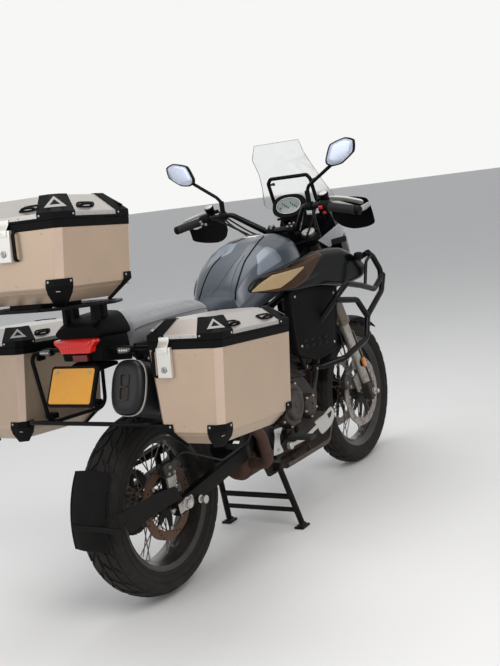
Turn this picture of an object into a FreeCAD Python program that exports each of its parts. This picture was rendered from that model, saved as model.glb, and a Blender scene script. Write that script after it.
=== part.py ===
"""Adventure motorcycle on its centre stand, with three aluminium cases.

Bike frame: x forward from the rear axle, y to the left, z up from the floor, millimetres.
Every sub-part is drawn in the bike frame, or in a wheel, fork or case frame placed in it.
Last of all the whole bike moves along x, so that the origin is below the middle of its box.
"""
import FreeCAD, Part
import math
import os
import re
import Sketcher

Vector = FreeCAD.Vector
Placement = FreeCAD.Placement
Rotation = FreeCAD.Rotation
X_AXIS, Y_AXIS, Z_AXIS = Vector(1, 0, 0), Vector(0, 1, 0), Vector(0, 0, 1)

SIZES = (
    ("wheelbase", 1525), ("rear_axle_height", 336), ("front_axle_height", 329),
    ("rake", 25.5), ("fork_offset", 38), ("fork_half_spread", 102),
    ("rear_tyre_radius", 321), ("rear_tyre_width", 150), ("rear_rim_radius", 229), ("rear_rim_width", 118),
    ("front_tyre_radius", 329), ("front_tyre_width", 110), ("front_rim_radius", 252), ("front_rim_width", 76),
    ("rim_depth", 30), ("spokes_per_set", 8), ("spoke_width", 4),
    ("axle_radius", 10), ("running_gap", 0.08), ("hub_flange_radius", 46), ("hub_half", 58),
    ("front_disc_radius", 160), ("rear_disc_radius", 130), ("disc_thickness", 5), ("disc_place", 60.5),
    ("chain_place", 92), ("chain_width", 16), ("chain_half_height", 7), ("rear_pitch_radius", 116),
    ("front_pitch_radius", 41), ("sprocket_x", 635), ("sprocket_z", 400), ("sprocket_teeth", 42),
    ("pivot_x", 560), ("pivot_z", 405), ("arm_inside", 112), ("arm_thickness", 30), ("arm_height", 52),
    ("axle_reach", 165), ("plate_thickness", 16),
    ("head_tube_radius", 34), ("stem_radius", 20), ("lower_clamp", 600), ("upper_clamp", 835),
    ("clamp_thickness", 28), ("fork_tube_radius", 28), ("fork_slider_radius", 22),
    ("bar_radius", 11), ("bar_height", 905), ("grip_radius", 17),
    ("stand_pivot_x", 600), ("stand_pivot_z", 265), ("stand_foot_x", 668), ("stand_foot_y", 172),
    ("stand_pivot_y", 134), ("stand_tube_radius", 12),
    ("prop_pivot_x", 690), ("prop_pivot_y", 190), ("prop_pivot_z", 270), ("prop_length", 280),
    ("hinge_out", 7), ("knuckle_radius", 5), ("hinge_pin_radius", 2.5),
    ("case_pitch", 5), ("case_wall", 3), ("seam_gap", 0.5), ("lid_rim", 20), ("cap_size", 58), ("cap_proud", 3),
    ("case_corner", 19),
    ("pannier_x", -25), ("pannier_y", 399), ("pannier_z", 919), ("pannier_length", 418),
    ("pannier_width", 274), ("pannier_depth", 274), ("pannier_chamfer", 42), ("pannier_lean_out", 20),
    ("pannier_lean_in", 28), ("pannier_lid", 62), ("pannier_lid_slope", 44),
    ("top_case_x", -325), ("top_case_z", 1332), ("top_case_length", 330), ("top_case_width", 472),
    ("top_case_depth", 190), ("top_case_chamfer", 45), ("top_case_lean", 18), ("top_case_lid", 72),
    ("top_case_lid_slope", 50),
    ("crash_bar_radius", 12.5), ("frame_tube_radius", 16), ("rack_tube_radius", 7), ("rack_place", 251),
    ("muffler_width", 128), ("muffler_height", 174), ("muffler_length", 455), ("muffler_y", -178),
    ("muffler_end_x", -255), ("muffler_end_z", 805), ("muffler_slope", 19.6), ("pipe_radius", 21),
    ("can_radius", 55), ("can_y", -50), ("can_z", 300), ("can_rear", 430), ("can_length", 300),
    ("engine_left", 80), ("engine_right", 112), ("screen_thickness", 4), ("panel_thickness", 4),
)

doc = FreeCAD.newDocument("adventure_motorcycle")
sheet = doc.addObject("Spreadsheet::Sheet", "Sizes")
for row, (alias, number) in enumerate(SIZES, start=1):
    sheet.set(f"A{row}", alias)
    sheet.set(f"B{row}", str(number))
    sheet.setAlias(f"B{row}", alias)
doc.recompute()
ALIASES = {alias for alias, number in SIZES}
S = sheet


def bound(text):
    """The expression with each size's name pointed at its cell in the sheet."""
    return re.sub(r"[a-z_]+", lambda word: "Sizes." + word[0] if word[0] in ALIASES else word[0], str(text))


class Drawing:
    """A PartDesign body, with its features added one after another."""

    def __init__(self, label, place=Placement()):
        self.body = doc.addObject("PartDesign::Body", label)
        self.body.Label = label
        self.body.Placement = place
        self.label = label
        self.count = 0

    def name(self, kind):
        self.count += 1
        return f"{self.label}_{kind}{self.count}"

    def sketch(self, plane, outlines=(), circles=(), offset="0"):
        """Closed outlines of points and circles of (x, y, radius), all given as expressions."""
        sketch = self.body.newObject("Sketcher::SketchObject", self.name("sketch"))
        role = plane + "_Plane"
        origin_plane = [item for item in self.body.Origin.OriginFeatures if item.Role == role][0]
        sketch.AttachmentSupport = (origin_plane, [""])
        sketch.MapMode = "FlatFace"
        if offset != "0":
            sketch.setExpression("AttachmentOffset.Base.z", bound(offset))
        for outline in outlines:
            first = sketch.GeometryCount
            turn = 2 * math.pi / len(outline)
            ring = [Vector(50 * math.cos(turn * i), 50 * math.sin(turn * i), 0) for i in range(len(outline))]
            for i, corner in enumerate(ring):
                sketch.addGeometry(Part.LineSegment(corner, ring[(i + 1) % len(ring)]), False)
            for i in range(len(ring)):
                joined = first + (i + 1) % len(ring)
                sketch.addConstraint(Sketcher.Constraint("Coincident", first + i, 2, joined, 1))
            for i, (x, y) in enumerate(outline):
                self.fix(sketch, first + i, 1, x, y)
        for x, y, radius in circles:
            circle = sketch.addGeometry(Part.Circle(Vector(0, 0, 0), Z_AXIS, 10), False)
            self.fix(sketch, circle, 3, x, y)
            index = sketch.addConstraint(Sketcher.Constraint("Radius", circle, 10.0))
            sketch.setExpression(f"Constraints[{index}]", bound(radius))
        return sketch

    def fix(self, sketch, geometry, point, x, y):
        for kind, text, axis in (("DistanceX", str(x), -2), ("DistanceY", str(y), -1)):
            if text == "0":
                sketch.addConstraint(Sketcher.Constraint("PointOnObject", geometry, point, axis))
            else:
                index = sketch.addConstraint(Sketcher.Constraint(kind, -1, 1, geometry, point, 1.0))
                sketch.setExpression(f"Constraints[{index}]", bound(text))

    def feature(self, kind, sketch, **settings):
        item = self.body.newObject("PartDesign::" + kind, self.name(kind.lower()))
        item.Profile = sketch
        for key, setting in settings.items():
            if isinstance(setting, str) and key in ("Length", "Length2", "Angle"):
                item.setExpression(key, bound(setting))
            else:
                setattr(item, key, setting)
        self.body.Tip = item
        return item

    def pad(self, plane, outlines, start, end, circles=(), kind="Pad"):
        """Material, or a Pocket, from start to end along the plane's normal (-Y for XZ)."""
        sketch = self.sketch(plane, outlines, circles, offset=start)
        length = f"({end})-({start})"
        return self.feature(kind, sketch, Length=length, Reversed=(kind == "Pocket"))


def rect(half_x, half_y, shift_y="0"):
    """A rectangle of expressions, its middle moved along the sketch's y."""
    low, high = f"({shift_y})-({half_y})", f"({shift_y})+({half_y})"
    return [(f"-({half_x})", low), (half_x, low), (half_x, high), (f"-({half_x})", high)]


NODES = []


def node(item, label=None):
    if label:
        item.Label = label
    NODES.append(item)
    return item


def solid_node(label, shapes, place=Placement(), joined=True):
    """A sub-part whose bent tubes or slanted faces are made with Part's own functions."""
    item = doc.addObject("Part::Feature", label)
    if len(shapes) == 1:
        shape = shapes[0]
    elif joined:
        shape = shapes[0].multiFuse(shapes[1:]).removeSplitter()
    else:
        shape = Part.makeCompound(shapes)
    if len(shape.Solids) == 1:
        shape = shape.Solids[0]
    item.Shape = shape
    item.Placement = place.multiply(shape.Placement)
    return node(item)


def pin(start, end, radius):
    """A truly round cylinder, kept for hinge pins and journals."""
    start, end = Vector(*start), Vector(*end)
    along = end.sub(start)
    return Part.makeCylinder(radius, along.Length, start, along)


def placed(label):
    """The finished shape of a sub-part, in the bike frame."""
    found = [item for item in NODES if item.Label == label][0]
    if found.TypeId == "PartDesign::Body":
        doc.recompute()
    return found.Shape


def seated(shape, *labels):
    """The shape's main solid after a cut by neighbours of its own body, so that it rests face to face on them."""
    for label in labels:
        shape = shape.cut(placed(label))
    return max(shape.Solids, key=lambda solid: solid.Volume)


def nearest(shape, spot):
    """Of the solids that a cut leaves, the one closest to a point."""
    corner = Part.Vertex(spot)
    return min(shape.Solids, key=lambda solid: solid.distToShape(corner)[0])


def facets(rings, closed=False):
    """A solid of flat faces between rings of points; closed joins the last ring to the first."""
    count = len(rings[0])
    faces = []
    pairs = list(zip(rings, rings[1:] + rings[:1])) if closed else list(zip(rings, rings[1:]))
    for low, high in pairs:
        for i in range(count):
            j = (i + 1) % count
            corners = [low[i], low[j], high[j], high[i]]
            normal = corners[1].sub(corners[0]).cross(corners[3].sub(corners[0]))
            flat = normal.Length > 1e-6 and abs(corners[2].sub(corners[0]).dot(normal)) < 1e-4 * normal.Length
            groups = [corners] if flat else [corners[:3], [corners[0], corners[2], corners[3]]]
            for group in groups:
                kept = [p for n, p in enumerate(group) if p.distanceToPoint(group[n - 1]) > 1e-6]
                if len(kept) > 2:
                    faces.append(Part.Face(Part.makePolygon(kept + kept[:1])))
    if not closed:
        for ring in (rings[0], rings[-1]):
            faces.append(Part.Face(Part.makePolygon(ring + ring[:1])))
    shell = Part.Shell(faces)
    solid = Part.Solid(shell)
    if solid.Volume < 0:
        solid.reverse()
    return solid


def skin(sections):
    """A closed body of flat faces between sections, each a list of points in space."""
    return facets([[Vector(*point) for point in section] for section in sections])


def lathe(profile, sides, axis=Y_AXIS, place=Placement(), closed=True):
    """A many-sided turned body: profile points are (distance along the axis, radius)."""
    rings = []
    turn = Rotation(Z_AXIS, axis)
    for along, radius in profile:
        ring = []
        for i in range(sides):
            angle = 2 * math.pi * i / sides
            flat = Vector(radius * math.cos(angle), radius * math.sin(angle), along)
            ring.append(place.multVec(turn.multVec(flat)))
        rings.append(ring)
    return facets(rings, closed)


def drum(start, end, radius, sides=14):
    """A many-sided cylinder from one point to another."""
    start, end = Vector(*start), Vector(*end)
    along = end.sub(start)
    return lathe([(0, radius), (along.Length, radius)], sides, along, Placement(start, Rotation()), closed=False)


def hole(start, end, radius, sides=14):
    """A many-sided hole whose flats stay outside the radius."""
    return drum(start, end, radius / math.cos(math.pi / sides), sides)


def rod(start, end, radius, sides=8):
    return drum(start, end, radius, sides)


def tube(points, radius, bend=0, sides=8, steps=2):
    """A many-sided tube along straight runs, each inner corner eased by a bend of a few steps."""
    points = [Vector(*point) for point in points]
    route = [points[0]]
    for i in range(1, len(points) - 1):
        into = points[i].sub(points[i - 1]).normalize()
        out = points[i + 1].sub(points[i]).normalize()
        turn = into.getAngle(out)
        if bend == 0 or turn < 0.25:
            route.append(points[i])
            continue
        centre_way = Vector(out).sub(into).normalize()
        centre = points[i].add(Vector(centre_way).multiply(bend / math.cos(turn / 2)))
        begin = points[i].sub(Vector(into).multiply(bend * math.tan(turn / 2)))
        axis = into.cross(out)
        for step in range(steps):
            spin = Rotation(axis, math.degrees(turn) * (step + 0.5) / steps)
            outward = begin.sub(centre).multiply(1 / math.cos(turn / steps / 2))
            route.append(centre.add(spin.multVec(outward)))
    route.append(points[-1])
    along = route[1].sub(route[0]).normalize()
    side = along.cross(Z_AXIS if abs(along.z) < 0.9 else X_AXIS).normalize()
    up = side.cross(along)
    ring = []
    for i in range(sides):
        angle = 2 * math.pi * i / sides
        ring.append(route[0].add(Vector(side).multiply(radius * math.cos(angle)))
                    .add(Vector(up).multiply(radius * math.sin(angle))))
    rings = [ring]
    for i in range(1, len(route)):
        along = route[i].sub(route[i - 1]).normalize()
        if i < len(route) - 1:
            after = route[i + 1].sub(route[i]).normalize()
            plane = along.add(after).normalize()
        else:
            plane = along
        fresh = []
        for point in rings[-1]:
            reach = route[i].sub(point).dot(plane) / along.dot(plane)
            fresh.append(point.add(Vector(along).multiply(reach)))
        rings.append(fresh)
    return facets(rings)


def slab(outline, axis, low, high):
    """A flat outline of pairs, thickened along an axis from low to high."""
    order = {"x": lambda a, b: Vector(low, a, b), "y": lambda a, b: Vector(a, low, b),
             "z": lambda a, b: Vector(a, b, low)}[axis]
    corners = [order(a, b) for a, b in outline]
    face = Part.Face(Part.makePolygon(corners + corners[:1]))
    direction = {"x": X_AXIS, "y": Y_AXIS, "z": Z_AXIS}[axis]
    return face.extrude(Vector(direction).multiply(high - low))


def block(low, high):
    size = Vector(*high).sub(Vector(*low))
    return Part.makeBox(size.x, size.y, size.z, Vector(*low))


def both_sides(shapes):
    """The shapes and their mirror images across the bike's middle plane."""
    return shapes + [shape.mirror(Vector(0, 0, 0), Y_AXIS) for shape in shapes]


def span(a, b):
    """Two numbers in rising order, for slabs on either side of the bike."""
    return (a, b) if a < b else (b, a)


REAR = Placement(Vector(0, 0, S.rear_axle_height), Rotation())
FRONT = Placement(Vector(S.wheelbase, 0, S.front_axle_height), Rotation())
RAKE = math.radians(S.rake)
FORK = Placement(Vector(S.wheelbase - S.fork_offset * math.cos(RAKE), 0,
                        S.front_axle_height - S.fork_offset * math.sin(RAKE)), Rotation(Y_AXIS, -S.rake))
PITCH = Rotation(Y_AXIS, S.case_pitch)
TOP_CASE = Placement(Vector(S.top_case_x, 0, S.top_case_z), PITCH)
SIDES = (("left", 1), ("right", -1))
DRAWN_WHEELBASE = 1525
FORWARD = S.wheelbase - DRAWN_WHEELBASE
RIM_SIDES = 40
PROP_AXIS = Vector(0.0348, -0.9368, -0.3484)
HEAD_TUBE = (S.lower_clamp + S.clamp_thickness / 2 + 1, S.upper_clamp - S.clamp_thickness / 2 - 1)


def fork_point(x, y, z):
    """A point of the fork frame, in the bike frame."""
    return tuple(FORK.multVec(Vector(x, y, z)))


def wheel(end, place):
    """Tyre, spoked rim and hub of one wheel, around its own axle."""
    radius, width = getattr(S, f"{end}_tyre_radius"), getattr(S, f"{end}_tyre_width")
    rim, half = getattr(S, f"{end}_rim_radius"), getattr(S, f"{end}_rim_width") / 2
    side = [(half - 4, rim)] + [(w * width, rim + (radius - rim) * r) for w, r in
                                ((0.5, 0.48), (0.42, 0.83), (0.17, 1))]
    tyre = lathe(side + [(-y, z) for y, z in reversed(side)], RIM_SIDES)
    solid_node(f"{end}_tyre", [tyre], place)
    bed = rim - S.rim_depth
    hoop = lathe([(-half, rim), (-half, rim - 13), (-16, bed), (16, bed), (half, rim - 13), (half, rim)], RIM_SIDES)
    flange = S.hub_flange_radius
    hub = lathe([(-S.hub_half, flange - 8), (-36, flange), (-29, 27), (29, 27), (36, flange),
                 (S.hub_half, flange - 8)], 16, closed=False)
    bore = hole((0, -S.hub_half - 1, 0), (0, S.hub_half + 1, 0), S.axle_radius + S.running_gap)
    spokes = []
    count = int(S.spokes_per_set)
    for side_sign in (1, -1):
        for lean in (1, -1):
            for i in range(count):
                spokes.append(spoke(side_sign, lean, bed, 360 * i / count))
    solid_node(f"{end}_rim", [hoop.multiFuse([hub] + spokes).cut(bore)], place)


def spoke(side, lean, bed, turn):
    """One spoke from a hub flange, leaning forward or back, to the rim's bed."""
    flange = S.hub_flange_radius - 7
    swing = 180 / S.spokes_per_set
    start = Rotation(Y_AXIS, turn + lean * 4 + (swing / 2 if side < 0 else 0))
    finish = Rotation(Y_AXIS, turn - lean * swing * 1.25 + (swing / 2 if side < 0 else 0))
    foot = start.multVec(Vector(0, 32 * side, flange))
    nipple = finish.multVec(Vector(0, 7 * side, bed + 5))
    return drum(tuple(foot), tuple(nipple), S.spoke_width / 2 + 0.3, 3)


def discs():
    """Brake discs with their windows, two at the front and one at the rear."""
    wheels = (("front_discs", FRONT, (1, -1), S.front_disc_radius), ("rear_disc", REAR, (-1,), S.rear_disc_radius))
    for label, place, signs, outer in wheels:
        rings = []
        for sign in signs:
            low = sign * S.disc_place - S.disc_thickness / 2
            ring = lathe([(low, S.axle_radius + 16), (low, outer), (low + S.disc_thickness, outer),
                          (low + S.disc_thickness, S.axle_radius + 16)], 28)
            window = slab([(-13, S.axle_radius + 38), (13, S.axle_radius + 38), (33, outer - 38),
                           (-33, outer - 38)], "y", low - 1, low + S.disc_thickness + 1)
            rings.append(ring.cut(around(window, 5)))
        solid_node(label, rings, place, joined=False)


def around(shape, count):
    """Copies of a shape turned about the y axis."""
    copies = []
    for i in range(count):
        copy = shape.copy()
        copy.rotate(Vector(0, 0, 0), Y_AXIS, 360 * i / count)
        copies.append(copy)
    return copies


def sprocket_and_chain():
    """The rear sprocket on its carrier, and the chain's loop; returns the front sprocket."""
    teeth = int(S.sprocket_teeth)
    tip = S.rear_pitch_radius - S.chain_half_height - 1
    low = S.chain_place - 4
    points = []
    for i in range(teeth):
        for share, radius in ((0, tip), (0.5, tip - 6)):
            angle = 2 * math.pi * (i + share) / teeth
            points.append((radius * math.cos(angle), radius * math.sin(angle)))
    plate = slab(points, "y", low, low + 8)
    window = slab([(-16, 50), (16, 50), (30, 82), (-30, 82)], "y", low - 1, low + 9)
    carrier = drum((0, S.hub_half + 0.3, 0), (0, low + 1, 0), 44, 16)
    bore = hole((0, S.hub_half - 10, 0), (0, low + 20, 0), S.axle_radius + S.running_gap)
    solid_node("rear_sprocket", [plate.cut(around(window, 5)).fuse(carrier).cut(bore)], REAR)
    outer, inner = (Part.Face(belt(offset)).extrude(Vector(0, S.chain_width, 0))
                    for offset in (S.chain_half_height, -S.chain_half_height))
    loop = outer.cut(inner)
    loop.translate(Vector(0, S.chain_place - S.chain_width / 2, 0))
    solid_node("chain", [loop])
    return drum((S.sprocket_x, low, S.sprocket_z), (S.sprocket_x, low + 8, S.sprocket_z),
                S.front_pitch_radius - S.chain_half_height - 1, 16)


def belt(offset):
    """The chain's line around both sprockets, moved out or in by an offset, at y = 0."""
    big, small = S.rear_pitch_radius + offset, S.front_pitch_radius + offset
    rear = Vector(0, 0, S.rear_axle_height)
    front = Vector(S.sprocket_x, 0, S.sprocket_z)
    along = front.sub(rear)
    tilt = math.atan2(along.z, along.x)
    lean = math.asin((big - small) / along.Length)
    up, down = tilt + math.pi / 2 - lean, tilt - math.pi / 2 + lean

    def spot(centre, radius, angle):
        return centre.add(Vector(radius * math.cos(angle), 0, radius * math.sin(angle)))
    top = Part.makeLine(spot(rear, big, up), spot(front, small, up))
    nose = Part.Arc(spot(front, small, up), spot(front, small, tilt), spot(front, small, down)).toShape()
    bottom = Part.makeLine(spot(front, small, down), spot(rear, big, down))
    tail = Part.Arc(spot(rear, big, down), spot(rear, big, tilt + math.pi), spot(rear, big, up)).toShape()
    return Part.Wire([top, nose, bottom, tail])


def swingarm():
    """Two arms and a cross brace, narrow at the pivot between the frame's plates."""
    length = math.hypot(S.pivot_x, S.pivot_z - S.rear_axle_height)
    slope = math.degrees(math.atan2(S.pivot_z - S.rear_axle_height, S.pivot_x))
    arm = Drawing("swingarm", Placement(Vector(0, 0, S.rear_axle_height), Rotation(Y_AXIS, -slope)))
    near, far = "arm_inside", "arm_inside+arm_thickness"
    waist = "rear_tyre_radius+34"
    right = [("-45", far), ("-45", near), (waist, near), (f"{waist}+16", "72"), (f"{waist}+16", "-72")]
    left = [(waist, f"-{near}"), ("-45", f"-{near}"), ("-45", f"-({far})"), (f"{waist}+60", f"-({far})"),
            (f"{length}-70", "-104"), (f"{length}", "-104"), (f"{length}", "-60"),
            (f"{waist}+76", "-50"), (f"{waist}+76", "50"), (f"{length}", "60"), (f"{length}", "104"),
            (f"{length}-70", "104"), (f"{waist}+60", far)]
    arm.pad("XY", [right + left], "-arm_height/2", "arm_height/2")
    arm.pad("XZ", (), "-(arm_inside+arm_thickness+1)", "arm_inside+arm_thickness+1",
            circles=[("0", "0", "axle_radius+0.05")], kind="Pocket")
    arm.pad("XZ", (), "-(arm_inside-0.2)", "arm_inside-0.2", circles=[(f"{length}", "0", "17")])
    node(arm.body)
    outside = S.arm_inside + S.arm_thickness
    shaft = drum((0, -S.axle_reach, 0), (0, S.axle_reach, 0), S.axle_radius)
    solid_node("rear_axle", [
        shaft, rod((0, -S.axle_reach + 4, 0), (0, -outside - 0.2, 0), 17),
        rod((0, outside + 0.2, 0), (0, S.axle_reach - 4, 0), 17),
        rod((0, -S.arm_inside + 0.2, 0), (0, -S.hub_half - 0.5, 0), 14),
        rod((0, S.chain_place + 4.5, 0), (0, S.arm_inside - 0.2, 0), 14)], REAR)


def cut_corners(x_reach, y_low, y_high, z):
    """A level rectangle, its four corners cut off by the cases' corner width."""
    c = S.case_corner
    return [(x, y, z) for x, y in ((-x_reach, y_low + c), (c - x_reach, y_low), (x_reach - c, y_low),
                                   (x_reach, y_low + c), (x_reach, y_high - c), (x_reach - c, y_high),
                                   (c - x_reach, y_high), (-x_reach, y_high - c))]


def case_shell(label, place, size, leans, out):
    """An open box of sheet with leaning sides, cut corners and a bevelled foot; size is length, width, depth, bevel."""
    length, width, depth, bevel = size
    wall = S.case_wall

    def ring(inset, z):
        lean, under = min(max(-z, 0), depth) / depth, max(-z - depth, 0)
        near, far = (width / 2 - inset - full * lean - under for full in (leans[1], leans[0]))
        return [(x, out * y, z) for x, y, z in cut_corners(length / 2 - inset - under, -near, far, z)]
    foot = -(depth + bevel)
    body = skin([ring(0, z) for z in (-S.seam_gap, -depth, foot)])
    inside = skin([ring(wall, z) for z in (10, -depth, foot + wall)])
    hinge, r = length / 2 + S.hinge_out, S.knuckle_radius
    ears = [pin((hinge, -80, 0), (hinge, 80, 0), S.hinge_pin_radius)]
    for y in (-80, 50):
        ears += [drum((hinge, y, 0), (hinge, y + 30, 0), r, 10), block((length / 2 - 1, y, -16), (hinge + 1, y + 30, -1))]
    solid_node(label, [body.cut(inside).multiFuse(ears)], place)


def roof(size, low, high, grow=0):
    """A hipped lid shape: upright to the rim, then leaning in by the slope to its top."""
    length, width, height, slope = size

    def ring(z):
        shift = grow - slope * max(z - S.lid_rim, 0) / (height - S.lid_rim)
        return cut_corners(length / 2 + shift, -width / 2 - shift, width / 2 + shift, z)
    return skin([ring(z) for z in (low, S.lid_rim, high)])


def case_lid(label, place, size):
    """A hollow lid with bevelled edges and four raised corner caps; size is length, width, height, slope."""
    length, width, height, slope = size
    wall = S.case_wall
    x, y, cap = length / 2 + S.cap_proud + 1, width / 2 + S.cap_proud + 1, S.cap_size
    corners = []
    for sx, sy in ((1, 1), (1, -1), (-1, 1), (-1, -1)):
        low = [(sx * x, sy * y), (sx * (x - cap), sy * y), (sx * (x - cap - slope), sy * (y - slope)),
               (sx * (x - slope), sy * (y - cap - slope)), (sx * x, sy * (y - cap))]
        corners.append(slab(low, "z", -1, height + 1))
    caps = roof(size, 0, height, S.cap_proud).common(corners[0].multiFuse(corners[1:]))
    inside = roof(size, -1, height - wall, -wall)
    hinge, half = length / 2 + S.hinge_out, 48
    ear = drum((hinge, -half, 0), (hinge, half, 0), S.knuckle_radius, 10)
    leaf = block((length / 2 - 1, -half, 1.5), (hinge + 1, half, 14))
    bore = hole((hinge, -half - 1, 0), (hinge, half + 1, 0), S.hinge_pin_radius + S.running_gap, 10)
    lid = roof(size, 0, height).multiFuse([caps, ear, leaf])
    solid_node(label, [lid.cut(inside).cut(bore).removeSplitter()], place)


def cases():
    size = (S.pannier_length, S.pannier_width, S.pannier_depth, S.pannier_chamfer)
    lid = (S.pannier_length, S.pannier_width, S.pannier_lid, S.pannier_lid_slope)
    for side, sign in SIDES:
        place = Placement(Vector(S.pannier_x, sign * S.pannier_y, S.pannier_z), PITCH)
        case_shell(f"pannier_shell_{side}", place, size, (S.pannier_lean_out, S.pannier_lean_in), sign)
        case_lid(f"pannier_lid_{side}", place, lid)
    size = (S.top_case_length, S.top_case_width, S.top_case_depth, S.top_case_chamfer)
    case_shell("top_case_shell", TOP_CASE, size, (S.top_case_lean, S.top_case_lean), 1)
    case_lid("top_case_lid", TOP_CASE, (S.top_case_length, S.top_case_width, S.top_case_lid, S.top_case_lid_slope))


def racks():
    """The slotted carrier under the top case, and the hoops behind both panniers."""
    plate = Drawing("rear_rack", TOP_CASE)
    top = "-(top_case_depth+top_case_chamfer)-14"
    base = [("-150", "-120"), ("-110", "-180"), ("70", "-203"), ("205", "-120"), ("205", "120"),
            ("70", "203"), ("-110", "180"), ("-150", "120")]
    plate.pad("XY", [base], f"{top}-8", top)
    plate.pad("XY", [rect("90", "70")], f"{top}-1", f"{top}+13.7")
    for x in (-80, 0, 80):
        for sign in (1, -1):
            slot = [(f"{x - 26}", f"{sign * 90}"), (f"{x + 26}", f"{sign * 90}"),
                    (f"{x + 20}", f"{sign * 150}"), (f"{x - 20}", f"{sign * 150}")]
            plate.pad("XY", [slot], f"{top}-9", f"{top}+1", kind="Pocket")
    for x, foot in ((150, 112.2), (190, 111.1)):
        for sign in (1, -1):
            plate.pad("XY", [[(f"{x - 12}", f"{sign * 60 - 9}"), (f"{x + 12}", f"{sign * 60 - 9}"),
                              (f"{x + 12}", f"{sign * 60 + 9}"), (f"{x - 12}", f"{sign * 60 + 9}")]],
                      f"{top}-{foot}", f"{top}-4")
    node(plate.body)
    y, r = S.rack_place, S.rack_tube_radius
    hoop = [(-200, y, 905), (150, y, 878), (125, y, 640), (-165, y, 660)]
    middle = (-182, y, 780)
    loop = [tube([middle] + hoop + [middle], r, 40),
            rod((-120, 97, 900), (-120, y, 900), r), rod((144, 117.5, 834), (144, y, 834), r)]
    low = tube([(-165, y, 662), (-268, y, 690), (-268, -y, 690), (-165, -y, 662)], r, 0)
    for x, z in ((-145, 883), (110, 866), (-130, 676), (100, 662)):
        lean = S.pannier_lean_in * (S.pannier_z - z) / S.pannier_depth
        wall = S.pannier_y - S.pannier_width / 2 + lean + S.case_wall / 2
        loop.append(seated(block((x - 14, y, z - 9), (x + 14, wall, z + 9)), "pannier_shell_left"))
    other = [shape.mirror(Vector(0, 0, 0), Y_AXIS) for shape in loop]
    solid_node("pannier_racks", loop + other + [low])


def frame():
    """Steering head, trellis of straight tubes, plates at the swingarm's pivot and seat rails."""
    r = S.frame_tube_radius
    low, high = HEAD_TUBE
    head = drum((0, 0, low), (0, 0, high), S.head_tube_radius, 16)
    bore = pin((0, 0, low - 1), (0, 0, high + 1), S.stem_radius + S.running_gap)
    for part in (head, bore):
        part.transformShape(FORK.toMatrix())
    top = fork_point(-26, 20, high - 34)
    bottom = fork_point(-26, 20, low + 34)
    shoulder, knee, heel, middle = (950, 138, 884), (640, 130, 690), (590, 120, 540), (860, 134, 742)
    hip, tail, hanger = (300, 99, 838), (-56, 74, 884), (930, 128, 585)
    beams = ((top, shoulder, r), (shoulder, knee, r), (knee, heel, r), (bottom, middle, r), (middle, knee, r - 4),
             (shoulder, middle, r - 4), (middle, hanger, r - 4), (knee, hip, r - 3), (hip, tail, r - 3),
             ((590, 120, 560), (104, 90, 846), r - 5))
    tubes = [rod(start, end, radius) for start, end, radius in beams]
    tubes.append(rod((930, 111, 585), (930, 138, 585), 14))
    plate = slab([(515, 330), (560, 240), (640, 240), (655, 330), (655, 470), (650, 510), (625, 570), (570, 570),
                  (510, 470)], "y", S.engine_right, S.engine_right + S.plate_thickness)
    side = both_sides(tubes + [plate])
    cross = [rod((505, -110, 716), (505, 110, 716), 12), rod((hip[0], -hip[1], hip[2]), hip, 10),
             rod((0, -77, 876), (0, 77, 876), 10), rod((505, 108, 716), knee, 12), rod((505, -108, 716), (640, -130, 690), 12)]
    solid_node("frame", [head.multiFuse(side + cross).cut(bore)])


def engine(boss):
    """Crankcase, leaning twin cylinder block with ribs, covers and the output sprocket."""
    left, right = S.engine_left, S.engine_right - 0.3
    case = slab([(582, 445), (586, 385), (745, 372), (765, 320), (930, 312), (985, 350), (1000, 470),
                 (930, 545), (760, 570), (640, 530), (590, 490)], "y", -right, left)
    barrel = block((-88, -100, -20), (88, 100, 175))
    head = skin([[(-92, -104, 175), (92, -104, 175), (92, 104, 175), (-92, 104, 175)],
                 [(-92, -104, 232), (92, -104, 232), (92, 104, 232), (-92, 104, 232)],
                 [(-60, -92, 276), (60, -92, 276), (60, 92, 276), (-60, 92, 276)]])
    ribs = [block((-95, -107, z), (95, 107, z + 7)) for z in (60, 82, 104, 126, 148)]
    upper = barrel.multiFuse([head] + ribs)
    upper.transformShape(Placement(Vector(850, 0, 500), Rotation(Y_AXIS, 22)).toMatrix())
    covers = [drum((765, -right + 1, 470), (765, -right - 40, 470), 95, 20),
              drum((765, -right - 39, 470), (765, -right - 54, 470), 62, 16),
              drum((915, -right + 1, 425), (915, -right - 34, 425), 52, 16),
              drum((862, left - 1, 430), (862, left + 62, 430), 84, 18),
              drum((862, left + 61, 430), (862, left + 72, 430), 56, 14)]
    shaft = rod((S.sprocket_x, left - 1, S.sprocket_z), (S.sprocket_x, S.chain_place + 4, S.sprocket_z), 18)
    mount = rod((636, left - 1, 497), (636, S.engine_right, 497), 12)
    lugs = [rod((930, sign * 90, 585), (930, sign * 110.8, 585), 14) for sign in (1, -1)]
    throttle = [rod((748, y, 692), (850, y, 655), 25) for y in (-52, 52)]
    filter_can = drum((985, -40, 400), (1040, -40, 400), 36, 16)
    pivot = Vector(S.prop_pivot_x, S.prop_pivot_y, S.prop_pivot_z)
    near, far = (tuple(pivot.add(Vector(PROP_AXIS).multiply(reach))) for reach in (12.5, 28))
    bracket = [drum(near, far, 18, 14), rod(far, (790, left - 10, 338), 11)]
    solid_node("engine", [case, upper, shaft, boss, filter_can, mount] + covers + throttle + lugs + bracket)


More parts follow.
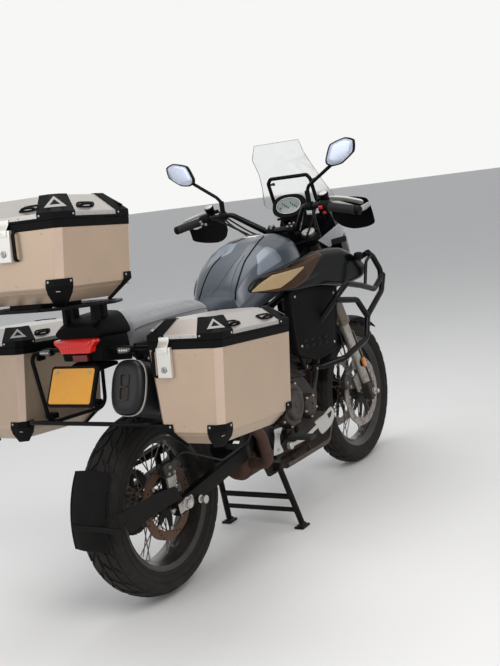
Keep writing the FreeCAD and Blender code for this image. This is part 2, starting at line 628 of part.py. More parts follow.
def exhaust():
    """Two header pipes, the collector under the engine, the link pipe and the oval muffler."""
    can_front = S.can_rear + S.can_length
    pipes = []
    for y in (-52, 52):
        pipes.append(tube([(1000, y, 658), (1085, y, 620), (1090, y, 420), (1040, y * 0.9 - 4, 283),
                           (900, y * 0.5 - 30, 262), (can_front - 20, S.can_y + y * 0.35, 285)], 19, 45))
    can = lathe([(0, 30), (18, S.can_radius - 8), (40, S.can_radius), (S.can_length - 30, S.can_radius),
                 (S.can_length, 40)], 20, X_AXIS, Placement(Vector(S.can_rear, S.can_y, S.can_z), Rotation()), False)
    slope = math.radians(S.muffler_slope)
    reach = S.muffler_length + 60

    def along(distance):
        return (S.muffler_end_x + distance * math.cos(slope), S.muffler_y,
                S.muffler_end_z - distance * math.sin(slope))
    link = tube([(480, S.can_y - 30, 316), (474, -188, 324), (440, -190, 440), along(reach + 70), along(reach)],
                S.pipe_radius, 40)
    solid_node("exhaust_pipes", [seated(pipe, "engine") for pipe in pipes] + [can, link])
    half_w, half_h = S.muffler_width / 2, S.muffler_height / 2

    def oval(x, inset):
        w, high = half_w - inset, half_h - inset
        side, top = high - 40, w - 24
        return [(x, y, z) for y, z in ((-w, -side), (-top, -high), (top, -high), (w, -side), (w, side),
                                       (top, high), (-top, high), (-w, side))]
    length = S.muffler_length
    body = skin([oval(0, 14), oval(10, 3), oval(24, 0), oval(length - 90, 0), oval(length, 34)])
    neck = drum((length - 5, 0, 0), (length + 59.6, 0, 0), S.pipe_radius + 3, 14)
    outlets = [block((-1, -30, z - 17), (60, 30, z + 17)) for z in (26, -26)]
    place = Placement(Vector(S.muffler_end_x, S.muffler_y, S.muffler_end_z), Rotation(Y_AXIS, S.muffler_slope))
    solid_node("muffler", [body.fuse(neck).cut(outlets)], place)


def stands():
    """The centre stand as it holds the bike, and the side stand folded back."""
    px, pz, r = S.stand_pivot_x, S.stand_pivot_z, S.stand_tube_radius
    foot_x, foot_y = S.stand_foot_x, S.stand_foot_y
    inner = S.engine_right + S.plate_thickness + 0.5
    parts = []
    for side, sign in SIDES:
        ankle = (foot_x - 4, sign * foot_y, 20)
        parts += [rod((px, sign * (S.stand_pivot_y + r), pz), ankle, r),
                  rod((foot_x - 4, sign * foot_y, 4), ankle, r),
                  block((foot_x - 32, sign * foot_y - 20, 0), (foot_x + 26, sign * foot_y + 20, 9)),
                  pin((px, sign * inner, pz), (px, sign * (S.stand_pivot_y + 2 * r), pz), 17)]
    parts += [rod((px + 32, -158, 136), (px + 32, 158, 136), 10), rod((px + 50, -162, 76), (px + 50, 162, 76), 8)]
    solid_node("centre_stand", parts)
    pivot = Vector(S.prop_pivot_x, S.prop_pivot_y, S.prop_pivot_z)
    end = pivot.add(Vector(-0.995, 0, -0.0995).multiply(S.prop_length))
    half_boss = Vector(PROP_AXIS).multiply(12)
    solid_node("side_stand", [
        rod(tuple(pivot), tuple(end), 10), pin(tuple(pivot.sub(half_boss)), tuple(pivot.add(half_boss)), 18),
        block((end.x - 26, end.y - 14, end.z - 10), (end.x + 6, end.y + 26, end.z - 2))])


def steering():
    """Everything that turns with the bars, drawn around the steering axis."""
    half, off = S.fork_half_spread, S.fork_offset
    low, high, thick = S.lower_clamp, S.upper_clamp, S.clamp_thickness
    axle_hole = hole((off, -200, 0), (off, 200, 0), S.axle_radius + 0.05)
    legs = []
    for side, sign in SIDES:
        y = sign * half
        leg = [drum((off, y, 400), (off, y, high + 30), S.fork_tube_radius, 16),
               drum((off, y, 25), (off, y, 405), S.fork_slider_radius, 16),
               block((off - 28, y - 22, -34), (off + 28, y + 22, 60)),
               slab([(off + 20, 30), (off + 44, 40), (off + 46, 300), (off + 34, 330), (off + 18, 330)],
                    "y", y - 26, y + 26)]
        legs.append(leg[0].multiFuse(leg[1:]).cut(axle_hole))
    solid_node("fork", legs, FORK, joined=False)
    outline = [(-34, -30), (-20, -48), (off - 32, -half - 34), (off + 34, -half - 34), (off + 38, -half + 30),
               (36, 0), (off + 38, half - 30), (off + 34, half + 34), (off - 32, half + 34), (-20, 48), (-34, 30)]
    clamps = []
    for z in (low, high):
        plate = slab(outline, "z", z - thick / 2, z + thick / 2)
        grips = [drum((off, sign * half, z - 30), (off, sign * half, z + 30), S.fork_tube_radius, 16) for sign in (1, -1)]
        clamps.append(plate.cut(grips))
    stem = pin((0, 0, low), (0, 0, high), S.stem_radius)
    bar_hole = rod((14, -100, S.bar_height), (14, 100, S.bar_height), S.bar_radius + 0.8, 12)
    risers = [block((-6, sign * 50 - 17, high + thick / 2 - 1), (34, sign * 50 + 17, S.bar_height + 18)).cut(bar_hole)
              for sign in (1, -1)]
    solid_node("triple_clamps", clamps + [stem] + risers, FORK)
    bar = S.bar_height
    half_bar = tube([(14, 0, bar), (14, 78, bar), (-36, 175, bar + 126), (-62, 262, bar + 136), (-88, 425, bar + 112)],
                    S.bar_radius, 30)
    solid_node("handlebar", both_sides([half_bar]), FORK)
    controls, guards, mirrors, glass = [], [], [], []
    for side, sign in SIDES:
        inner, outer = Vector(-62, sign * 262, bar + 136), Vector(-88, sign * 425, bar + 112)
        along = outer.sub(inner).normalize()

        def at(distance, *more):
            return tuple(inner.add(Vector(along).multiply(distance)).add(Vector(*more)))
        bore = drum(at(-5), at(190), S.bar_radius + 0.5, 14)
        grip = drum(at(50, 0, 0, 0), at(160, 0, 0, 0), S.grip_radius, 14)
        switch = drum(at(6, 0, 0, 0), at(50.5, 0, 0, 0), 24, 12)
        pot = drum(at(14, 34, 0, 0), at(14, 34, 0, 38), 19, 12)
        lever = rod(at(14, 40, 0, 4), at(150, 52, 0, -4), 6, 6)
        bridge = rod(at(14, 8, 0, 8), at(14, 42, 0, 8), 9, 8)
        controls.append(grip.multiFuse([switch, pot, lever, bridge]).cut(bore))
        rows = ((250, -8, 122, 6), (330, -26, 118, 10), (440, -4, 114, -10))
        shield = skin([[(x - 4, sign * y, bar + foot), (x + 4, sign * y, bar + foot), (x + 8, sign * y, bar + head),
                        (x, sign * y, bar + head)] for y, foot, head, x in rows])
        tip = slab([(-14, sign * 430), (-6, sign * 442), (-74, sign * 448), (-104, sign * 446), (-104, sign * 426),
                    (-74, sign * 428)], "z", bar + 96, bar + 124)
        tip = tip.cut(drum(at(100), at(190), S.bar_radius + 0.4, 14))
        root = rod((8, sign * 253, bar + 112), (-44, sign * 238, bar + 127), 7, 8)
        root = root.cut(drum(tuple(Vector(-36, sign * 175, bar + 126)), at(10), S.bar_radius + 0.6, 14))
        guards.append(shield.multiFuse([tip, root]))
        head, pane = mirror(sign)
        mirrors.append(head)
        glass.append(pane)
    solid_node("controls", controls, FORK, joined=False)
    solid_node("hand_guards", guards, FORK, joined=False)
    solid_node("mirrors", mirrors, joined=False)
    solid_node("mirror_glass", glass, joined=False)
    front_end(half, off)


def mirror(sign):
    """An elongated mirror on a bent stem, placed from the middle of the handlebar."""
    crown = Vector(*fork_point(14, 0, S.bar_height))
    outline = [(318, 264), (345, 320), (412, 338), (449, 324), (442, 279), (385, 240), (345, 234), (320, 244)]
    middle = (385, 286)

    def spot(x, y, z):
        return (crown.x + x, sign * y, crown.z + z)

    def ring(x, scale):
        return [spot(x, middle[0] + scale * (y - middle[0]), middle[1] + scale * (z - middle[1]))
                for y, z in outline]
    housing = skin([ring(-136, 1), ring(-120, 1), ring(-100, 0.6)])
    pane = skin([ring(-139.4, 0.92), ring(-136.3, 0.92)])
    ends = [Vector(*fork_point(x, sign * y, S.bar_height + z)) for x, y, z in ((-36, 175, 126), (-62, 262, 136))]
    clamp = [ends[0].add(ends[1].sub(ends[0]).multiply(share)) for share in (0.3, 0.5)]
    stem = tube([tuple(clamp[0].add(clamp[1]).multiply(0.5)), spot(-124, 216, 165), spot(-116, 354, 258)], 7)
    bore = hole(tuple(ends[0]), tuple(ends[1]), S.bar_radius + 0.3, 12)
    return housing.multiFuse([stem, drum(tuple(clamp[0]), tuple(clamp[1]), 19, 12)]).cut(bore), pane


def front_end(half, off):
    """Front axle, mudguard over the wheel and the two calipers, in the fork frame."""
    reach = half + 34
    spacers = [(S.hub_half + 0.5, half - 22.2, 14), (half + 22.2, reach - 3, 16)]
    rings = [rod((off, sign * a, 0), (off, sign * b, 0), r) for a, b, r in spacers for sign in (1, -1)]
    shaft = pin((off, -reach, 0), (off, reach, 0), S.axle_radius)
    solid_node("front_axle", [shaft] + rings, FORK)
    arch = []
    for radius in (S.front_tyre_radius + 24, S.front_tyre_radius + 19):
        arch.append([(off + radius * math.sin(math.radians(a)), radius * math.cos(math.radians(a)))
                     for a in range(-40, 66, 15)])
    fender = slab(arch[0] + arch[1][::-1], "y", -66, 66)
    stays = []
    for sign in (1, -1):
        stays.append(slab([(off - 30, 290), (off + 17, 290), (off + 17, 350), (off - 30, 350)], "y",
                          *span(sign * 62, sign * 66)))
        stays.append(block((off - 16, span(sign * 65, sign * (half - 22.4))[0], 296),
                           (off + 16, span(sign * 65, sign * (half - 22.4))[1], 322)))
    solid_node("front_mudguard", [fender] + stays, FORK)
    calipers = []
    for sign in (1, -1):
        near, far = span(sign * (S.disc_place + S.disc_thickness / 2 + 1.5), sign * (half - 22.4))
        body = slab([(off - 62, 70), (off - 122, 112), (off - 132, 148), (off - 92, 176), (off - 58, 120)],
                    "y", near, far)
        bracket = slab([(off - 64, 40), (off - 28.3, 40), (off - 28.3, 60.3), (off - 22.3, 60.3), (off - 22.3, 130),
                        (off - 64, 120)], "y", *span(sign * (half - 10), sign * (half - 22.4)))
        foot = slab([(off - 64, 62), (off - 40, 62), (off - 40, 118), (off - 64, 118)], "y",
                    *span(sign * (half - 30), sign * (half - 22)))
        calipers.append(body.multiFuse([bracket, foot]))
    solid_node("front_calipers", calipers, FORK, joined=False)


def bodywork():
    """Tank, seats, tail, lamps and plate."""
    def section(x, half_low, half_mid, half_top, bottom, waist, top, crown):
        """Half widths and heights: foot, widest place, shoulder and crown of a tank section."""
        half = [(half_low, bottom), (half_mid, waist), (half_top, top), (half_top * 0.45, crown)]
        return [(x, y, z) for y, z in half] + [(x, -y, z) for y, z in half[::-1]]
    tank = skin([section(556, 92, 104, 82, 868, 900, 940, 948), section(640, 106, 150, 118, 872, 960, 1030, 1052),
                 section(790, 112, 194, 150, 888, 990, 1086, 1128), section(905, 118, 188, 148, 914, 990, 1096, 1138),
                 section(1012, 84, 128, 100, 978, 1030, 1090, 1112)])
    neck = drum((880, 0, 1120), (880, 0, 1146), 44, 20)
    feet = [seated(rod((945, sign * 92, 948), (949, sign * 136, 886), 11), "frame") for sign in (1, -1)]
    solid_node("fuel_tank", [tank, neck] + feet)

    def cushion(x, half_low, half_top, bottom, top):
        return [(x, half_low, bottom), (x, half_top, top - 22), (x, half_top - 34, top), (x, -half_top + 34, top),
                (x, -half_top, top - 22), (x, -half_low, bottom)]
    rider = skin([cushion(562, 82, 98, 856, 900), cushion(430, 100, 146, 852, 888),
                  cushion(352, 100, 138, 836, 930), cushion(330, 96, 120, 836, 962)])
    solid_node("rider_seat", [seated(rider, "fuel_tank", "frame")])
    pillion = skin([cushion(330, 96, 124, 846, 968), cushion(290, 98, 132, 848, 986),
                    cushion(120, 86, 128, 872, 992), cushion(-60, 66, 92, 884, 988)])
    solid_node("pillion_seat", [seated(pillion, "rider_seat", "frame")])
    panel = skin([[(335, 117, 792), (335, 128, 792), (335, 128, 866), (335, 117, 850)],
                  [(-80, 92, 848), (-80, 103, 848), (-80, 103, 906), (-80, 92, 890)]])
    end = skin([[(-74, y, z) for y, z in ((-103, 850), (103, 850), (92, 902), (-92, 902))],
                [(-100, y, z) for y, z in ((-100, 858), (100, 858), (92, 952), (-92, 952))],
                [(-225, y, z) for y, z in ((-84, 880), (84, 880), (88, 960), (-88, 960))]])
    bolts = [seated(rod((x, y, z), (x, y + 21, z), 9), "frame") for x, y, z in ((200, 91, 851), (20, 79, 874))]
    cowl = both_sides([panel] + bolts) + [end]
    hood = skin([[(x, y, z) for y, z in ((-half, low), (half, low), (half - 3, low + 24), (62, top), (-62, top),
                                         (3 - half, low + 24))]
                 for x, half, low, top in ((-232, 90, 961, 992), (-150, 99, 946, 1018), (-90, 98, 942, 1020))])
    joined = cowl[0].multiFuse(cowl[1:] + [hood]).removeSplitter()
    solid_node("tail_cowl", [seated(joined, "pillion_seat", "frame", "rear_rack")])
    lamp = skin([[(-225.3, y, z) for y, z in ((-80, 912), (80, 912), (86, 958), (-86, 958))],
                 [(-266, y, z) for y, z in ((-66, 914), (66, 914), (78, 956), (-78, 956))]])
    solid_node("tail_lamp", [lamp])
    blinkers = []
    for sign in (1, -1):
        stalk = rod((-198, sign * 84, 918), (-198, sign * 150, 918), 6, 8)
        pod = skin([[(x, sign * 140, z) for x, z in ((-190, 900), (-190, 926), (-222, 922), (-222, 902))],
                    [(x, sign * 190, z) for x, z in ((-198, 906), (-198, 920), (-216, 920), (-216, 906))]])
        blinkers.append(seated(stalk.fuse(pod), "tail_cowl"))
    arm = skin([[(-130, y, z) for y, z in ((-60, 850), (60, 850), (60, 863), (-60, 863))],
                [(-215, y, z) for y, z in ((-52, 842), (52, 842), (52, 877), (-52, 877))],
                [(-284, y, z) for y, z in ((-44, 822), (44, 822), (44, 846), (-44, 846))]])
    solid_node("plate_holder", [arm, plate_board(66, 95, -16, -2.2)])
    plate = Drawing("number_plate", PLATE)
    plate.pad("XY", [rect("57", "86")], "-2", "0")
    node(plate.body)
    return blinkers


PLATE = Placement(Vector(-300, 0, 821), Rotation(Y_AXIS, -63))


def plate_board(half_height, half_width, low, high):
    board = block((-half_height, -half_width, low), (half_height, half_width, high))
    board.transformShape(PLATE.toMatrix())
    return board


def crash_path(part, sign):
    """The route of one crash bar tube and its bend."""
    routes = {
        "upper": ([(970, 96, 690), (1010, 160, 735), (1070, 245, 850), (1121, 265, 889), (1250, 268, 858),
                   (1372, 265, 822), (1483, 262, 868), (1404, 262, 960), (1370, 257, 984)], 34),
        "lower": ([(1483, 262, 868), (1443, 264, 801), (1275, 265, 722), (1245, 264, 632), (1060, 250, 590),
                   (1000, 165, 568), (925, 128, 584)], 34),
        "brace": ([(1062, 232, 832), (1202, 262, 806), (1275, 265, 722)], 30),
        "stay": ([(1374, 258, 982), (1374, 150, 936)], 0)}
    points, bend = routes[part]
    return [(x + FORWARD, sign * y, z) for x, y, z in points], bend


def fairings(blinkers):
    """Side shrouds, nose, headlamp, screen and its frame, display and radiator."""
    fw = FORWARD

    def shape(x, points):
        return [(x + fw, y, z) for y, z in points]
    wing = [(x + fw, z) for x, z in ((604, 946), (640, 1000), (1012, 1046), (1221, 1032), (1385, 955), (1440, 905),
                                     (1392, 872), (1190, 868), (1000, 902), (800, 916))]
    centre = (1060 + fw, 955)
    small = [(centre[0] + 0.93 * (x - centre[0]), centre[1] + 0.72 * (z - centre[1])) for x, z in wing]
    lower = [(x + fw, z) for x, z in ((800, 919), (1000, 905), (1188, 871), (1165, 760), (1124, 622), (960, 606),
                                      (800, 664), (790, 885))]
    panels = []
    for sign in (1, -1):
        upper = skin([[(x, sign * 163, z) for x, z in wing], [(x, sign * 196, z) for x, z in wing],
                      [(x, sign * 214, z) for x, z in small]])
        side = upper.fuse(slab(lower, "y", *span(sign * 152, sign * 184)))
        path, bend = crash_path("upper", sign)
        panels.append(seated(side.cut(tube(path[:3], S.crash_bar_radius + 4)), "fuel_tank", "frame"))
    solid_node("side_fairings", panels, joined=False)
    for sign in (1, -1):
        front = rod((1318 + fw, sign * 190, 956), (1318 + fw, sign * 222, 970), 7, 8)
        lens = skin([[(x + fw, sign * 220, z) for x, z in ((1298, 960), (1298, 992), (1338, 992), (1338, 960))],
                     [(x + fw, sign * 258, z) for x, z in ((1306, 966), (1306, 986), (1330, 986), (1330, 966))]])
        blinkers.append(seated(front.fuse(lens), "side_fairings"))
    solid_node("indicators", blinkers, joined=False)
    nose = skin([shape(1330, ((-162.7, 985), (162.7, 985), (150, 1080), (120, 1180), (-120, 1180), (-150, 1080))),
                 shape(1395, ((-162.7, 950), (162.7, 950), (146, 1070), (112, 1170), (-112, 1170), (-146, 1070))),
                 shape(1480, ((-110, 955), (110, 955), (112, 1040), (88, 1130), (-88, 1130), (-112, 1040)))])
    beak = skin([shape(1440, ((-96, 952), (96, 952), (96, 975), (-96, 975))),
                 shape(1560, ((-62, 936), (62, 936), (58, 966), (-58, 966))),
                 shape(1660, ((-30, 922), (30, 922), (26, 936), (-26, 936)))])
    solid_node("nose_cowl", [nose, beak])
    lens = skin([shape(1480.3, ((-92, 990), (92, 990), (84, 1120), (-84, 1120))),
                 shape(1512, ((-74, 1000), (74, 1000), (62, 1100), (-62, 1100)))])
    solid_node("headlamp", [lens])
    rows = ((1402, 1181, 128, 46), (1369, 1235, 180, 70), (1312, 1316, 150, 60), (1266, 1375, 135, 50),
            (1205, 1440, 127, 40), (1183, 1500, 108, 20))
    panes = []
    for x, z, half_width, sag in rows:
        line = [(x + fw - sag * share * share, half_width * share, z) for share in (-1, -0.6, -0.2, 0.2, 0.6, 1)]
        panes.append(line + [(px - S.screen_thickness, y, z) for px, y, z in line[::-1]])
    solid_node("windscreen", [skin(panes)])
    hoop = [(1329.7, 96, 1150), (1316, 96, 1150), (1258, 104, 1242), (1228, 104, 1330), (1226, 92, 1349), (1226, 0, 1349)]
    posts = both_sides([tube([(x + fw, y, z) for x, y, z in hoop], 8)])
    shelf = block((1238 + fw, -90, 1168), (1329.6 + fw, 90, 1178))
    back = block((1234 + fw, -60, 1168), (1240 + fw, 60, 1240))
    dash = Drawing("dashboard", Placement(Vector(1196 + fw, 0, 1230), Rotation(Y_AXIS, -68)))
    dash.pad("XY", [rect("52", "81")], "-16", "0")
    dash.pad("XY", [rect("40", "66")], "-30", "-15")
    node(dash.body)
    struts = []
    for sign in (1, -1):
        for z, behind in ((1252, 1254), (1325, 1230)):
            strut = rod((behind + fw, sign * 104, z), (behind + 150 + fw, sign * 104, z), 5)
            struts.append(nearest(strut.cut(placed("windscreen")), Vector(behind + fw, sign * 104, z)))
    carrier = block((30, -13, 700), (200, 13, 732))
    carrier.transformShape(FORK.toMatrix())
    carrier = nearest(carrier.cut(placed("frame")).cut(placed("nose_cowl")), Vector(1300 + fw, 0, 1030))
    pedestal = seated(block((1205 + fw, -40, 1196), (1238 + fw, 40, 1226)), "dashboard")
    solid_node("screen_frame", posts + [shelf, back, carrier, pedestal] + struts)
    core = slab([(x + fw, z) for x, z in ((1132, 610), (1166, 610), (1122, 780), (1088, 780))], "y", -112, 112)
    frame_end = [(x + fw, z) for x, z in ((1126, 602), (1172, 602), (1126, 788), (1082, 788))]
    ends = [slab(frame_end, "y", *span(sign * 112, sign * 128)) for sign in (1, -1)]
    tabs = []
    for sign in (1, -1):
        low, high = span(sign * 40, sign * 62)
        tab = block((1090 + fw, low, 770), (1116 + fw, high, 850))
        tabs.append(nearest(tab.cut(placed("frame")), Vector(1100 + fw, sign * 50, 772)))
    solid_node("radiator", [core] + ends + tabs)


def guards():
    """Crash bars on both sides, the plate under the engine and the footrests."""
    fw = FORWARD
    side = [tube(path, S.crash_bar_radius, bend) for path, bend in
            (crash_path(part, 1) for part in ("upper", "lower", "brace", "stay"))]
    side = seated(side[0].multiFuse(side[1:]), "engine", "frame", "side_fairings")
    solid_node("crash_bars", both_sides([side]), joined=False)
    skid = skin([[(x, y, z) for y, z in ((-130, 236), (130, 236), (130, 226), (-130, 226))] for x in (700,)] +
                [[(1020, y, z) for y, z in ((-140, 236), (140, 236), (140, 226), (-140, 226))],
                 [(1140, y, z) for y, z in ((-120, 345), (120, 345), (120, 335), (-120, 335))]])
    posts = [seated(block((x - 9, y - 8, 232), (x + 9, y + 8, 345)), "engine")
             for x, y in ((925, 70), (925, -100), (790, 62), (790, -102))]
    solid_node("skid_plate", [skid] + posts)
    pegs = []
    for sign in (1, -1):
        hanger = slab([(600, 330), (655, 345), (745, 368), (752, 340), (650, 300), (600, 295)], "y",
                      *span(sign * 128.3, sign * 140))
        low, high = span(sign * 139, sign * 245)
        peg = block((700, low, 344), (745, high, 358))
        back = slab([(228, 640), (300, 660), (330, 560), (300, 540)], "y", *span(sign * 224, sign * 234))
        low, high = span(sign * 233, sign * 300)
        rest = block((290, low, 540), (325, high, 554))
        strut = seated(rod((285, sign * 229, 648), (288, sign * 100, 738), 9), "frame")
        pegs += [hanger.fuse(peg), back.multiFuse([rest, strut])]
    solid_node("footrests", pegs, joined=False)


def rear_details():
    """Shock absorber, rear mudguard on its arm and the rear caliper."""
    low, high = Vector(396, 0, 396), Vector(503, 0, 712)
    axis = high.sub(low)
    profile = [(0, 16), (0.16 * axis.Length, 16)]
    for turn in range(5):
        start = (0.17 + 0.125 * turn) * axis.Length
        profile += [(start, 24), (start + 9, 36), (start + 18, 24)]
    profile += [(0.8 * axis.Length, 18), (axis.Length - 4, 18)]
    solid_node("shock", [seated(lathe(profile, 10, axis, Placement(low, Rotation()), closed=False),
                                "frame", "swingarm")])
    arc = []
    for radius in (S.rear_tyre_radius + 22, S.rear_tyre_radius + 17):
        arc.append([(radius * math.cos(math.radians(a)), radius * math.sin(math.radians(a)))
                    for a in range(145, 187, 10)])
    flap = slab(arc[0] + arc[1][::-1], "y", -70, 70)
    outside = S.arm_inside + S.arm_thickness
    arm = slab([(-36, 20), (-300, 45), (-342, 40), (-342, 20), (-300, 5), (-36, -20)], "y",
               -outside - 8, -outside - 0.3)
    join = block((-345, -outside - 8, 22), (-337, 60, 40))
    solid_node("rear_mudguard", [flap, arm, join], REAR)
    y = -S.disc_place
    caliper = slab([(-20, 92), (30, 92), (52, 138), (-30, 140)], "y", y - 34, y - S.disc_thickness / 2 - 1.5)
    bracket = slab([(-16, 14.5), (16, 14.5), (30, 96), (-20, 96)], "y", y - 34, y - 20)
    solid_node("rear_caliper", [caliper, bracket], REAR)


wheel("rear", REAR)
wheel("front", FRONT)
discs()
sprocket_boss = sprocket_and_chain()
swingarm()
cases()
racks()
frame()
engine(sprocket_boss)
exhaust()
stands()
steering()
rear_indicators = bodywork()
fairings(rear_indicators)
guards()
rear_details()

doc.recompute()
for item in doc.Objects:
    if "Invalid" in item.State or "Error" in item.State:
        raise RuntimeError(f"{item.Label} failed: {item.State}")
box = FreeCAD.BoundBox()
for item in NODES:
    if item.Shape.isNull() or not item.Shape.isValid():
        raise RuntimeError(f"{item.Label} has no valid shape")
    box.add(item.Shape.BoundBox)
shift = Placement(Vector(-(box.XMin + box.XMax) / 2, 0, 0), Rotation())
os.makedirs("parts", exist_ok=True)
for item in NODES:
    item.Placement = shift.multiply(item.Placement)
    item.Shape.exportStep(f"parts/{item.Label}.step")
print(f"{len(NODES)} nodes, rear axle at x {shift.Base.x:.2f}, box {box}")
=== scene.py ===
"""Adventure motorcycle on its centre stand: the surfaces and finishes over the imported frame.

Places are written in the bike frame, in millimetres: x forward from the rear axle, y to the left,
z up from the floor. The function bike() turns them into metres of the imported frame.
"""
import math

import bpy
import numpy as np
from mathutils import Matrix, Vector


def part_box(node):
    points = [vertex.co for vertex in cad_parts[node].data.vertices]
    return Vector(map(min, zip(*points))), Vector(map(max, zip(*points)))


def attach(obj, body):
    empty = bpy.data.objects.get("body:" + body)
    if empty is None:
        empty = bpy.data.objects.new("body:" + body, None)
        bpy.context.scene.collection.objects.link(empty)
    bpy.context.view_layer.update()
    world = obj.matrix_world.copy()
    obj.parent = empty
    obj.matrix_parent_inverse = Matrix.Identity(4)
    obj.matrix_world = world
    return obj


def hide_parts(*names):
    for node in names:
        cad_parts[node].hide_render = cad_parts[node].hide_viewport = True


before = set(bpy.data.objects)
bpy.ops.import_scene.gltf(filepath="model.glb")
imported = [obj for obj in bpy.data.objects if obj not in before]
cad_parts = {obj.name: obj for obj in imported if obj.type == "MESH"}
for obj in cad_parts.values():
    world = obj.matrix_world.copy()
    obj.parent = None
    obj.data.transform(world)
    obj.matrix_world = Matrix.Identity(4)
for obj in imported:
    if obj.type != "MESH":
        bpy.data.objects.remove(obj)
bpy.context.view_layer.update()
rear_low, rear_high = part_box("rear_tyre")
REAR_AXLE_X = (rear_low.x + rear_high.x) / 2

REAR_CENTRE = np.array([0.0, 0.0, 336.0])
FRONT_CENTRE = np.array([1525.0, 0.0, 329.0])
MIRRORED = np.array([1, -1, 1])


def bike(points):
    """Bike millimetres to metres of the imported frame."""
    points = np.asarray(points, float) / 1000
    return points + np.array([REAR_AXLE_X, 0, 0])


def from_frame(origin, degrees):
    """A change of points to the bike frame, from a frame at an origin that is pitched nose up by degrees.

    Its axes are forward (cos, 0, sin), left (0, 1, 0) and up (-sin, 0, cos).
    """
    turn = math.radians(degrees)
    axes = np.array([[math.cos(turn), 0, math.sin(turn)], [0, 1, 0], [-math.sin(turn), 0, math.cos(turn)]])

    def change(points):
        """Points of the turned frame as bike millimetres."""
        return np.asarray(origin, float) + np.asarray(points, float) @ axes
    return change


CASE_PITCH = -5
fork = from_frame((1490.7, 0, 312.64), 25.5)
at_muffler = from_frame((-255, -178, 805), -19.6)
at_plate = from_frame((-300, 0, 821), 63)
at_dash = from_frame((1196, 0, 1230), 68)
at_cylinders = from_frame((850, 0, 500), -22)
at_rack = from_frame((-325, 0, 1332), CASE_PITCH)
at_arm = from_frame((0, 0, 336), 7.02)


def unit(vector):
    """A vector over its own length."""
    return vector / np.linalg.norm(vector)


# Surfaces. A patch is a pair: an array of points and a list of faces.

def grid(rings, around=True, loop=False, ends=True):
    """A patch over rings of points: row i joins row i + 1, each ring closed when around is set."""
    rings = np.asarray(rings, float)
    rows, count = rings.shape[:2]
    across = count if around else count - 1
    down = rows if loop else rows - 1
    i, j = np.meshgrid(np.arange(down), np.arange(across), indexing="ij")
    after, beside = (i + 1) % rows, (j + 1) % count
    quads = np.stack([i * count + j, i * count + beside, after * count + beside, after * count + j], -1)
    faces = quads.reshape(-1, 4).tolist()
    if ends and around and not loop:
        faces.append(list(range(count))[::-1])
        faces.append(list(range((rows - 1) * count, rows * count)))
    return rings.reshape(-1, 3), faces


def basis(axis):
    """Two unit vectors square to an axis and to each other."""
    axis = unit(np.asarray(axis, float))
    helper = np.array([0.0, 0.0, 1.0]) if abs(axis[2]) < 0.9 else np.array([1.0, 0.0, 0.0])
    side = np.cross(helper, axis)
    side = unit(side)
    return axis, side, np.cross(axis, side)


def turned(profile, centre=(0, 0, 0), axis=(0, 1, 0), sides=48, loop=False, ends=True):
    """A profile of (along, radius) turned about an axis: point = centre + along axis + radius (cos, sin)."""
    profile = np.asarray(profile, float)
    axis, side, up = basis(axis)
    angle = np.linspace(0, 2 * math.pi, sides, endpoint=False)
    spoke = np.cos(angle)[:, None] * side + np.sin(angle)[:, None] * up
    rings = np.asarray(centre) + profile[:, None, :1] * axis + profile[:, None, 1:] * spoke[None]
    return grid(rings, loop=loop, ends=ends)


def barrel(start, end, radius, sides=24, round_off=0.0):
    """A cylinder from start to end, its rims eased by round_off."""
    start, end = np.asarray(start, float), np.asarray(end, float)
    length = np.linalg.norm(end - start)
    if round_off:
        profile = [(0, radius - round_off), (round_off, radius), (length - round_off, radius),
                   (length, radius - round_off)]
    else:
        profile = [(0, radius), (length, radius)]
    return turned(profile, start, end - start, sides)


def eased(points, bend):
    """A route whose inner corners become arcs of the bend's radius, or as large as the runs allow."""
    points = [np.asarray(point, float) for point in points]
    route = [points[0]]
    for before, corner, after in zip(points, points[1:], points[2:]):
        into, out = corner - before, after - corner
        room = 0.48 * min(np.linalg.norm(into), np.linalg.norm(out))
        into, out = unit(into), unit(out)
        turn = math.acos(float(np.clip(into @ out, -1, 1)))
        if turn < 0.05 or bend == 0:
            route.append(corner)
            continue
        radius = min(bend, room / math.tan(turn / 2))
        steps = max(2, int(turn / 0.22))
        reach = radius * math.tan(turn / 2)
        middle = corner + unit(out - into) * radius / math.cos(turn / 2)
        first = corner - into * reach - middle
        normal = np.cross(into, out)
        normal = unit(normal)
        for step in range(steps + 1):
            spin = turn * step / steps
            route.append(middle + first * math.cos(spin) + np.cross(normal, first) * math.sin(spin))
    route.append(points[-1])
    return np.array(route)


def carried(route, section, up=None):
    """A closed section of (across, above) pairs carried along a route without twist."""
    route = np.asarray(route, float)
    tangent = np.gradient(route, axis=0)
    tangent = tangent / np.linalg.norm(tangent, axis=1)[:, None]
    if up is None:
        up = basis(tangent[0])[2]
    frames = []
    above = np.asarray(up, float)
    for direction in tangent:
        above = above - direction * (above @ direction)
        above = unit(above)
        frames.append((np.cross(direction, above), above))
    side = np.array([pair[0] for pair in frames])
    above = np.array([pair[1] for pair in frames])
    section = np.asarray(section, float)
    if section.ndim == 2:
        section = np.repeat(section[None], len(route), axis=0)
    rings = route[:, None] + section[:, :, :1] * side[:, None] + section[:, :, 1:] * above[:, None]
    return grid(rings[:, ::-1])


def circle(radius, sides=18):
    """A round section (radius cos, radius sin) for carried."""
    angle = np.linspace(0, 2 * math.pi, sides, endpoint=False)
    return np.stack([radius * np.cos(angle), radius * np.sin(angle)], -1)


def pipe(points, radius, bend=0, sides=18):
    """A round tube along an eased route."""
    return carried(eased(points, bend), circle(radius, sides))


def plate(outline, axis, low, high):
    """A flat outline of pairs, thickened along an axis from low to high."""
    outline = np.asarray(outline, float)
    place = "xyz".index(axis)
    rings = [np.insert(outline, place, level, axis=1) for level in (low, high)]
    return grid(rings)


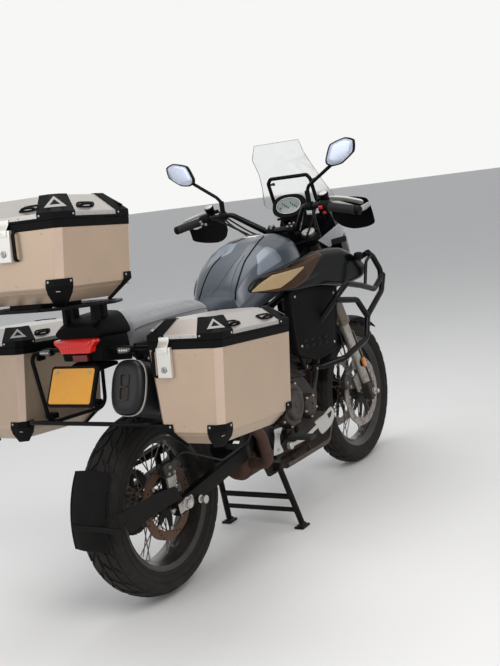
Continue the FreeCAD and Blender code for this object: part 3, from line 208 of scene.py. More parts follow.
def brick(low, high):
    """A box between two opposite corners."""
    return plate([(low[0], low[1]), (high[0], low[1]), (high[0], high[1]), (low[0], high[1])], "z", low[2],
                 high[2])


def moved(patch, change):
    """A patch whose points go through a change, such as fork or a mirror."""
    return change(patch[0]), patch[1]


def inside_out(patch):
    """A patch with its faces turned the other way."""
    return patch[0], [face[::-1] for face in patch[1]]


def flipped(patch):
    """A patch mirrored to the bike's other side, with its faces turned outward again."""
    points, faces = inside_out(patch)
    return points * MIRRORED, faces


def both(patches):
    """Patches and their mirror images."""
    return list(patches) + [flipped(patch) for patch in patches]


def spline(a, b, c, d, t):
    """The Catmull-Rom curve from b to c at t from 0 to 1, with a before them and d after them."""
    square, cube = 2 * a - 5 * b + 4 * c - d, 3 * b - a - 3 * c + d
    return 0.5 * (2 * b + (c - a) * t + square * t ** 2 + cube * t ** 3)


def smooth_rings(sections, rows):
    """Rings between given sections by a Catmull-Rom curve through each section's matching points."""
    sections = np.asarray(sections, float)
    padded = np.concatenate([2 * sections[:1] - sections[1:2], sections, 2 * sections[-1:] - sections[-2:-1]])
    place = np.linspace(0, len(sections) - 1, rows)
    step = np.minimum(place.astype(int), len(sections) - 2)
    t = (place - step)[:, None, None]
    a, b, c, d = (padded[step + k] for k in range(4))
    return spline(a, b, c, d, t)


def curve(points, count):
    """A smooth line of count places through points."""
    return smooth_rings(np.asarray(points, float)[:, None], count)[:, 0]


def round_ring(points, count, sharp=0.0):
    """A closed smooth ring through corner points; sharp from 0 to 1 pulls it toward the straight outline."""
    corners = np.asarray(points, float)
    place = np.linspace(0, len(corners), count, endpoint=False)
    step = place.astype(int)
    t = (place - step)[:, None]
    a, b, c, d = (corners[(step + k) % len(corners)] for k in (-1, 0, 1, 2))
    return (1 - sharp) * spline(a, b, c, d, t) + sharp * (b + (c - b) * t)


def piece(name, body, finish, patches, bevel=0.0, replaces=(), crease_angle=35, slot=None):
    """One object from patches in bike millimetres on a body; the given slot or its finish's own is looked up
    but not set.
    """
    points, faces, base = [], [], 0
    for patch_points, patch_faces in patches:
        points.append(bike(patch_points))
        faces += [[index + base for index in face] for face in patch_faces]
        base += len(patch_points)
    mesh = bpy.data.meshes.new(name)
    mesh.from_pydata(np.concatenate(points).tolist(), [], faces)
    mesh.validate()
    mesh.update()
    thing = bpy.data.objects.new(name, mesh)
    bpy.context.scene.collection.objects.link(thing)
    mesh.materials.append(finish)
    mesh.polygons.foreach_set("use_smooth", np.ones(len(mesh.polygons), bool))
    mesh.set_sharp_from_angle(angle=math.radians(crease_angle))
    if bevel:
        edge = thing.modifiers.new("eased edges", "BEVEL")
        edge.width = bevel / 1000
        edge.segments = 2
        edge.limit_method = "ANGLE"
        edge.angle_limit = math.radians(32)
        edge.use_clamp_overlap = True
        edge.harden_normals = False
    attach(thing, body)
    if replaces:
        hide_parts(*replaces)
    slot or SLOT_OF[finish.name]
    return thing


# Finishes. A Channel is a shader socket that takes part in Python arithmetic.

class Channel:
    """A varying number in a tree's nodes."""

    def __init__(self, tree, socket):
        self.tree = tree
        self.socket = socket

    def maths(self, operation, *inputs):
        """One maths node over numbers or Channels."""
        return self.tree.node("ShaderNodeMath", {"operation": operation}, dict(enumerate(inputs)))

    def __add__(self, other):
        return self.maths("ADD", self, other)

    def __mul__(self, other):
        return self.maths("MULTIPLY", self, other)

    def __truediv__(self, other):
        return self.maths("DIVIDE", self, other)

    def __rsub__(self, other):
        return self.maths("SUBTRACT", other, self)

    def power(self, exponent):
        """This number raised to an exponent."""
        return self.maths("POWER", self, exponent)

    def larger(self, other):
        """The larger of two numbers."""
        return self.maths("MAXIMUM", self, other)

    def ramp(self, stops):
        """This number through a ramp of (place, grey level) stops."""
        return self.tree.node("ShaderNodeValToRGB", {"stops": stops}, {0: self})

    def above(self, level, softness=0.1):
        """0 below the level and 1 above it, with a soft step."""
        return self.ramp([(level - softness / 2, 0.0), (level + softness / 2, 1.0)])


class Tree:
    """Makes the nodes of one shader tree."""

    def __init__(self, tree):
        self.tree = tree
        tree.nodes.clear()

    def node(self, kind, settings=None, inputs=None, output=0):
        """A node: its settings first, then values or Channels on its inputs; gives one output."""
        made = self.tree.nodes.new(kind)
        for key, setting in (settings or {}).items():
            if key == "stops":
                fill_ramp(made.color_ramp, setting)
            else:
                setattr(made, key, setting)
        for key, given in (inputs or {}).items():
            if isinstance(given, Channel):
                self.tree.links.new(given.socket, made.inputs[key])
            else:
                made.inputs[key].default_value = given
        return Channel(self, made.outputs[output]) if made.outputs else None


def fill_ramp(ramp, stops):
    """Sets a colour ramp's (place, grey level) stops."""
    for element, (place, level) in zip(ramp.elements, stops):
        element.position = min(max(place, 0.0), 1.0)
        element.color = (level, level, level, 1)


class Finish(Tree):
    """A node material, built from Object coordinates."""

    def __init__(self, name):
        self.material = bpy.data.materials.new(name)
        self.material.use_nodes = True
        self.places = {}
        super().__init__(self.material.node_tree)

    def place(self, scale=(1, 1, 1)):
        """Object coordinates, scaled for a pattern."""
        if scale not in self.places:
            here = self.node("ShaderNodeTexCoord", output="Object")
            self.places[scale] = self.node("ShaderNodeMapping", {}, {"Vector": here, "Scale": scale})
        return self.places[scale]

    def noise(self, size, detail=3.0, roughness=0.5, stretch=(1, 1, 1)):
        """Noise from 0 to 1 whose blobs are about size metres across, stretched along the axes."""
        scale = tuple(1 / (size * each) for each in stretch)
        return self.node("ShaderNodeTexNoise", {},
                         {"Vector": self.place(scale), "Scale": 1.0, "Detail": detail,
                          "Roughness": roughness})

    def cells(self, size):
        """Distance to the nearest of many scattered places, for pebbled grain."""
        return self.node("ShaderNodeTexVoronoi", {"feature": "F1"},
                         {"Vector": self.place(), "Scale": 1 / size}, output="Distance")

    def waves(self, axis, scale):
        """Bands from 0 to 1 across an axis."""
        return self.node("ShaderNodeTexWave", {"bands_direction": axis},
                         {"Vector": self.place(), "Scale": scale})

    def height(self):
        """Height above the floor in metres."""
        here = self.node("ShaderNodeTexCoord", output="Object")
        return self.node("ShaderNodeSeparateXYZ", {}, {0: here}, output="Z")

    def blend(self, mask, under, over):
        """One colour under another, by a mask."""
        inputs = {0: mask}
        for key, colour in ((6, under), (7, over)):
            inputs[key] = colour if isinstance(colour, Channel) else (*colour, 1)
        return self.node("ShaderNodeMix", {"data_type": "RGBA"}, inputs, output=2)

    def shades(self, mask, colour, dark, bright):
        """A colour between a darker and a brighter share of itself, by a mask."""
        return self.blend(mask, [c * dark for c in colour], [c * bright for c in colour])

    def bump(self, channel, strength, distance):
        """Small relief from a varying height."""
        return self.node("ShaderNodeBump", {},
                         {"Strength": strength, "Distance": distance, "Height": channel}, output="Normal")

    def surface(self, colour, roughness=0.5, metallic=0.0, normal=None, **constants):
        """The shader; names in constants have underscores for spaces."""
        inputs = {"Base Color": colour, "Roughness": roughness, "Metallic": metallic}
        if normal is not None:
            inputs["Normal"] = normal
        for key, given in constants.items():
            inputs[key.replace("_", " ")] = given
        shader = self.node("ShaderNodeBsdfPrincipled", {}, inputs)
        self.node("ShaderNodeOutputMaterial", {}, {"Surface": shader})
        return self.material


def dusted(finish, colour, amount, dust=(0.32, 0.24, 0.16), top=0.75):
    """A colour with road dust that thins out with height, from the floor to the top in metres."""
    patches = finish.noise(0.05, 5.0, 0.65)
    low = (finish.height() / top).ramp([(0.0, 1.0), (1.0, 0.0)])
    return finish.blend(patches.power(1.6) * low * amount, colour, dust)


def brushed_sheet(name, colour, roughness=0.36, metallic=0.75, along=(14, 1, 1)):
    """Sheet metal brushed along one axis, with faint smudges."""
    finish = Finish(name)
    lines = finish.noise(0.0016, 3.0, 0.6, stretch=along)
    smudge = finish.noise(0.09, 4.0, 0.55)
    shade = finish.blend(lines * 0.35 + smudge * 0.5, [c * 0.86 for c in colour],
                         [min(c * 1.12, 1) for c in colour])
    return finish.surface(shade, smudge * 0.16 + lines * 0.1 + (roughness - 0.12), metallic,
                          finish.bump(lines, 0.12, 0.0004))


def coated(name, colour, roughness=0.42, dust=0.35, grain=0.0009, metallic=0.0, coat=0.0, specular=0.3):
    """Powder coat or moulded plastic: fine grain, soft mottling and road dust lower down."""
    finish = Finish(name)
    fine = finish.noise(grain, 2.0, 0.5)
    mottle = finish.noise(0.06, 4.0, 0.6)
    shade = dusted(finish, finish.shades(mottle, colour, 0.8, 1.2), dust)
    return finish.surface(shade, mottle * 0.2 + (roughness - 0.1), metallic,
                          finish.bump(fine, 0.25, grain * 0.35), Coat_Weight=coat, Coat_Roughness=0.15,
                          Specular_IOR_Level=specular)


def tyre_rubber():
    """Rubber: fine skin, two tones and dust in patches."""
    finish = Finish("tyre rubber")
    skin = finish.noise(0.002, 3.0, 0.6)
    patch = finish.noise(0.045, 5.0, 0.7)
    shade = finish.blend(patch.above(0.52, 0.3), (0.007, 0.007, 0.007), (0.015, 0.014, 0.013))
    shade = dusted(finish, shade, 0.2, (0.16, 0.12, 0.09), 0.8)
    return finish.surface(shade, patch * 0.15 + 0.72, 0.0, finish.bump(skin, 0.3, 0.0008),
                          Specular_IOR_Level=0.2)


def rusted(name, metal, rust, amount, roughness=0.45, metallic=0.8):
    """Bare metal with rust that spreads in patches and speckles."""
    finish = Finish(name)
    broad = finish.noise(0.035, 5.0, 0.7)
    speck = finish.noise(0.004, 4.0, 0.7)
    mask = (broad * 0.65 + speck * 0.45).above(1 - amount, 0.25)
    shade = finish.blend(mask, finish.blend(speck, [c * 0.75 for c in metal], metal),
                         finish.blend(speck, [c * 0.55 for c in rust], rust))
    return finish.surface(shade, mask * 0.35 + roughness, metallic - mask * metallic * 0.8,
                          finish.bump(speck * mask + broad * 0.2, 0.3, 0.0006))


def lacquered(name, colour, roughness=0.32, flake=0.12, coat=0.35, metallic=0.25, specular=0.4):
    """Metallic body paint under clear lacquer, with fine flake and a little dust film."""
    finish = Finish(name)
    sparkle = finish.noise(0.0007, 1.0, 0.5)
    film = finish.noise(0.12, 4.0, 0.6)
    shade = finish.blend(sparkle * flake + film * 0.35, [c * 0.88 for c in colour],
                         [c * 1.3 + 0.01 for c in colour])
    return finish.surface(shade, film * 0.12 + (roughness - 0.06), metallic, None, Coat_Weight=coat,
                          Coat_Roughness=0.2, Specular_IOR_Level=specular)


def grained_cover(name, colour, sheen=0.25):
    """Seat cover: pebbled grain from cells, soft dusty mottling."""
    finish = Finish(name)
    pebble = finish.cells(0.0022)
    mottle = finish.noise(0.05, 4.0, 0.6)
    shade = finish.blend(mottle * 0.7 + pebble * 0.3, [c * 0.82 for c in colour],
                         [c * 1.18 + 0.006 for c in colour])
    return finish.surface(shade, mottle * 0.12 + 0.52, 0.0, finish.bump(pebble, 0.28, 0.0006),
                          Sheen_Weight=sheen)


def lens(name, colour, roughness=0.12, ribs=0.006, transmission=0.0, glow=0.0):
    """A moulded lens with fine vertical ribs inside."""
    finish = Finish(name)
    wave = finish.waves("Y", 0.16 / ribs)
    shade = finish.shades(wave, colour, 0.72, 1)
    return finish.surface(shade, wave * 0.1 + roughness, 0.0, finish.bump(wave, 0.35, 0.0008),
                          Transmission_Weight=transmission, Coat_Weight=0.6, Emission_Strength=glow,
                          Emission_Color=(*colour, 1))


def filmed(name, noise, low, high, ripple, roughness, metallic=0.0, **constants):
    """A smooth surface under a thin cloudy film that shifts its colour and its gloss."""
    finish = Finish(name)
    film = finish.noise(*noise)
    shade = finish.blend(film, low, high)
    return finish.surface(shade, film * ripple + roughness, metallic, None, **constants)


def frosted_screen():
    """Clear acrylic that has gone milky, half see-through."""
    finish = Finish("milky acrylic")
    film = finish.noise(0.03, 5.0, 0.7)
    shade = finish.blend(film, (0.62, 0.64, 0.66), (0.50, 0.52, 0.54))
    return finish.surface(shade, film * 0.1 + 0.12, 0.0, None, Alpha=film * 0.3 + 0.35)


def radiator_fins():
    """Fine fins between dark tubes, as waves across the core."""
    finish = Finish("radiator fins")
    fins = finish.waves("Y", 90.0)
    rows = finish.waves("Z", 22.0)
    shade = finish.blend(fins * rows, (0.012, 0.012, 0.012), (0.09, 0.09, 0.09))
    return finish.surface(shade, fins * 0.2 + 0.4, 0.3, finish.bump(fins + rows, 0.5, 0.001))


CASE_SHEET = brushed_sheet("brushed case sheet", (0.48, 0.36, 0.265), 0.40, 0.42)
CASE_LID_SHEET = brushed_sheet("brushed lid sheet", (0.46, 0.435, 0.41), 0.34, 0.6)
# A lighter copy of the case sheet: painted highlight, laid on the bevelled corners and along the foot fold
# where the sheet catches light.
CORNER_HIGHLIGHT_SHEET = brushed_sheet("corner strip with painted highlight", (0.58, 0.44, 0.35), 0.38, 0.5, (1, 1, 16))
LATCH_METAL = brushed_sheet("latch aluminium", (0.66, 0.64, 0.60), 0.4, 0.7, (1, 1, 8))
RIVET_METAL = brushed_sheet("rivet steel", (0.42, 0.40, 0.38), 0.35, 0.9, (1, 1, 1))
BLACK_PLASTIC = coated("black moulded plastic", (0.0042, 0.0042, 0.0046), 0.55, 0.05, 0.0012, 0.0, 0.0, 0.06)
BLACK_COAT = coated("black powder coat", (0.0042, 0.0042, 0.0046), 0.40, 0.06, 0.0009, 0.0, 0.0, 0.08)
FRAME_COAT = coated("frame coat", (0.007, 0.007, 0.0075), 0.40, 0.12, 0.0009, 0.0, 0.0, 0.16)
MUFFLER_COAT = coated("muffler coat", (0.009, 0.0095, 0.011), 0.42, 0.1, 0.0007, 0.0, 0.0, 0.25)
GREY_INSET = coated("grey inset", (0.30, 0.29, 0.28), 0.45, 0.0)
RIM_COAT = coated("rim coat", (0.008, 0.008, 0.009), 0.3, 0.16, 0.0008, 0.0, 0.15, 0.3)
TYRE = tyre_rubber()
GRIP_RUBBER = coated("grip rubber", (0.018, 0.018, 0.018), 0.7, 0.05, 0.0018)
HOSE_RUBBER = coated("hose rubber", (0.016, 0.016, 0.016), 0.55, 0.1, 0.0012)
SPOKE_STEEL = rusted("spoke steel", (0.17, 0.165, 0.16), (0.16, 0.09, 0.05), 0.42, 0.4, 0.8)
DISC_STEEL = rusted("brake disc steel", (0.42, 0.41, 0.40), (0.22, 0.12, 0.06), 0.40, 0.32, 0.9)
REAR_DISC_STEEL = rusted("dusty rear disc steel", (0.17, 0.12, 0.09), (0.12, 0.06, 0.034), 0.6, 0.42, 0.6)
BARE_STEEL = rusted("bare steel", (0.50, 0.48, 0.45), (0.24, 0.14, 0.08), 0.36, 0.35, 0.85)
CAST_SILVER = rusted("silver castings", (0.60, 0.59, 0.57), (0.30, 0.25, 0.20), 0.30, 0.4, 0.7)
SKID_SHEET = rusted("worn skid sheet", (0.10, 0.095, 0.09), (0.09, 0.06, 0.04), 0.5, 0.45, 0.6)
# Kept far darker than bare steel: painted shade for the sprocket and chain, which sit in deep shadow under
# the bike. The muffler lips and exhaust clamps share this darkened steel.
SHADE_DARKENED_CHAIN_STEEL = rusted("chain steel darkened as painted shade", (0.06, 0.053, 0.048), (0.055, 0.032, 0.02), 0.5, 0.5, 0.6)
HOT_PIPE = rusted("heat-browned pipe", (0.085, 0.055, 0.040), (0.075, 0.032, 0.018), 0.62, 0.45, 0.5)
CASTING = coated("dark engine casting", (0.016, 0.015, 0.015), 0.5, 0.3, 0.002, 0.2, 0.0, 0.2)
COVER_CASTING = coated("engine cover casting", (0.030, 0.026, 0.024), 0.42, 0.3, 0.0015, 0.3, 0.0, 0.25)
TANK_PAINT = lacquered("blue-grey lacquer", (0.046, 0.057, 0.074), 0.32, 0.12, 0.25)
KNEE_PAINT = lacquered("dark knee panel paint", (0.050, 0.058, 0.072), 0.42, 0.08, 0.15, 0.15)
PANEL_PAINT = lacquered("brown side panel gloss", (0.050, 0.022, 0.008), 0.22, 0.1, 0.1, 0.3, 0.12)
SAND_PAINT = lacquered("sand side flash", (0.40, 0.285, 0.15), 0.3, 0.1, 0.3, 0.2)
RIDER_COVER = grained_cover("rider seat cover", (0.040, 0.041, 0.043))
PILLION_COVER = grained_cover("pillion seat cover", (0.19, 0.195, 0.205), 0.35)
SEAM_THREAD = coated("seam thread", (0.09, 0.09, 0.092), 0.6, 0.0)
RED_LENS = lens("red lamp lens", (0.62, 0.015, 0.012), 0.14, 0.006, 0.0, 0.22)
DARK_RED = lens("red reflector", (0.20, 0.012, 0.010), 0.2, 0.003)
AMBER_LENS = lens("amber lens", (0.62, 0.20, 0.02), 0.2, 0.004)
SMOKED_LENS = lens("smoked indicator lens", (0.10, 0.095, 0.09), 0.12, 0.004)
DIODE = lens("indicator diodes", (0.75, 0.74, 0.66), 0.15, 0.003)
HEADLAMP_LENS = lens("headlamp glass", (0.66, 0.70, 0.72), 0.06, 0.02)
SCREEN = filmed("clear acrylic", (0.03, 5.0, 0.7), (0.93, 0.95, 0.96), (0.86, 0.87, 0.86), 0.05, 0.02,
                Transmission_Weight=1.0, IOR=1.25)
MIRROR_GLASS = filmed("mirror glass", (0.02, 3.0, 0.6), (0.54, 0.59, 0.72), (0.60, 0.65, 0.78), 0.05, 0.16,
                      0.4)
DISPLAY = filmed("display glass", (0.03, 2.0, 0.5), (0.10, 0.13, 0.12), (0.24, 0.28, 0.26), 0.08, 0.12,
                 Coat_Weight=1.0, Coat_Roughness=0.03)
PLATE_ENAMEL = filmed("yellow plate enamel", (0.02, 4.0, 0.6), (0.60, 0.25, 0.007), (0.68, 0.31, 0.014),
                      0.15, 0.38)
FINS = radiator_fins()
RED_SWITCH = coated("red switch plastic", (0.50, 0.012, 0.014), 0.35, 0.0)
WHITE_LINE = coated("pale tank line", (0.32, 0.33, 0.34), 0.35, 0.0)
BOLT_STEEL = brushed_sheet("bolt steel", (0.34, 0.33, 0.32), 0.35, 0.9, (1, 1, 1))
GLOSS_BLACK = coated("gloss black plastic", (0.0035, 0.0038, 0.0045), 0.16, 0.03, 0.0006, 0.0, 0.06, 0.10)
SCREEN_EDGE = coated("polished screen edge", (0.50, 0.51, 0.50), 0.2, 0.0)
BAR_COAT = coated("satin black tube coat", (0.004, 0.004, 0.0045), 0.27, 0.05, 0.0009, 0.0, 0.05, 0.12)
FORK_TUBE = brushed_sheet("anodised fork tube", (0.17, 0.145, 0.12), 0.34, 0.85, (1, 1, 6))
GUARD_SAND = coated("dusty fork guard", (0.30, 0.25, 0.19), 0.5, 0.2)
CALIPER_BLACK = coated("caliper coat", (0.026, 0.026, 0.027), 0.4, 0.35, 0.0012, 0.3)
LEVER_SILVER = brushed_sheet("lever aluminium", (0.52, 0.51, 0.49), 0.34, 0.7, (1, 6, 1))
SHOULDER_PAINT = lacquered("pale shoulder lacquer", (0.15, 0.175, 0.21), 0.34, 0.1, 0.3, 0.3)
FROSTED_SCREEN = frosted_screen()
FINISHES_OF_SLOT = {"muffler_black": (MUFFLER_COAT,),
                    "silver_metal": (LATCH_METAL, RIVET_METAL, SPOKE_STEEL, DISC_STEEL, REAR_DISC_STEEL,
            BARE_STEEL, CAST_SILVER, SKID_SHEET, BOLT_STEEL, LEVER_SILVER),
                    "rusty_pipe": (SHADE_DARKENED_CHAIN_STEEL, HOT_PIPE),
                    "black_metal": (BLACK_COAT, RIM_COAT, FINS, BAR_COAT, FORK_TUBE),
                    "black_plastic": (BLACK_PLASTIC, HOSE_RUBBER, GUARD_SAND, CALIPER_BLACK),
                    "lamp_red": (RED_LENS, DARK_RED), "lamp_amber": (AMBER_LENS, SMOKED_LENS),
                    "lamp_clear": (DIODE, HEADLAMP_LENS), "plate_yellow": (PLATE_ENAMEL, WHITE_LINE),
                    "blue_grey": (TANK_PAINT, KNEE_PAINT, SHOULDER_PAINT),
                    "rider_cover": (RIDER_COVER, SEAM_THREAD),
                    "tan_brown": (PANEL_PAINT, SAND_PAINT, GLOSS_BLACK),
                    "screen": (SCREEN, SCREEN_EDGE, FROSTED_SCREEN), "display": (DISPLAY,),
                    "engine_metal": (CASTING, COVER_CASTING),
                    "grip_rubber": (GREY_INSET, GRIP_RUBBER, RED_SWITCH), "mirror": (MIRROR_GLASS,),
                    "frame_paint": (FRAME_COAT,), "case_metal": (CASE_SHEET, CASE_LID_SHEET, CORNER_HIGHLIGHT_SHEET),
                    "tyre": (TYRE,), "pillion_cover": (PILLION_COVER,),}
SLOT_OF = {finish.name: slot for slot, finishes in FINISHES_OF_SLOT.items() for finish in finishes}


# Luggage cases. Each case has its own frame: x along its length, y outward, z up from the seam.

CASES = {"top": dict(origin=(-325, 0, 1332), out=1, length=330, width=472, depth=190, foot=45,
                     lean=(18, 18), lid=72, slope=50, shell="top_case_shell", cover="top_case_lid",
                     hinge="top_lid"),
         "left": dict(origin=(-25, 399, 919), out=1, length=418, width=274, depth=274, foot=42,
                      lean=(20, 28), lid=62, slope=44, shell="pannier_shell_left", cover="pannier_lid_left",
                      hinge="left_lid"),
         "right": dict(origin=(-25, -399, 919), out=-1, length=418, width=274, depth=274, foot=42,
                       lean=(20, 28), lid=62, slope=44, shell="pannier_shell_right",
                       cover="pannier_lid_right", hinge="right_lid"),}
WALL = 3.0
SEAM = 0.5
RIM_HEIGHT = 20.0
CORNER = 19.0
CAP_REACH = 56.0
CAP_PROUD = 2.6
FOLD_SLANT = 1.36
GUARD_REACH, GUARD_TALL = 32.0, 24.0
TOE_REACH = 1.16


def case_patch(patch, case):
    """A patch from a case's own frame into the bike frame; the right pannier mirrors the left."""
    points, faces = flipped(patch) if case["out"] < 0 else patch
    return from_frame(case["origin"], CASE_PITCH)(points), faces


def case_piece(name, case, body, finish, patches, **more):
    """A piece whose patches are given in a case's own frame."""
    return piece(name, body, finish, [case_patch(patch, case) for patch in patches], **more)


def octagon(x_low, x_high, y_low, y_high, c, z):
    """A level rectangle whose corners are cut by the width c, anticlockwise from the rear outer side."""
    outline = [(x_low, y_low + c), (x_low + c, y_low), (x_high - c, y_low), (x_high, y_low + c),
               (x_high, y_high - c), (x_high - c, y_high), (x_low + c, y_high), (x_low, y_high - c)]
    return [(x, y, z) for x, y in outline]


def shell_ring(case, z, inset=0.0):
    """The case's outline at a height below the seam: sides lean in with depth, and the foot tapers."""
    deep = min(-z, case["depth"])
    under = max(-z - case["depth"], 0)
    half = case["length"] / 2 - inset - under
    outer = case["width"] / 2 - inset - case["lean"][0] * deep / case["depth"] - under
    inner = case["width"] / 2 - inset - case["lean"][1] * deep / case["depth"] - under
    return octagon(-half, half, -inner, outer, CORNER, z)


def lid_ring(case, z, inset=0.0):
    """The lid's outline at a height above the seam: upright to the rim, then hipped at its slope."""
    rise = max(z - RIM_HEIGHT, 0) / (case["lid"] - RIM_HEIGHT) * case["slope"]
    half, wide = case["length"] / 2 - inset - rise, case["width"] / 2 - inset - rise
    return octagon(-half, half, -wide, wide, CORNER, z)


def dome(spot, normal, radius, height, sides=10):
    """A rivet head: a low round cap standing on a face along its normal."""
    profile = [(0, radius), (height * 0.6, radius * 0.82), (height, radius * 0.35)]
    return turned(profile, spot, normal, sides)


def strip_between(ring_low, ring_high, i, j, proud):
    """A thin panel over the side between two matching corners of two rings, standing proud of it."""
    low_i, low_j, high_j, high_i = (np.array(ring[k]) for ring, k in
                                    ((ring_low, i), (ring_low, j), (ring_high, j), (ring_high, i)))
    normal = np.cross(low_j - low_i, high_i - low_i)
    normal = unit(normal)
    face = np.array([low_i, low_j, high_j, high_i])
    return grid([face + normal * proud, face - normal * 0.5][::-1])


def face_frame(ring_low, ring_high, i, j):
    """A side's corner, its two edges and outward normal, to place fittings by shares of its size."""
    low_i, low_j, high_i = np.array(ring_low[i]), np.array(ring_low[j]), np.array(ring_high[i])
    across, rise = low_j - low_i, high_i - low_i
    normal = np.cross(across, rise)
    return low_i, across, rise, unit(normal)


def rivet_row(ring_low, ring_high, i, j, shares, height, radius=2.6):
    """Rivets on one side at shares of its width, all at one share of its height."""
    corner, across, rise, normal = face_frame(ring_low, ring_high, i, j)
    return [dome(corner + across * share + rise * height + normal * 0.2, normal, radius, 1.8)
            for share in shares]


def on_face(ring_low, ring_high, i, j, outline, back, front):
    """A flat outline in millimetres on a side, from its low left corner, standing from back to front."""
    corner, across, rise, normal = face_frame(ring_low, ring_high, i, j)
    across = unit(across)
    rise = unit(rise)
    outline = np.asarray(outline, float)
    flat = corner + outline[:, :1] * across + outline[:, 1:] * rise
    return grid([flat + normal * back, flat + normal * front])


SIDES_OF_CASE = ((1, 2), (3, 4), (5, 6), (7, 0))
CORNERS_OF_CASE = ((0, 1), (2, 3), (4, 5), (6, 7))
MARK_CORNERS = ((-0.98, -0.72), (0.98, -0.72), (0, 0.98))


def case_body(label, case):
    """The shell: sheet sides with bevelled corners, a bevelled foot and a hollow inside."""
    depth, foot = case["depth"], case["depth"] + case["foot"]
    inside = [shell_ring(case, -z, WALL) for z in (foot - WALL, depth, 2)]
    inside = [[(x, y, max(z, -foot + WALL)) for x, y, z in ring] for ring in inside]
    outside = [shell_ring(case, -z) for z in (SEAM, depth, foot)]
    case_piece(f"{label}_case_sheet", case, "root", CASE_SHEET, [grid(inside + outside)], bevel=1.6,
               replaces=[case["shell"]], crease_angle=25)
    top, low, base = (shell_ring(case, -z) for z in (24, depth, foot))
    # Each bevelled corner is covered in the lighter sheet: painted highlight where the corners catch light.
    strips = [strip_between(low, top, i, j, 0.7) for i, j in CORNERS_OF_CASE]
    strips += [strip_between(base, low, i, j, 0.7) for i, j in CORNERS_OF_CASE]
    case_piece(f"{label}_corner_highlight_strips", case, "root", CORNER_HIGHLIGHT_SHEET, strips, crease_angle=25)
    seam_low, seam_high = shell_ring(case, -24, -1.2), shell_ring(case, -SEAM - 0.3, -1.2)
    case_piece(f"{label}_seam_band", case, "root", BLACK_PLASTIC,
               [grid([shell_ring(case, -2, 4), shell_ring(case, -24, 1), seam_low, seam_high,
                      shell_ring(case, -SEAM - 0.3, 4)], ends=False)], bevel=0.6)
    rivets = []
    for i, j in SIDES_OF_CASE:
        rivets += rivet_row(low, top, i, j, (0.04, 0.35, 0.66, 0.96), 0.93)
        rivets += rivet_row(low, top, i, j, (0.1, 0.36, 0.63, 0.9), 0.07)
    case_piece(f"{label}_case_rivets", case, "root", RIVET_METAL, rivets)
    # A narrow strip of the lighter sheet just under the foot fold: painted highlight along the fold edge.
    lap = []
    fold = case["foot"] * FOLD_SLANT
    for i, j in SIDES_OF_CASE:
        width = float(np.linalg.norm(np.subtract(low[j], low[i])))
        strip = [(4, fold - 5), (width - 4, fold - 5), (width - 4, fold - 1), (4, fold - 1)]
        lap.append(on_face(base, low, i, j, strip, 0.1, 0.9))
    case_piece(f"{label}_foot_fold_highlight", case, "root", CORNER_HIGHLIGHT_SHEET, lap)


def shield(label, case, corners):
    """Black corner protectors at the foot: a shield wrapped round the bevelled corner with two bolts."""
    low, top, base = (shell_ring(case, -z) for z in (case["depth"], 24, case["depth"] + case["foot"]))
    patches, bolts = [], []
    for i, j in corners:
        before, after = (i - 1) % 8, (j + 1) % 8
        side_a = face_frame(low, top, before, i)
        middle = face_frame(low, top, i, j)
        side_b = face_frame(low, top, j, after)
        a = np.array(low[i]) - unit(side_a[1]) * GUARD_REACH
        b = np.array(low[j]) + unit(side_b[1]) * GUARD_REACH
        rise = unit(middle[2])
        edge = [(a, side_a[3]), (np.array(low[i]), side_a[3] + middle[3]),
                (np.array(low[j]), middle[3] + side_b[3]), (b, side_b[3])]
        edge = [(point, unit(normal)) for point, normal in edge]
        upper = [point + rise * GUARD_TALL for point, normal in edge]
        waist = [point + rise * 3 for point, normal in edge]
        foot_a, foot_b = np.array(base[i]), np.array(base[j])
        toe = [a + (foot_a - a) * 0.3, np.array(low[i]) + (foot_a - np.array(low[i])) * TOE_REACH,
               np.array(low[j]) + (foot_b - np.array(low[j])) * TOE_REACH, b + (foot_b - b) * 0.3]
        rows = []
        for row, lift, drop in ((upper, 3.4, 0.0), (waist, 5.0, 0.0), (toe, 8.0, 5.0)):
            rows.append([point + normal * lift - np.array([0, 0, drop])
                         for point, (spot, normal) in zip(row, edge)])
        inner = [[point + normal * 0.3 for point, (spot, normal) in zip(row, edge)]
                 for row in (upper, waist, toe)]
        rings = np.array(rows + inner[::-1])
        patches.append(grid(np.concatenate([rings, rings[:1]]).transpose(1, 0, 2)[:, :-1][:, ::-1]))
        for (point, normal), share in ((edge[0], 0.28), (edge[3], -0.28)):
            toward = edge[1][0] - edge[0][0] if share > 0 else edge[3][0] - edge[2][0]
            spot = point + toward * share + rise * (GUARD_TALL - 8) + normal * 3.2
            bolts.append(dome(spot, normal, 4.2, 2.6, 12))
    case_piece(f"{label}_corner_guards", case, "root", BLACK_PLASTIC, patches, bevel=0.8)
    case_piece(f"{label}_guard_bolts", case, "root", BOLT_STEEL, bolts)


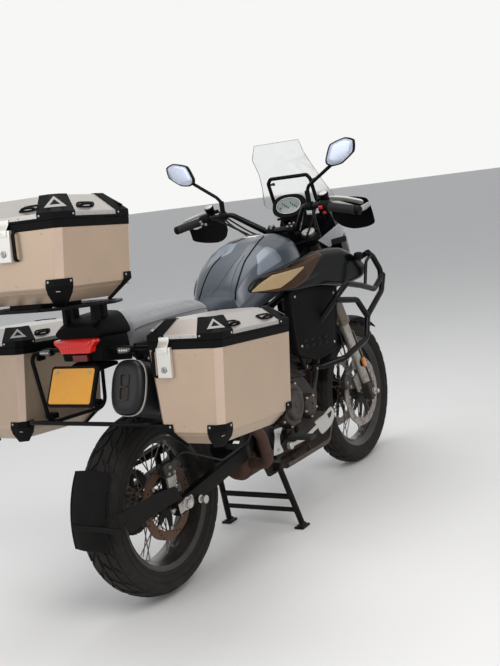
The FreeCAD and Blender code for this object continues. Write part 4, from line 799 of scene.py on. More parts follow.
def lid_body(label, case):
    """The hipped lid with a pressed rim, plus seam band, corner caps, tie-down loops and triangles."""
    body, height = case["hinge"], case["lid"]
    inside = [lid_ring(case, z, WALL) for z in (height - WALL, RIM_HEIGHT - 1, 0.4)]
    outside = [lid_ring(case, z) for z in (0.2, RIM_HEIGHT, height)]
    case_piece(f"{label}_lid_sheet", case, body, CASE_LID_SHEET, [grid(inside + outside)], bevel=1.8,
               replaces=[case["cover"]], crease_angle=25)
    band = [lid_ring(case, z, inset) for z, inset in ((7.5, 2), (7.5, -1.4), (0.4, -1.4), (0.4, 2))]
    case_piece(f"{label}_lid_band", case, body, BLACK_PLASTIC, [grid(band[::-1], ends=False)], bevel=0.6)
    low, rim, top = lid_ring(case, 0.6), lid_ring(case, RIM_HEIGHT), lid_ring(case, height)
    caps, marks, rivets = [], [], []
    for i, j in CORNERS_OF_CASE:
        before, after = (i - 1) % 8, (j + 1) % 8
        rows_out, rows_in = [], []
        for ring, share in ((low, 1.0), (rim, 1.0), (top, 0.62)):
            a, b = np.array(ring[i]), np.array(ring[j])
            to_a = np.array(ring[before]) - a
            to_b = np.array(ring[after]) - b
            run_a, run_b = unit(to_a), unit(to_b)
            reach = CAP_REACH * share
            outward = unit(-run_a - run_b)
            row = [a + run_a * reach, a, b, b + run_b * reach]
            normals = [-run_b, outward, outward, -run_a]
            rows_out.append([point + normal * CAP_PROUD for point, normal in zip(row, normals)])
            rows_in.append([point - normal * 0.2 for point, normal in zip(row, normals)])
            if ring is top:
                inward = [point - normal * 13 for point, normal in zip(row, normals)]
        rise = np.array([0, 0, CAP_PROUD])
        rows_out[2] = [point + rise for point in rows_out[2]]
        rows_out[1] = [point + rise * 0.4 for point in rows_out[1]]
        flange = [point + rise for point in inward]
        under = [point - np.array([0, 0, 0.3]) for point in inward]
        rings = np.array(rows_out + [flange, under] + rows_in[::-1])
        caps.append(grid(rings.transpose(1, 0, 2)[:, ::-1]))
        face = np.array([rows_out[1][1], rows_out[1][2], rows_out[2][2], rows_out[2][1]])
        side_a = np.array([rows_out[1][0], rows_out[1][1], rows_out[2][1], rows_out[2][0]])
        side_b = np.array([rows_out[1][2], rows_out[1][3], rows_out[2][3], rows_out[2][2]])
        middle = face.mean(axis=0)
        across = face[1] - face[0]
        across = unit(across)
        up = (face[2] + face[3] - face[0] - face[1]) / 2
        tall = np.linalg.norm(up)
        up = up / tall
        normal = np.cross(across, up)
        size = tall * 0.36
        outer, inner = ([middle + (across * x + up * y) * size * share for x, y in MARK_CORNERS]
                        for share in (1, 0.5))
        ring_loop = [[corner + normal * lift for lift, corner in ((0.2, o), (1.3, o), (1.3, k), (0.2, k))]
                     for o, k in zip(outer, inner)]
        marks.append(grid(np.array(ring_loop), loop=True))
        for side, place in ((side_a, 0.16), (side_b, 0.84)):
            run = side[1] - side[0]
            out = unit(np.cross(run, side[3] - side[0]))
            spot = side[0] + run * place + np.array([0, 0, -8.0])
            rivets.append(dome(spot, out * np.array([1, 1, 0]), 3.4, 2.2, 12))
    case_piece(f"{label}_lid_caps", case, body, BLACK_PLASTIC, caps, bevel=0.9, crease_angle=20)
    case_piece(f"{label}_cap_marks", case, body, GREY_INSET, marks, slot="black_plastic")
    for i, j in SIDES_OF_CASE:
        rivets += rivet_row(low, rim, i, j, (0.3, 0.5, 0.7), 0.62, 2.4)
    case_piece(f"{label}_lid_rivets", case, body, RIVET_METAL, rivets)
    loops, feet = [], []
    for i, j in ((1, 2), (5, 6)) if case["length"] > case["width"] else SIDES_OF_CASE:
        corner, across, rise, normal = face_frame(rim, top, i, j)
        width = np.linalg.norm(across)
        across, rise = across / width, unit(rise)
        places = (0.25, 0.75) if width > 300 else (0.5,)
        if case["length"] <= case["width"] and (i, j) in ((1, 2), (5, 6)):
            places = (0.36, )
        for place in places:
            spot = corner + across * width * place + rise * 30
            route = [spot + across * x + rise * y + normal * z for x, y, z in
                     ((-25, -7, 0), (-22, -9, 9), (-8, -10, 12), (8, -10, 12), (22, -9, 9), (25, -7, 0))]
            loops.append(carried(eased(route, 8), circle(3.6, 10)))
            foot = round_ring([(-33, -12), (33, -12), (33, 12), (-33, 12)], 28, 0.3)
            base = spot + foot[:, :1] * across + foot[:, 1:] * rise
            inner = spot + (base - spot) * 0.72
            feet.append(grid(np.array([base - normal * 0.3, base + normal * 3.5, inner + normal * 4.2,
                                       inner - normal * 0.2]), ends=False))
    case_piece(f"{label}_tie_loops", case, body, BLACK_PLASTIC, loops + feet)


def hinge_barrel(label, case):
    """Hinge knuckles and pin along the front edge; the middle knuckle turns with the lid."""
    x = case["length"] / 2 + 7
    for body, spans in (("root", ((-80, -50), (50, 80))), (case["hinge"], ((-48, 48),))):
        knuckles = [barrel((x, a, 0), (x, b, 0), 5, 18, 0.6) for a, b in spans]
        low, high = (-16, -1) if body == "root" else (1.5, 13)
        knuckles += [brick((case["length"] / 2 - 1, a, low), (x - 1, b, high)) for a, b in spans]
        side = "shell" if body == "root" else "lid"
        case_piece(f"{label}_hinge_{side}", case, body, RIVET_METAL, knuckles)
    case_piece(f"{label}_hinge_pin", case, "root", BOLT_STEEL, [barrel((x, -80, 0), (x, 80, 0), 2.3, 12)])


LATCH_TALL = 84


def latch(label, case, across, wide):
    """A pressed latch box on the rear face: folded tab over the seam, round lock and a black lever bar."""
    rear = -case["length"] / 2
    low = -24 - LATCH_TALL
    level = low + LATCH_TALL * 0.3
    body = plate([(across - wide / 2, low), (across + wide / 2, low), (across + wide / 2, -16),
                  (across - wide / 2, -16)], "x", rear - 15, rear - 0.2)
    case_piece(f"{label}_latch_box", case, "root", LATCH_METAL, [body], bevel=2.5)
    tab = [(rear - 17, -34), (rear - 17, -16), (rear - 10, -6), (rear - 5, 2), (rear - 3.2, 14),
           (rear - 1, 14), (rear - 2.4, 1), (rear - 8, -8), (rear - 15, -17), (rear - 15, -34)]
    case_piece(f"{label}_latch_tab", case, case["hinge"], LATCH_METAL,
               [plate(tab, "y", across - wide * 0.36, across + wide * 0.36)], bevel=0.6)
    lock = [turned([(0, 10), (2.4, 10), (3.2, 8.6), (3.2, 7), (2.4, 6.6), (2.4, 0.2)],
                   (rear - 15, across, level), (-1, 0, 0), 28)]
    case_piece(f"{label}_latch_lock", case, "root", BOLT_STEEL, lock)
    slot = [plate([(across - 1, level - 5), (across + 1, level - 5), (across + 1, level + 5),
                   (across - 1, level + 5)], "x", rear - 17.9, rear - 17.2)]
    lever = [carried(eased([(rear - 3, across - wide * 0.72, -20), (rear - 13, across - wide * 0.74, -30),
                            (rear - 13, across - wide * 0.76, low + 8),
                            (rear - 3, across - wide * 0.74, low + 2)], 6),
                     [(-5, -2.5), (5, -2.5), (5, 2.5), (-5, 2.5)])]
    case_piece(f"{label}_latch_lever", case, "root", BLACK_PLASTIC, lever + slot, bevel=0.8)


for label, case in CASES.items():
    case_body(label, case)
    lid_body(label, case)
    hinge_barrel(label, case)
    shield(label, case, CORNERS_OF_CASE)
latch("left", CASES["left"], 60, 52)
latch("right", CASES["right"], -60, 52)
latch("top", CASES["top"], -30, 56)


# Wheels. A tyre section is an ellipse above its widest place and a quarter ellipse down to the bead.

def tyre_section(theta, radius, width, rim, rim_half, sunk=0.0):
    """Places (y, r) at angles from the crown: y = a sin, r = widest + b cos, then in to the bead past 90."""
    theta = np.asarray(theta, float)
    widest = rim + 0.48 * (radius - rim)
    tall, half, bead = radius - widest, width / 2, rim_half - 3
    over = np.clip(np.abs(theta) - math.pi / 2, 0, math.pi / 2)
    upper = np.abs(theta) <= math.pi / 2
    y = np.where(upper, half * np.abs(np.sin(theta)) ** 0.92, bead + (half - bead) * np.cos(over))
    r = np.where(upper, widest + tall * np.abs(np.cos(theta)) ** 0.86, widest - (widest - rim) * np.sin(over))
    lift = np.where(upper, 1.0, 0.0) * np.clip((math.radians(78) - np.abs(theta)) / 0.1, 0, 1) * sunk
    return y * np.sign(theta), r - lift * np.cos(theta * 0.8)


BLOCK_DEPTH = 7.5
SIDEWALL_LINES = (96, 128)


def tyre(name, body, centre, radius, width, rim, rim_half, pitches, rows):
    """A smooth carcass with sunk grooves, plus tread blocks laid over it in slanted rows."""
    theta = np.radians(np.concatenate([np.linspace(-180, -84, 15), np.linspace(-79, 79, 30),
                    np.linspace(84, 180, 15)]))
    y, r = tyre_section(theta, radius, width, rim, rim_half, 6.0)
    patches = [turned(np.stack([y, r], -1), centre, (0, 1, 0), 120, loop=True)]
    for start, stop, length, skew, phase in rows:
        v = np.radians(np.linspace(start, stop, 4))
        for sign in (1, -1):
            for pitch in range(pitches):
                turn = 2 * math.pi * (pitch + phase + (0.5 if sign < 0 else 0)) / pitches
                u = np.linspace(0, 1, 4)[:, None]
                share = np.linspace(0, 1, 4)[None, :]
                angle = turn + (u * length + share * skew) * 2 * math.pi / pitches
                top_y, top_r = tyre_section(v * sign, radius, width, rim, rim_half)
                ring_y = np.concatenate([top_y[:1] * 0.985, top_y, top_y[-1:] * 0.985])
                ring_r = np.concatenate([top_r[:1] - BLOCK_DEPTH, top_r, top_r[-1:] - BLOCK_DEPTH])
                angle = np.concatenate([angle[:, :1], angle, angle[:, -1:]], axis=1)
                rings = np.stack([ring_r * np.cos(angle), np.broadcast_to(ring_y, angle.shape),
                                  ring_r * np.sin(angle)], -1) + np.asarray(centre)
                patch = grid(rings)
                patches.append(patch if sign > 0 else inside_out(patch))
    piece(name, body, TYRE, patches, replaces=[name.replace("_tread", "")], crease_angle=30)
    spots_y, spots_r = tyre_section(np.radians(SIDEWALL_LINES), radius, width, rim, rim_half)
    lines = []
    for side in (1, -1):
        section = ((-1.2, -1.6), (0.6 * side, -0.8), (0.6 * side, 0.8), (-1.2, 1.6))
        for y, r in zip(spots_y, spots_r):
            profile = [(side * (y + 0.2) + along, r + rise) for along, rise in section]
            lines.append(turned(profile, centre, (0, 1, 0), 96, ends=False))
    piece(f"{name}_lines", body, TYRE, lines)


def rim_and_spokes(name, body, centre, rim, half, depth):
    """A dropped-centre rim, a waisted hub and crossed spokes with nipples."""
    bed = rim - depth
    profile = [(-half, rim), (-half - 2.5, rim + 5), (-half - 3.5, rim + 3), (-half - 1, rim - 6),
               (-half + 5, rim - 15), (-24, bed + 4), (-12, bed), (12, bed), (24, bed + 4),
               (half - 5, rim - 15), (half + 1, rim - 6), (half + 3.5, rim + 3), (half + 2.5, rim + 5),
               (half, rim)]
    piece(f"{name}_hoop", body, RIM_COAT, [turned(profile, centre, (0, 1, 0), 128, loop=True)],
          replaces=[name], crease_angle=28)
    hub = [(-57, 20), (-57, 34), (-52, 40), (-40, 45), (-36, 46), (-33, 44), (-29, 30), (-18, 26), (18, 26),
           (29, 30), (33, 44), (36, 46), (40, 45), (52, 40), (57, 34), (57, 20)]
    piece(f"{name}_hub", body, COVER_CASTING, [turned(hub, centre, (0, 1, 0), 48)], slot="black_metal")
    count = 8
    swing = math.pi / count
    spokes, nipples = [], []
    for side in (1, -1):
        for lean in (1, -1):
            for index in range(count):
                turn = 2 * math.pi * index / count + (swing / 2 if side < 0 else 0)
                first, last = turn + lean * 0.07, turn - lean * swing * 1.25
                foot = np.array([39 * math.sin(first), (32 + lean * 2.5) * side, 39 * math.cos(first)])
                head = np.array([(bed + 4) * math.sin(last), 7 * side, (bed + 4) * math.cos(last)])
                away = unit(head - foot)
                spokes.append(barrel(centre + foot, centre + head, 2.0, 8))
                nipples.append(barrel(centre + head - away * 15, centre + head, 3.4, 8, 0.6))
                nipples.append(barrel(centre + foot - away * 3, centre + foot + away * 5, 3.4, 8, 0.8))
    piece(f"{name}_spokes", body, SPOKE_STEEL, spokes)
    piece(f"{name}_nipples", body, RIVET_METAL, nipples)


def spun(x, z, spin):
    """A place in the wheel's plane, turned about the axle."""
    return x * math.cos(spin) - z * math.sin(spin), x * math.sin(spin) + z * math.cos(spin)


def brake_disc(name, body, centre, place, radius, band, finish, carrier_finish, bolts=10, replaces=()):
    """A brake disc: a drilled band shown with black plugs as painted shade in its holes, floating buttons and
    a windowed carrier.
    """
    low = place - 2.5
    count = 120
    angle = np.linspace(0, 2 * math.pi, count, endpoint=False)
    wave = 1 + 0.012 * np.cos(angle * bolts)
    rings = []
    for y, r in ((low, radius - band), (low, radius), (low + 5, radius), (low + 5, radius - band)):
        reach = r * (wave if r == radius else 2 - wave)
        rings.append(np.stack([reach * np.cos(angle), np.full(count, y), reach * np.sin(angle)], -1) + centre)
    piece(f"{name}_band", body, finish, [grid(rings, loop=True)], replaces=replaces)
    inner = radius - band
    arms, buttons, holes = [], [], []
    for index in range(bolts):
        spin = 2 * math.pi * index / bolts
        arm = [spun(x, z, spin) for x, z in ((42, -16), (inner - 10, -9), (inner - 2, -9), (inner - 2, 9),
                    (inner - 10, 9), (42, 16))]
        arms.append(moved(plate(arm, "y", place - 2, place + 2), lambda points: points + centre))
        x, z = spun(inner - 4, 0, spin)
        spot = centre + np.array([x, place, z])
        buttons.append(turned([(-4.4, 3), (-4.4, 7.5), (4.4, 7.5), (4.4, 3)], spot, (0, 1, 0), 14))
        # The drilled holes are black plugs through the band: painted shade in place of open holes.
        for reach, shift in ((inner + band * 0.25, 0.1), (inner + band * 0.5, 0.28),
                             (inner + band * 0.75, 0.46)):
            turn = spin + shift * 2 * math.pi / bolts
            spot = centre + np.array([reach * math.cos(turn), place, reach * math.sin(turn)])
            holes.append(turned([(-2.7, 3.6), (2.7, 3.6)], spot, (0, 1, 0), 10))
    arms.append(turned([(place - 2.4, 22), (place - 2.4, 50), (place + 2.4, 50), (place + 2.4, 22)], centre,
                       (0, 1, 0), 60, loop=True))
    piece(f"{name}_carrier", body, carrier_finish, arms)
    piece(f"{name}_buttons", body, BOLT_STEEL, buttons)
    piece(f"{name}_hole_shade_plugs", body, BLACK_COAT, holes)


tyre("rear_tyre_tread", "rear_wheel", REAR_CENTRE, 321, 150, 229, 59, 28,
     ((3, 24, 0.72, 0.5, 0.0), (28, 49, 0.70, 0.62, 0.28), (53, 76, 0.62, 0.34, 0.86)))
tyre("front_tyre_tread", "front_wheel", FRONT_CENTRE, 329, 110, 252, 38, 32,
     ((3, 26, 0.72, 0.5, 0.0), (31, 54, 0.68, 0.5, 0.3), (58, 77, 0.6, 0.25, 0.85)))
rim_and_spokes("rear_rim", "rear_wheel", REAR_CENTRE, 229, 59, 30)
rim_and_spokes("front_rim", "front_wheel", FRONT_CENTRE, 252, 38, 30)
brake_disc("rear_brake", "rear_wheel", REAR_CENTRE, -60.5, 130, 34, REAR_DISC_STEEL, BLACK_COAT, 8,
           ["rear_disc"])
brake_disc("left_front_brake", "front_wheel", FRONT_CENTRE, 60.5, 160, 34, DISC_STEEL, BLACK_COAT, 10,
           ["front_discs"])
brake_disc("right_front_brake", "front_wheel", FRONT_CENTRE, -60.5, 160, 34, DISC_STEEL, BLACK_COAT, 10)


# Rear end: muffler, tail, lamps, plate, hugger

def oval_ring(x, half_wide, half_tall, count=56, power=2.7):
    """A superellipse of half widths in y and z at a place along x."""
    angle = np.linspace(0, 2 * math.pi, count, endpoint=False)
    c, s = np.cos(angle), np.sin(angle)
    return np.stack([np.full(count, float(x)), half_wide * np.sign(c) * np.abs(c) ** (2 / power),
                     half_tall * np.sign(s) * np.abs(s) ** (2 / power)], -1)


sleeve = [oval_ring(x, w, t) for x, w, t in ((18, 61.5, 85), (22, 64, 87), (150, 64, 87), (250, 64, 87),
            (345, 62, 84), (400, 52, 70), (440, 34, 46), (455, 26, 30))]
piece("muffler_sleeve", "root", MUFFLER_COAT, [moved(grid(smooth_rings(sleeve, 40)), at_muffler)],
      replaces=["muffler"], crease_angle=50)
cap_rings = [oval_ring(x, w, t) for x, w, t in ((24, 62.8, 86), (14, 62, 85), (4, 57, 80), (-2, 46, 68),
            (-4, 30, 48))]
piece("muffler_end_cap", "root", MUFFLER_COAT, [moved(grid(smooth_rings(cap_rings, 16)[::-1]), at_muffler)],
      crease_angle=40)
trim = [oval_ring(x, w, t) for x, w, t in ((20, 63.4, 86.4), (21, 65.4, 88.4), (27, 65.4, 88.4),
            (28, 63.4, 86.4))]
piece("muffler_trim_ring", "root", CAST_SILVER, [moved(grid(trim, ends=False), at_muffler)])
collar = barrel((440, 0, 0), (514, 0, 0), 25, 30, 2)
clamp_band = turned([(0, 26), (0, 29), (18, 29), (18, 26)], (478, 0, 0), (1, 0, 0), 30, loop=True)
piece("muffler_neck", "root", HOT_PIPE, [moved(collar, at_muffler)])
piece("muffler_clamp", "root", BARE_STEEL, [moved(clamp_band, at_muffler)])


def outlet(z):
    """A rounded outlet slot, one of two in a column: a lip round a duct, with a black plate a little way in
    as painted shade for the duct's dark inside.
    """
    base = np.array(round_ring([(-15, -19), (15, -19), (15, 19), (-15, 19)], 32, 0.5))
    rings = []
    for x, scale in ((1, 1.02), (-9, 1.0), (-10.5, 0.95), (-10, 0.86), (30, 0.84)):
        rings.append(np.insert(base * scale + np.array([0, z]), 0, x, axis=1))
    return grid(rings, ends=False), np.insert(base * 0.85 + np.array([0, z]), 0, -2, axis=1)


lips, duct_shades = [], []
for height in (21, -21):
    lip, dark = outlet(height)
    lips.append(moved(lip, at_muffler))
    # A black plate inside the lip: painted shade for the dark inside of the duct.
    duct_shades.append(moved(grid([dark, dark + np.array([3, 0, 0])][::-1]), at_muffler))
piece("muffler_outlet_lips", "root", SHADE_DARKENED_CHAIN_STEEL, lips, slot="silver_metal", crease_angle=50)
piece("muffler_outlet_duct_shades", "root", BLACK_COAT, duct_shades, slot="muffler_black")


def body_section(x, outline, count=40, sharp=0.15):
    """A smooth ring through half-outline corners (y, z) and their mirror images."""
    pairs = list(outline) + [(-y, z) for y, z in outline[::-1] if y > 0.5]
    ring = round_ring(pairs, count, sharp)
    return np.insert(ring, 0, x, axis=1)


cowl = [body_section(x, outline, 48, 0.3) for x, outline in (
    (-232, ((60, 958), (90, 966), (90, 978), (62, 992))),
    (-205, ((62, 955), (96, 964), (94, 984), (64, 1006))),
    (-150, ((60, 948), (99, 958), (94, 988), (62, 1018))),
    (-90, ((56, 944), (98, 952), (90, 985), (58, 1020))))]
piece("tail_hood", "root", BLACK_PLASTIC, [grid(smooth_rings(cowl, 20))], crease_angle=50)
base = [body_section(x, outline, 40, 0.5) for x, outline in (
    (-226, ((70, 884), (80, 890), (84, 958), (60, 960))),
    (-180, ((84, 874), (92, 882), (90, 956), (60, 960))),
    (-102, ((90, 860), (98, 868), (92, 950), (60, 955))))]
piece("tail_body", "root", BLACK_PLASTIC, [grid(smooth_rings(base, 12))], crease_angle=50)


lamp_main = [(-82, 958), (-86, 948), (-66, 932), (-60, 914), (60, 914), (66, 932), (86, 948), (82, 958)]
piece("tail_lamp_lens", "root", RED_LENS, [plate(lamp_main, "x", -258, -225)], bevel=4,
      replaces=["tail_lamp"])
piece("tail_lamp_step", "root", RED_LENS, [
    plate([(-70, 955), (-74, 947), (-58, 936), (58, 936), (74, 947), (70, 955)], "x", -265, -250)], bevel=3)
piece("tail_reflector", "root", DARK_RED, [brick((-240, -30, 884), (-226, 30, 906))],
      bevel=2)


def blinker(sign, x, y_in, y_out, z, length, tall):
    """A slim indicator pod: a rounded body with a lens on its face and a row of small lamps."""
    rings = [np.stack([x + 0.5 * length * s * np.cos(a), np.full(24, sign * y),
                       z + 0.5 * tall * s * np.sin(a)], -1)
             for a in [np.linspace(0, 2 * math.pi, 24, endpoint=False)]
             for y, s in ((y_in, 0.55), (y_in + 6, 0.95), ((y_in + y_out) / 2, 1.0), (y_out - 5, 0.8),
                          (y_out, 0.4))]
    patch = grid(smooth_rings(rings, 14))
    return patch if sign < 0 else inside_out(patch)


pods, lenses, diodes, stalks = [], [], [], []
for sign in (1, -1):
    pods.append(blinker(sign, -206, 140, 190, 913, 32, 26))
    stalks.append(carried(eased([(-200, sign * 88, 920), (-202, sign * 120, 918), (-204, sign * 146, 914)],
                                10), circle(6, 12)))
    lens_ring = [np.array([(x, sign * y, z)
                           for y, z in round_ring([(146, 905), (186, 908), (186, 919), (146, 922)], 24,
                        0.3)]) for x in (-214, -221, -222.5)]
    lenses.append(grid(lens_ring))
    for place in (152, 161, 170, 179):
        diodes.append(turned([(0, 3.4), (2, 3.0), (3, 1.2)], (-221.5, sign * place, 913.5), (-1, 0, 0), 12))
piece("rear_indicator_pods", "root", BLACK_PLASTIC, pods + stalks, replaces=["indicators"])
piece("rear_indicator_lenses", "root", SMOKED_LENS, lenses, bevel=1)
piece("rear_indicator_diodes", "root", DIODE, diodes)

def rounded_card(half_x, half_y, corner, low, high, dish=0.0):
    """A rectangle with quarter-circle corners, between two levels."""
    spots = []
    for cx, cy, start in ((half_x - corner, half_y - corner, 0), (corner - half_x, half_y - corner, 90),
                          (corner - half_x, corner - half_y, 180), (half_x - corner, corner - half_y, 270)):
        for step in range(6):
            a = math.radians(start + step * 18)
            spots.append((cx + corner * math.cos(a), cy + corner * math.sin(a)))
    outline = np.array(spots)
    rings = [np.insert(outline, 2, low, axis=1), np.insert(outline, 2, high, axis=1)]
    if dish:
        rings.append(np.insert(outline * (1 - 3 / half_x), 2, high - dish, axis=1))
    return grid(rings)


piece("number_plate_face", "root", PLATE_ENAMEL, [moved(rounded_card(57, 86, 7, -2, 0, 0.6), at_plate)],
      bevel=0.5, replaces=["number_plate"])
piece("number_plate_screws", "root", WHITE_LINE,
      [moved(turned([(-0.5, 5), (1.6, 5), (2.6, 3.5), (2.8, 1)], (43, y, 0), (0, 0, 1), 18), at_plate)
       for y in (-66, 66)])
piece("plate_carrier", "root", BLACK_PLASTIC,
      [moved(rounded_card(66, 95, 12, -16, -2.2), at_plate),
       grid(smooth_rings([body_section(x, o, 32, 0.6)
                          for x, o in ((-284, ((30, 822), (44, 824), (44, 846), (30, 848))),
                            (-215, ((40, 844), (52, 848), (52, 872), (40, 877))),
                            (-130, ((50, 850), (60, 852), (60, 861), (50, 863))))], 12))], bevel=1.2,
      replaces=["plate_holder"])

flap_angles = np.radians(np.linspace(144, 188, 18))
flap_rows = []
for across in np.linspace(-1, 1, 15):
    drop = 9 * abs(across) ** 3
    flap_rows.append([(math.cos(a) * (343 - drop), across * 70, 336 + math.sin(a) * (343 - drop))
                      for a in flap_angles])
outer = np.array(flap_rows)
inner_rows = REAR_CENTRE + (outer - REAR_CENTRE) * np.array([0.982, 1, 0.982])
flap_ring = np.concatenate([outer, inner_rows[::-1]])
piece("hugger_flap", "root", BLACK_PLASTIC, [grid(flap_ring.transpose(1, 0, 2))], bevel=1.5,
      replaces=["rear_mudguard"], crease_angle=40)
lips = []
for y in (-71, 71):
    rows = [(math.cos(a) * 334, y, 336 + math.sin(a) * 334) for a in flap_angles]
    lips.append(carried(rows, [(-2, -5), (2, -5), (2, 2), (-2, 2)], up=(-1, 0, 0)))
piece("hugger_lips", "root", BLACK_PLASTIC, lips, bevel=1)
arm_outline = [(-356, 430), (-300, 428), (-125, 424), (-52, 414), (-26, 362), (-110, 366), (-200, 362),
               (-290, 346), (-313, 354), (-327, 392), (-356, 398)]
piece("hugger_arm", "root", BLACK_COAT,
      [plate(arm_outline, "y", -150, -142.6), brick((-345, -150, 358), (-337, 60, 376))], bevel=1.5)
hanger_outline = [(-65, 871), (-36, 858), (58, 749), (50, 741), (8, 752), (5, 687), (-30, 693)]
piece("muffler_hanger", "root", BLACK_COAT, [plate(hanger_outline, "y", -113, -109)], bevel=1)
piece("muffler_hanger_bolts", "root", CAST_SILVER,
      [turned([(0, 5.5), (4, 5.5), (5.5, 4), (6, 1)], (x, -113, z), (0, -1, 0), 16)
       for x, z in ((-40, 846), (-9, 811), (24, 773), (-14, 706))])


# Tank, seats and side panels

def surface_point(rings, row, column):
    """A point of a dense ring grid at a fractional row and column, by mixing its four neighbours."""
    rows, count = rings.shape[:2]
    row = np.clip(row, 0, rows - 1.001)
    i, j = int(row), int(column) % count
    a, b = row - int(row), column - math.floor(column)
    near = rings[i, j] * (1 - b) + rings[i, (j + 1) % count] * b
    far = rings[i + 1, j] * (1 - b) + rings[i + 1, (j + 1) % count] * b
    return near * (1 - a) + far * a


TANK_SECTIONS = ((548, ((60, 866), (88, 872), (100, 900), (80, 936), (34, 946))),
                 (575, ((66, 864), (98, 872), (122, 918), (98, 976), (44, 992))),
                 (640, ((74, 868), (110, 880), (150, 958), (120, 1030), (54, 1054))),
                 (720, ((76, 876), (114, 890), (176, 974), (142, 1064), (62, 1098))),
                 (790, ((76, 884), (114, 900), (192, 986), (152, 1084), (68, 1128))),
                 (905, ((78, 910), (118, 924), (187, 992), (150, 1094), (66, 1138))),
                 (975, ((70, 944), (104, 956), (158, 1012), (126, 1094), (56, 1130))),
                 (1012, ((58, 974), (84, 984), (126, 1030), (98, 1086), (44, 1110))))
tank = smooth_rings([body_section(x, outline, 96, 0.62) for x, outline in TANK_SECTIONS], 72)
piece("tank_shell", "root", TANK_PAINT, [grid(tank)], replaces=["fuel_tank"], crease_angle=60)


TANK_CORE = np.array([780.0, 0.0, 985.0])


def tank_line(spots, proud):
    """A smooth line on the tank through (row share, column share) spots, a little proud of its surface."""
    spots = np.asarray(spots, float)
    place = np.linspace(0, len(spots) - 1, 26)
    rows = np.interp(place, np.arange(len(spots)), spots[:, 0]) * (tank.shape[0] - 1)
    columns = np.interp(place, np.arange(len(spots)), spots[:, 1]) * tank.shape[1]
    line = np.array([surface_point(tank, row, column) for row, column in zip(rows, columns)])
    away = (line - TANK_CORE) * np.array([0.2, 1, 1])
    return line + away / np.linalg.norm(away, axis=1)[:, None] * proud


def groove(spots, width, proud=0.6):
    """A flat ribbon on the tank along a line of spots."""
    return carried(tank_line(spots, proud),
                   [(-width / 2, -1.2), (width / 2, -1.2), (width / 2, 0.8), (-width / 2, 0.8)])


# Columns run from the left foot over the crown to the right foot; the right side lies past the half.
seam_right = [(0.66, 0.495), (0.62, 0.505), (0.535, 0.517), (0.437, 0.521), (0.338, 0.531), (0.254, 0.552),
              (0.169, 0.573), (0.085, 0.594), (0.02, 0.625)]
seam_left = [(row, 0.94 - column) for row, column in seam_right]
piece("tank_seams", "root", BLACK_PLASTIC, [groove(seam, 6.0) for seam in (seam_right, seam_left)])


def tank_panel(corner_rows, column_low, column_high, proud):
    """A raised panel on the tank between two columns, whose rows at each column are given at its two ends."""
    (a_low, a_high), (b_low, b_high) = corner_rows
    lines = []
    for s in np.linspace(0, 1, 22):
        column = column_low + (column_high - column_low) * s
        rows = np.linspace(a_low + (b_low - a_low) * s, a_high + (b_high - a_high) * s, 16)
        lift = proud * np.minimum(1, np.minimum(np.arange(16), 15 - np.arange(16)) / 2) * min(1, 5 * s,
                5 * (1 - s))
        points = np.array([surface_point(tank, row * (tank.shape[0] - 1), column * tank.shape[1])
                           for row in rows])
        away = (points - TANK_CORE) * np.array([0.2, 1, 1])
        lines.append(points + away / np.linalg.norm(away, axis=1)[:, None] * (lift[:, None] - 0.5))
    return grid(lines, around=False)


shoulders = [tank_panel(((0.41, 0.56), (0.28, 0.59)), *columns, 2.2)
             for columns in ((0.552, 0.650), (0.448, 0.350))]
piece("tank_shoulder_panels", "root", SHOULDER_PAINT, shoulders, crease_angle=60)
second_seam = [(0.40, 0.508), (0.30, 0.514), (0.21, 0.526), (0.12, 0.548), (0.05, 0.575)]
piece("tank_fine_seams", "root", KNEE_PAINT,
      [groove([(row - 0.02, column if sign > 0 else 1 - column) for row, column in second_seam], 2.0, 0.2)
       for sign in (1, -1)])
cap_centre = np.array([880.0, 0.0, 1133.0])
piece("tank_filler_ring", "root", CAST_SILVER,
      [turned([(-8, 20), (-8, 44), (7, 44), (10, 41), (10, 37), (6, 35)], cap_centre, (0, 0, 1), 60)])
piece("tank_filler_lid", "root", BLACK_COAT,
      [turned([(4, 35.5), (9, 35), (11.5, 31), (12.2, 12), (12, 2)], cap_centre, (0, 0, 1), 60)])
piece("tank_filler_bolts", "root", BOLT_STEEL,
      [turned([(9, 2.6), (11.5, 2.4), (12, 1)],
              cap_centre + np.array([40.5 * math.cos(a), 40.5 * math.sin(a), 0]), (0, 0, 1), 10)
       for a in np.radians(np.arange(0, 360, 60))])
piece("tank_feet", "root", BLACK_COAT,
      [pipe([(945, s * 92, 946), (949, s * 134, 890)], 10.8, 0, 16) for s in (1, -1)])


def seat_ring(x, half_low, half_top, bottom, top, count=56, crown=7.0):
    """A seat section: a flat base, bulging sides and a crowned top with rounded shoulders."""
    corners = [(half_low * 0.5, bottom), (half_low, bottom), (half_top * 1.01, (bottom + top) / 2 - 2),
               (half_top, top - 20), (half_top * 0.84, top - 4), (half_top * 0.4, top + crown * 0.7)]
    pairs = corners + [(-y, z) for y, z in corners[::-1]]
    return np.insert(round_ring(pairs, count, 0.08), 0, x, axis=1)


COVER_RISE = 0.005
FIRM_HEIGHT = 0.03


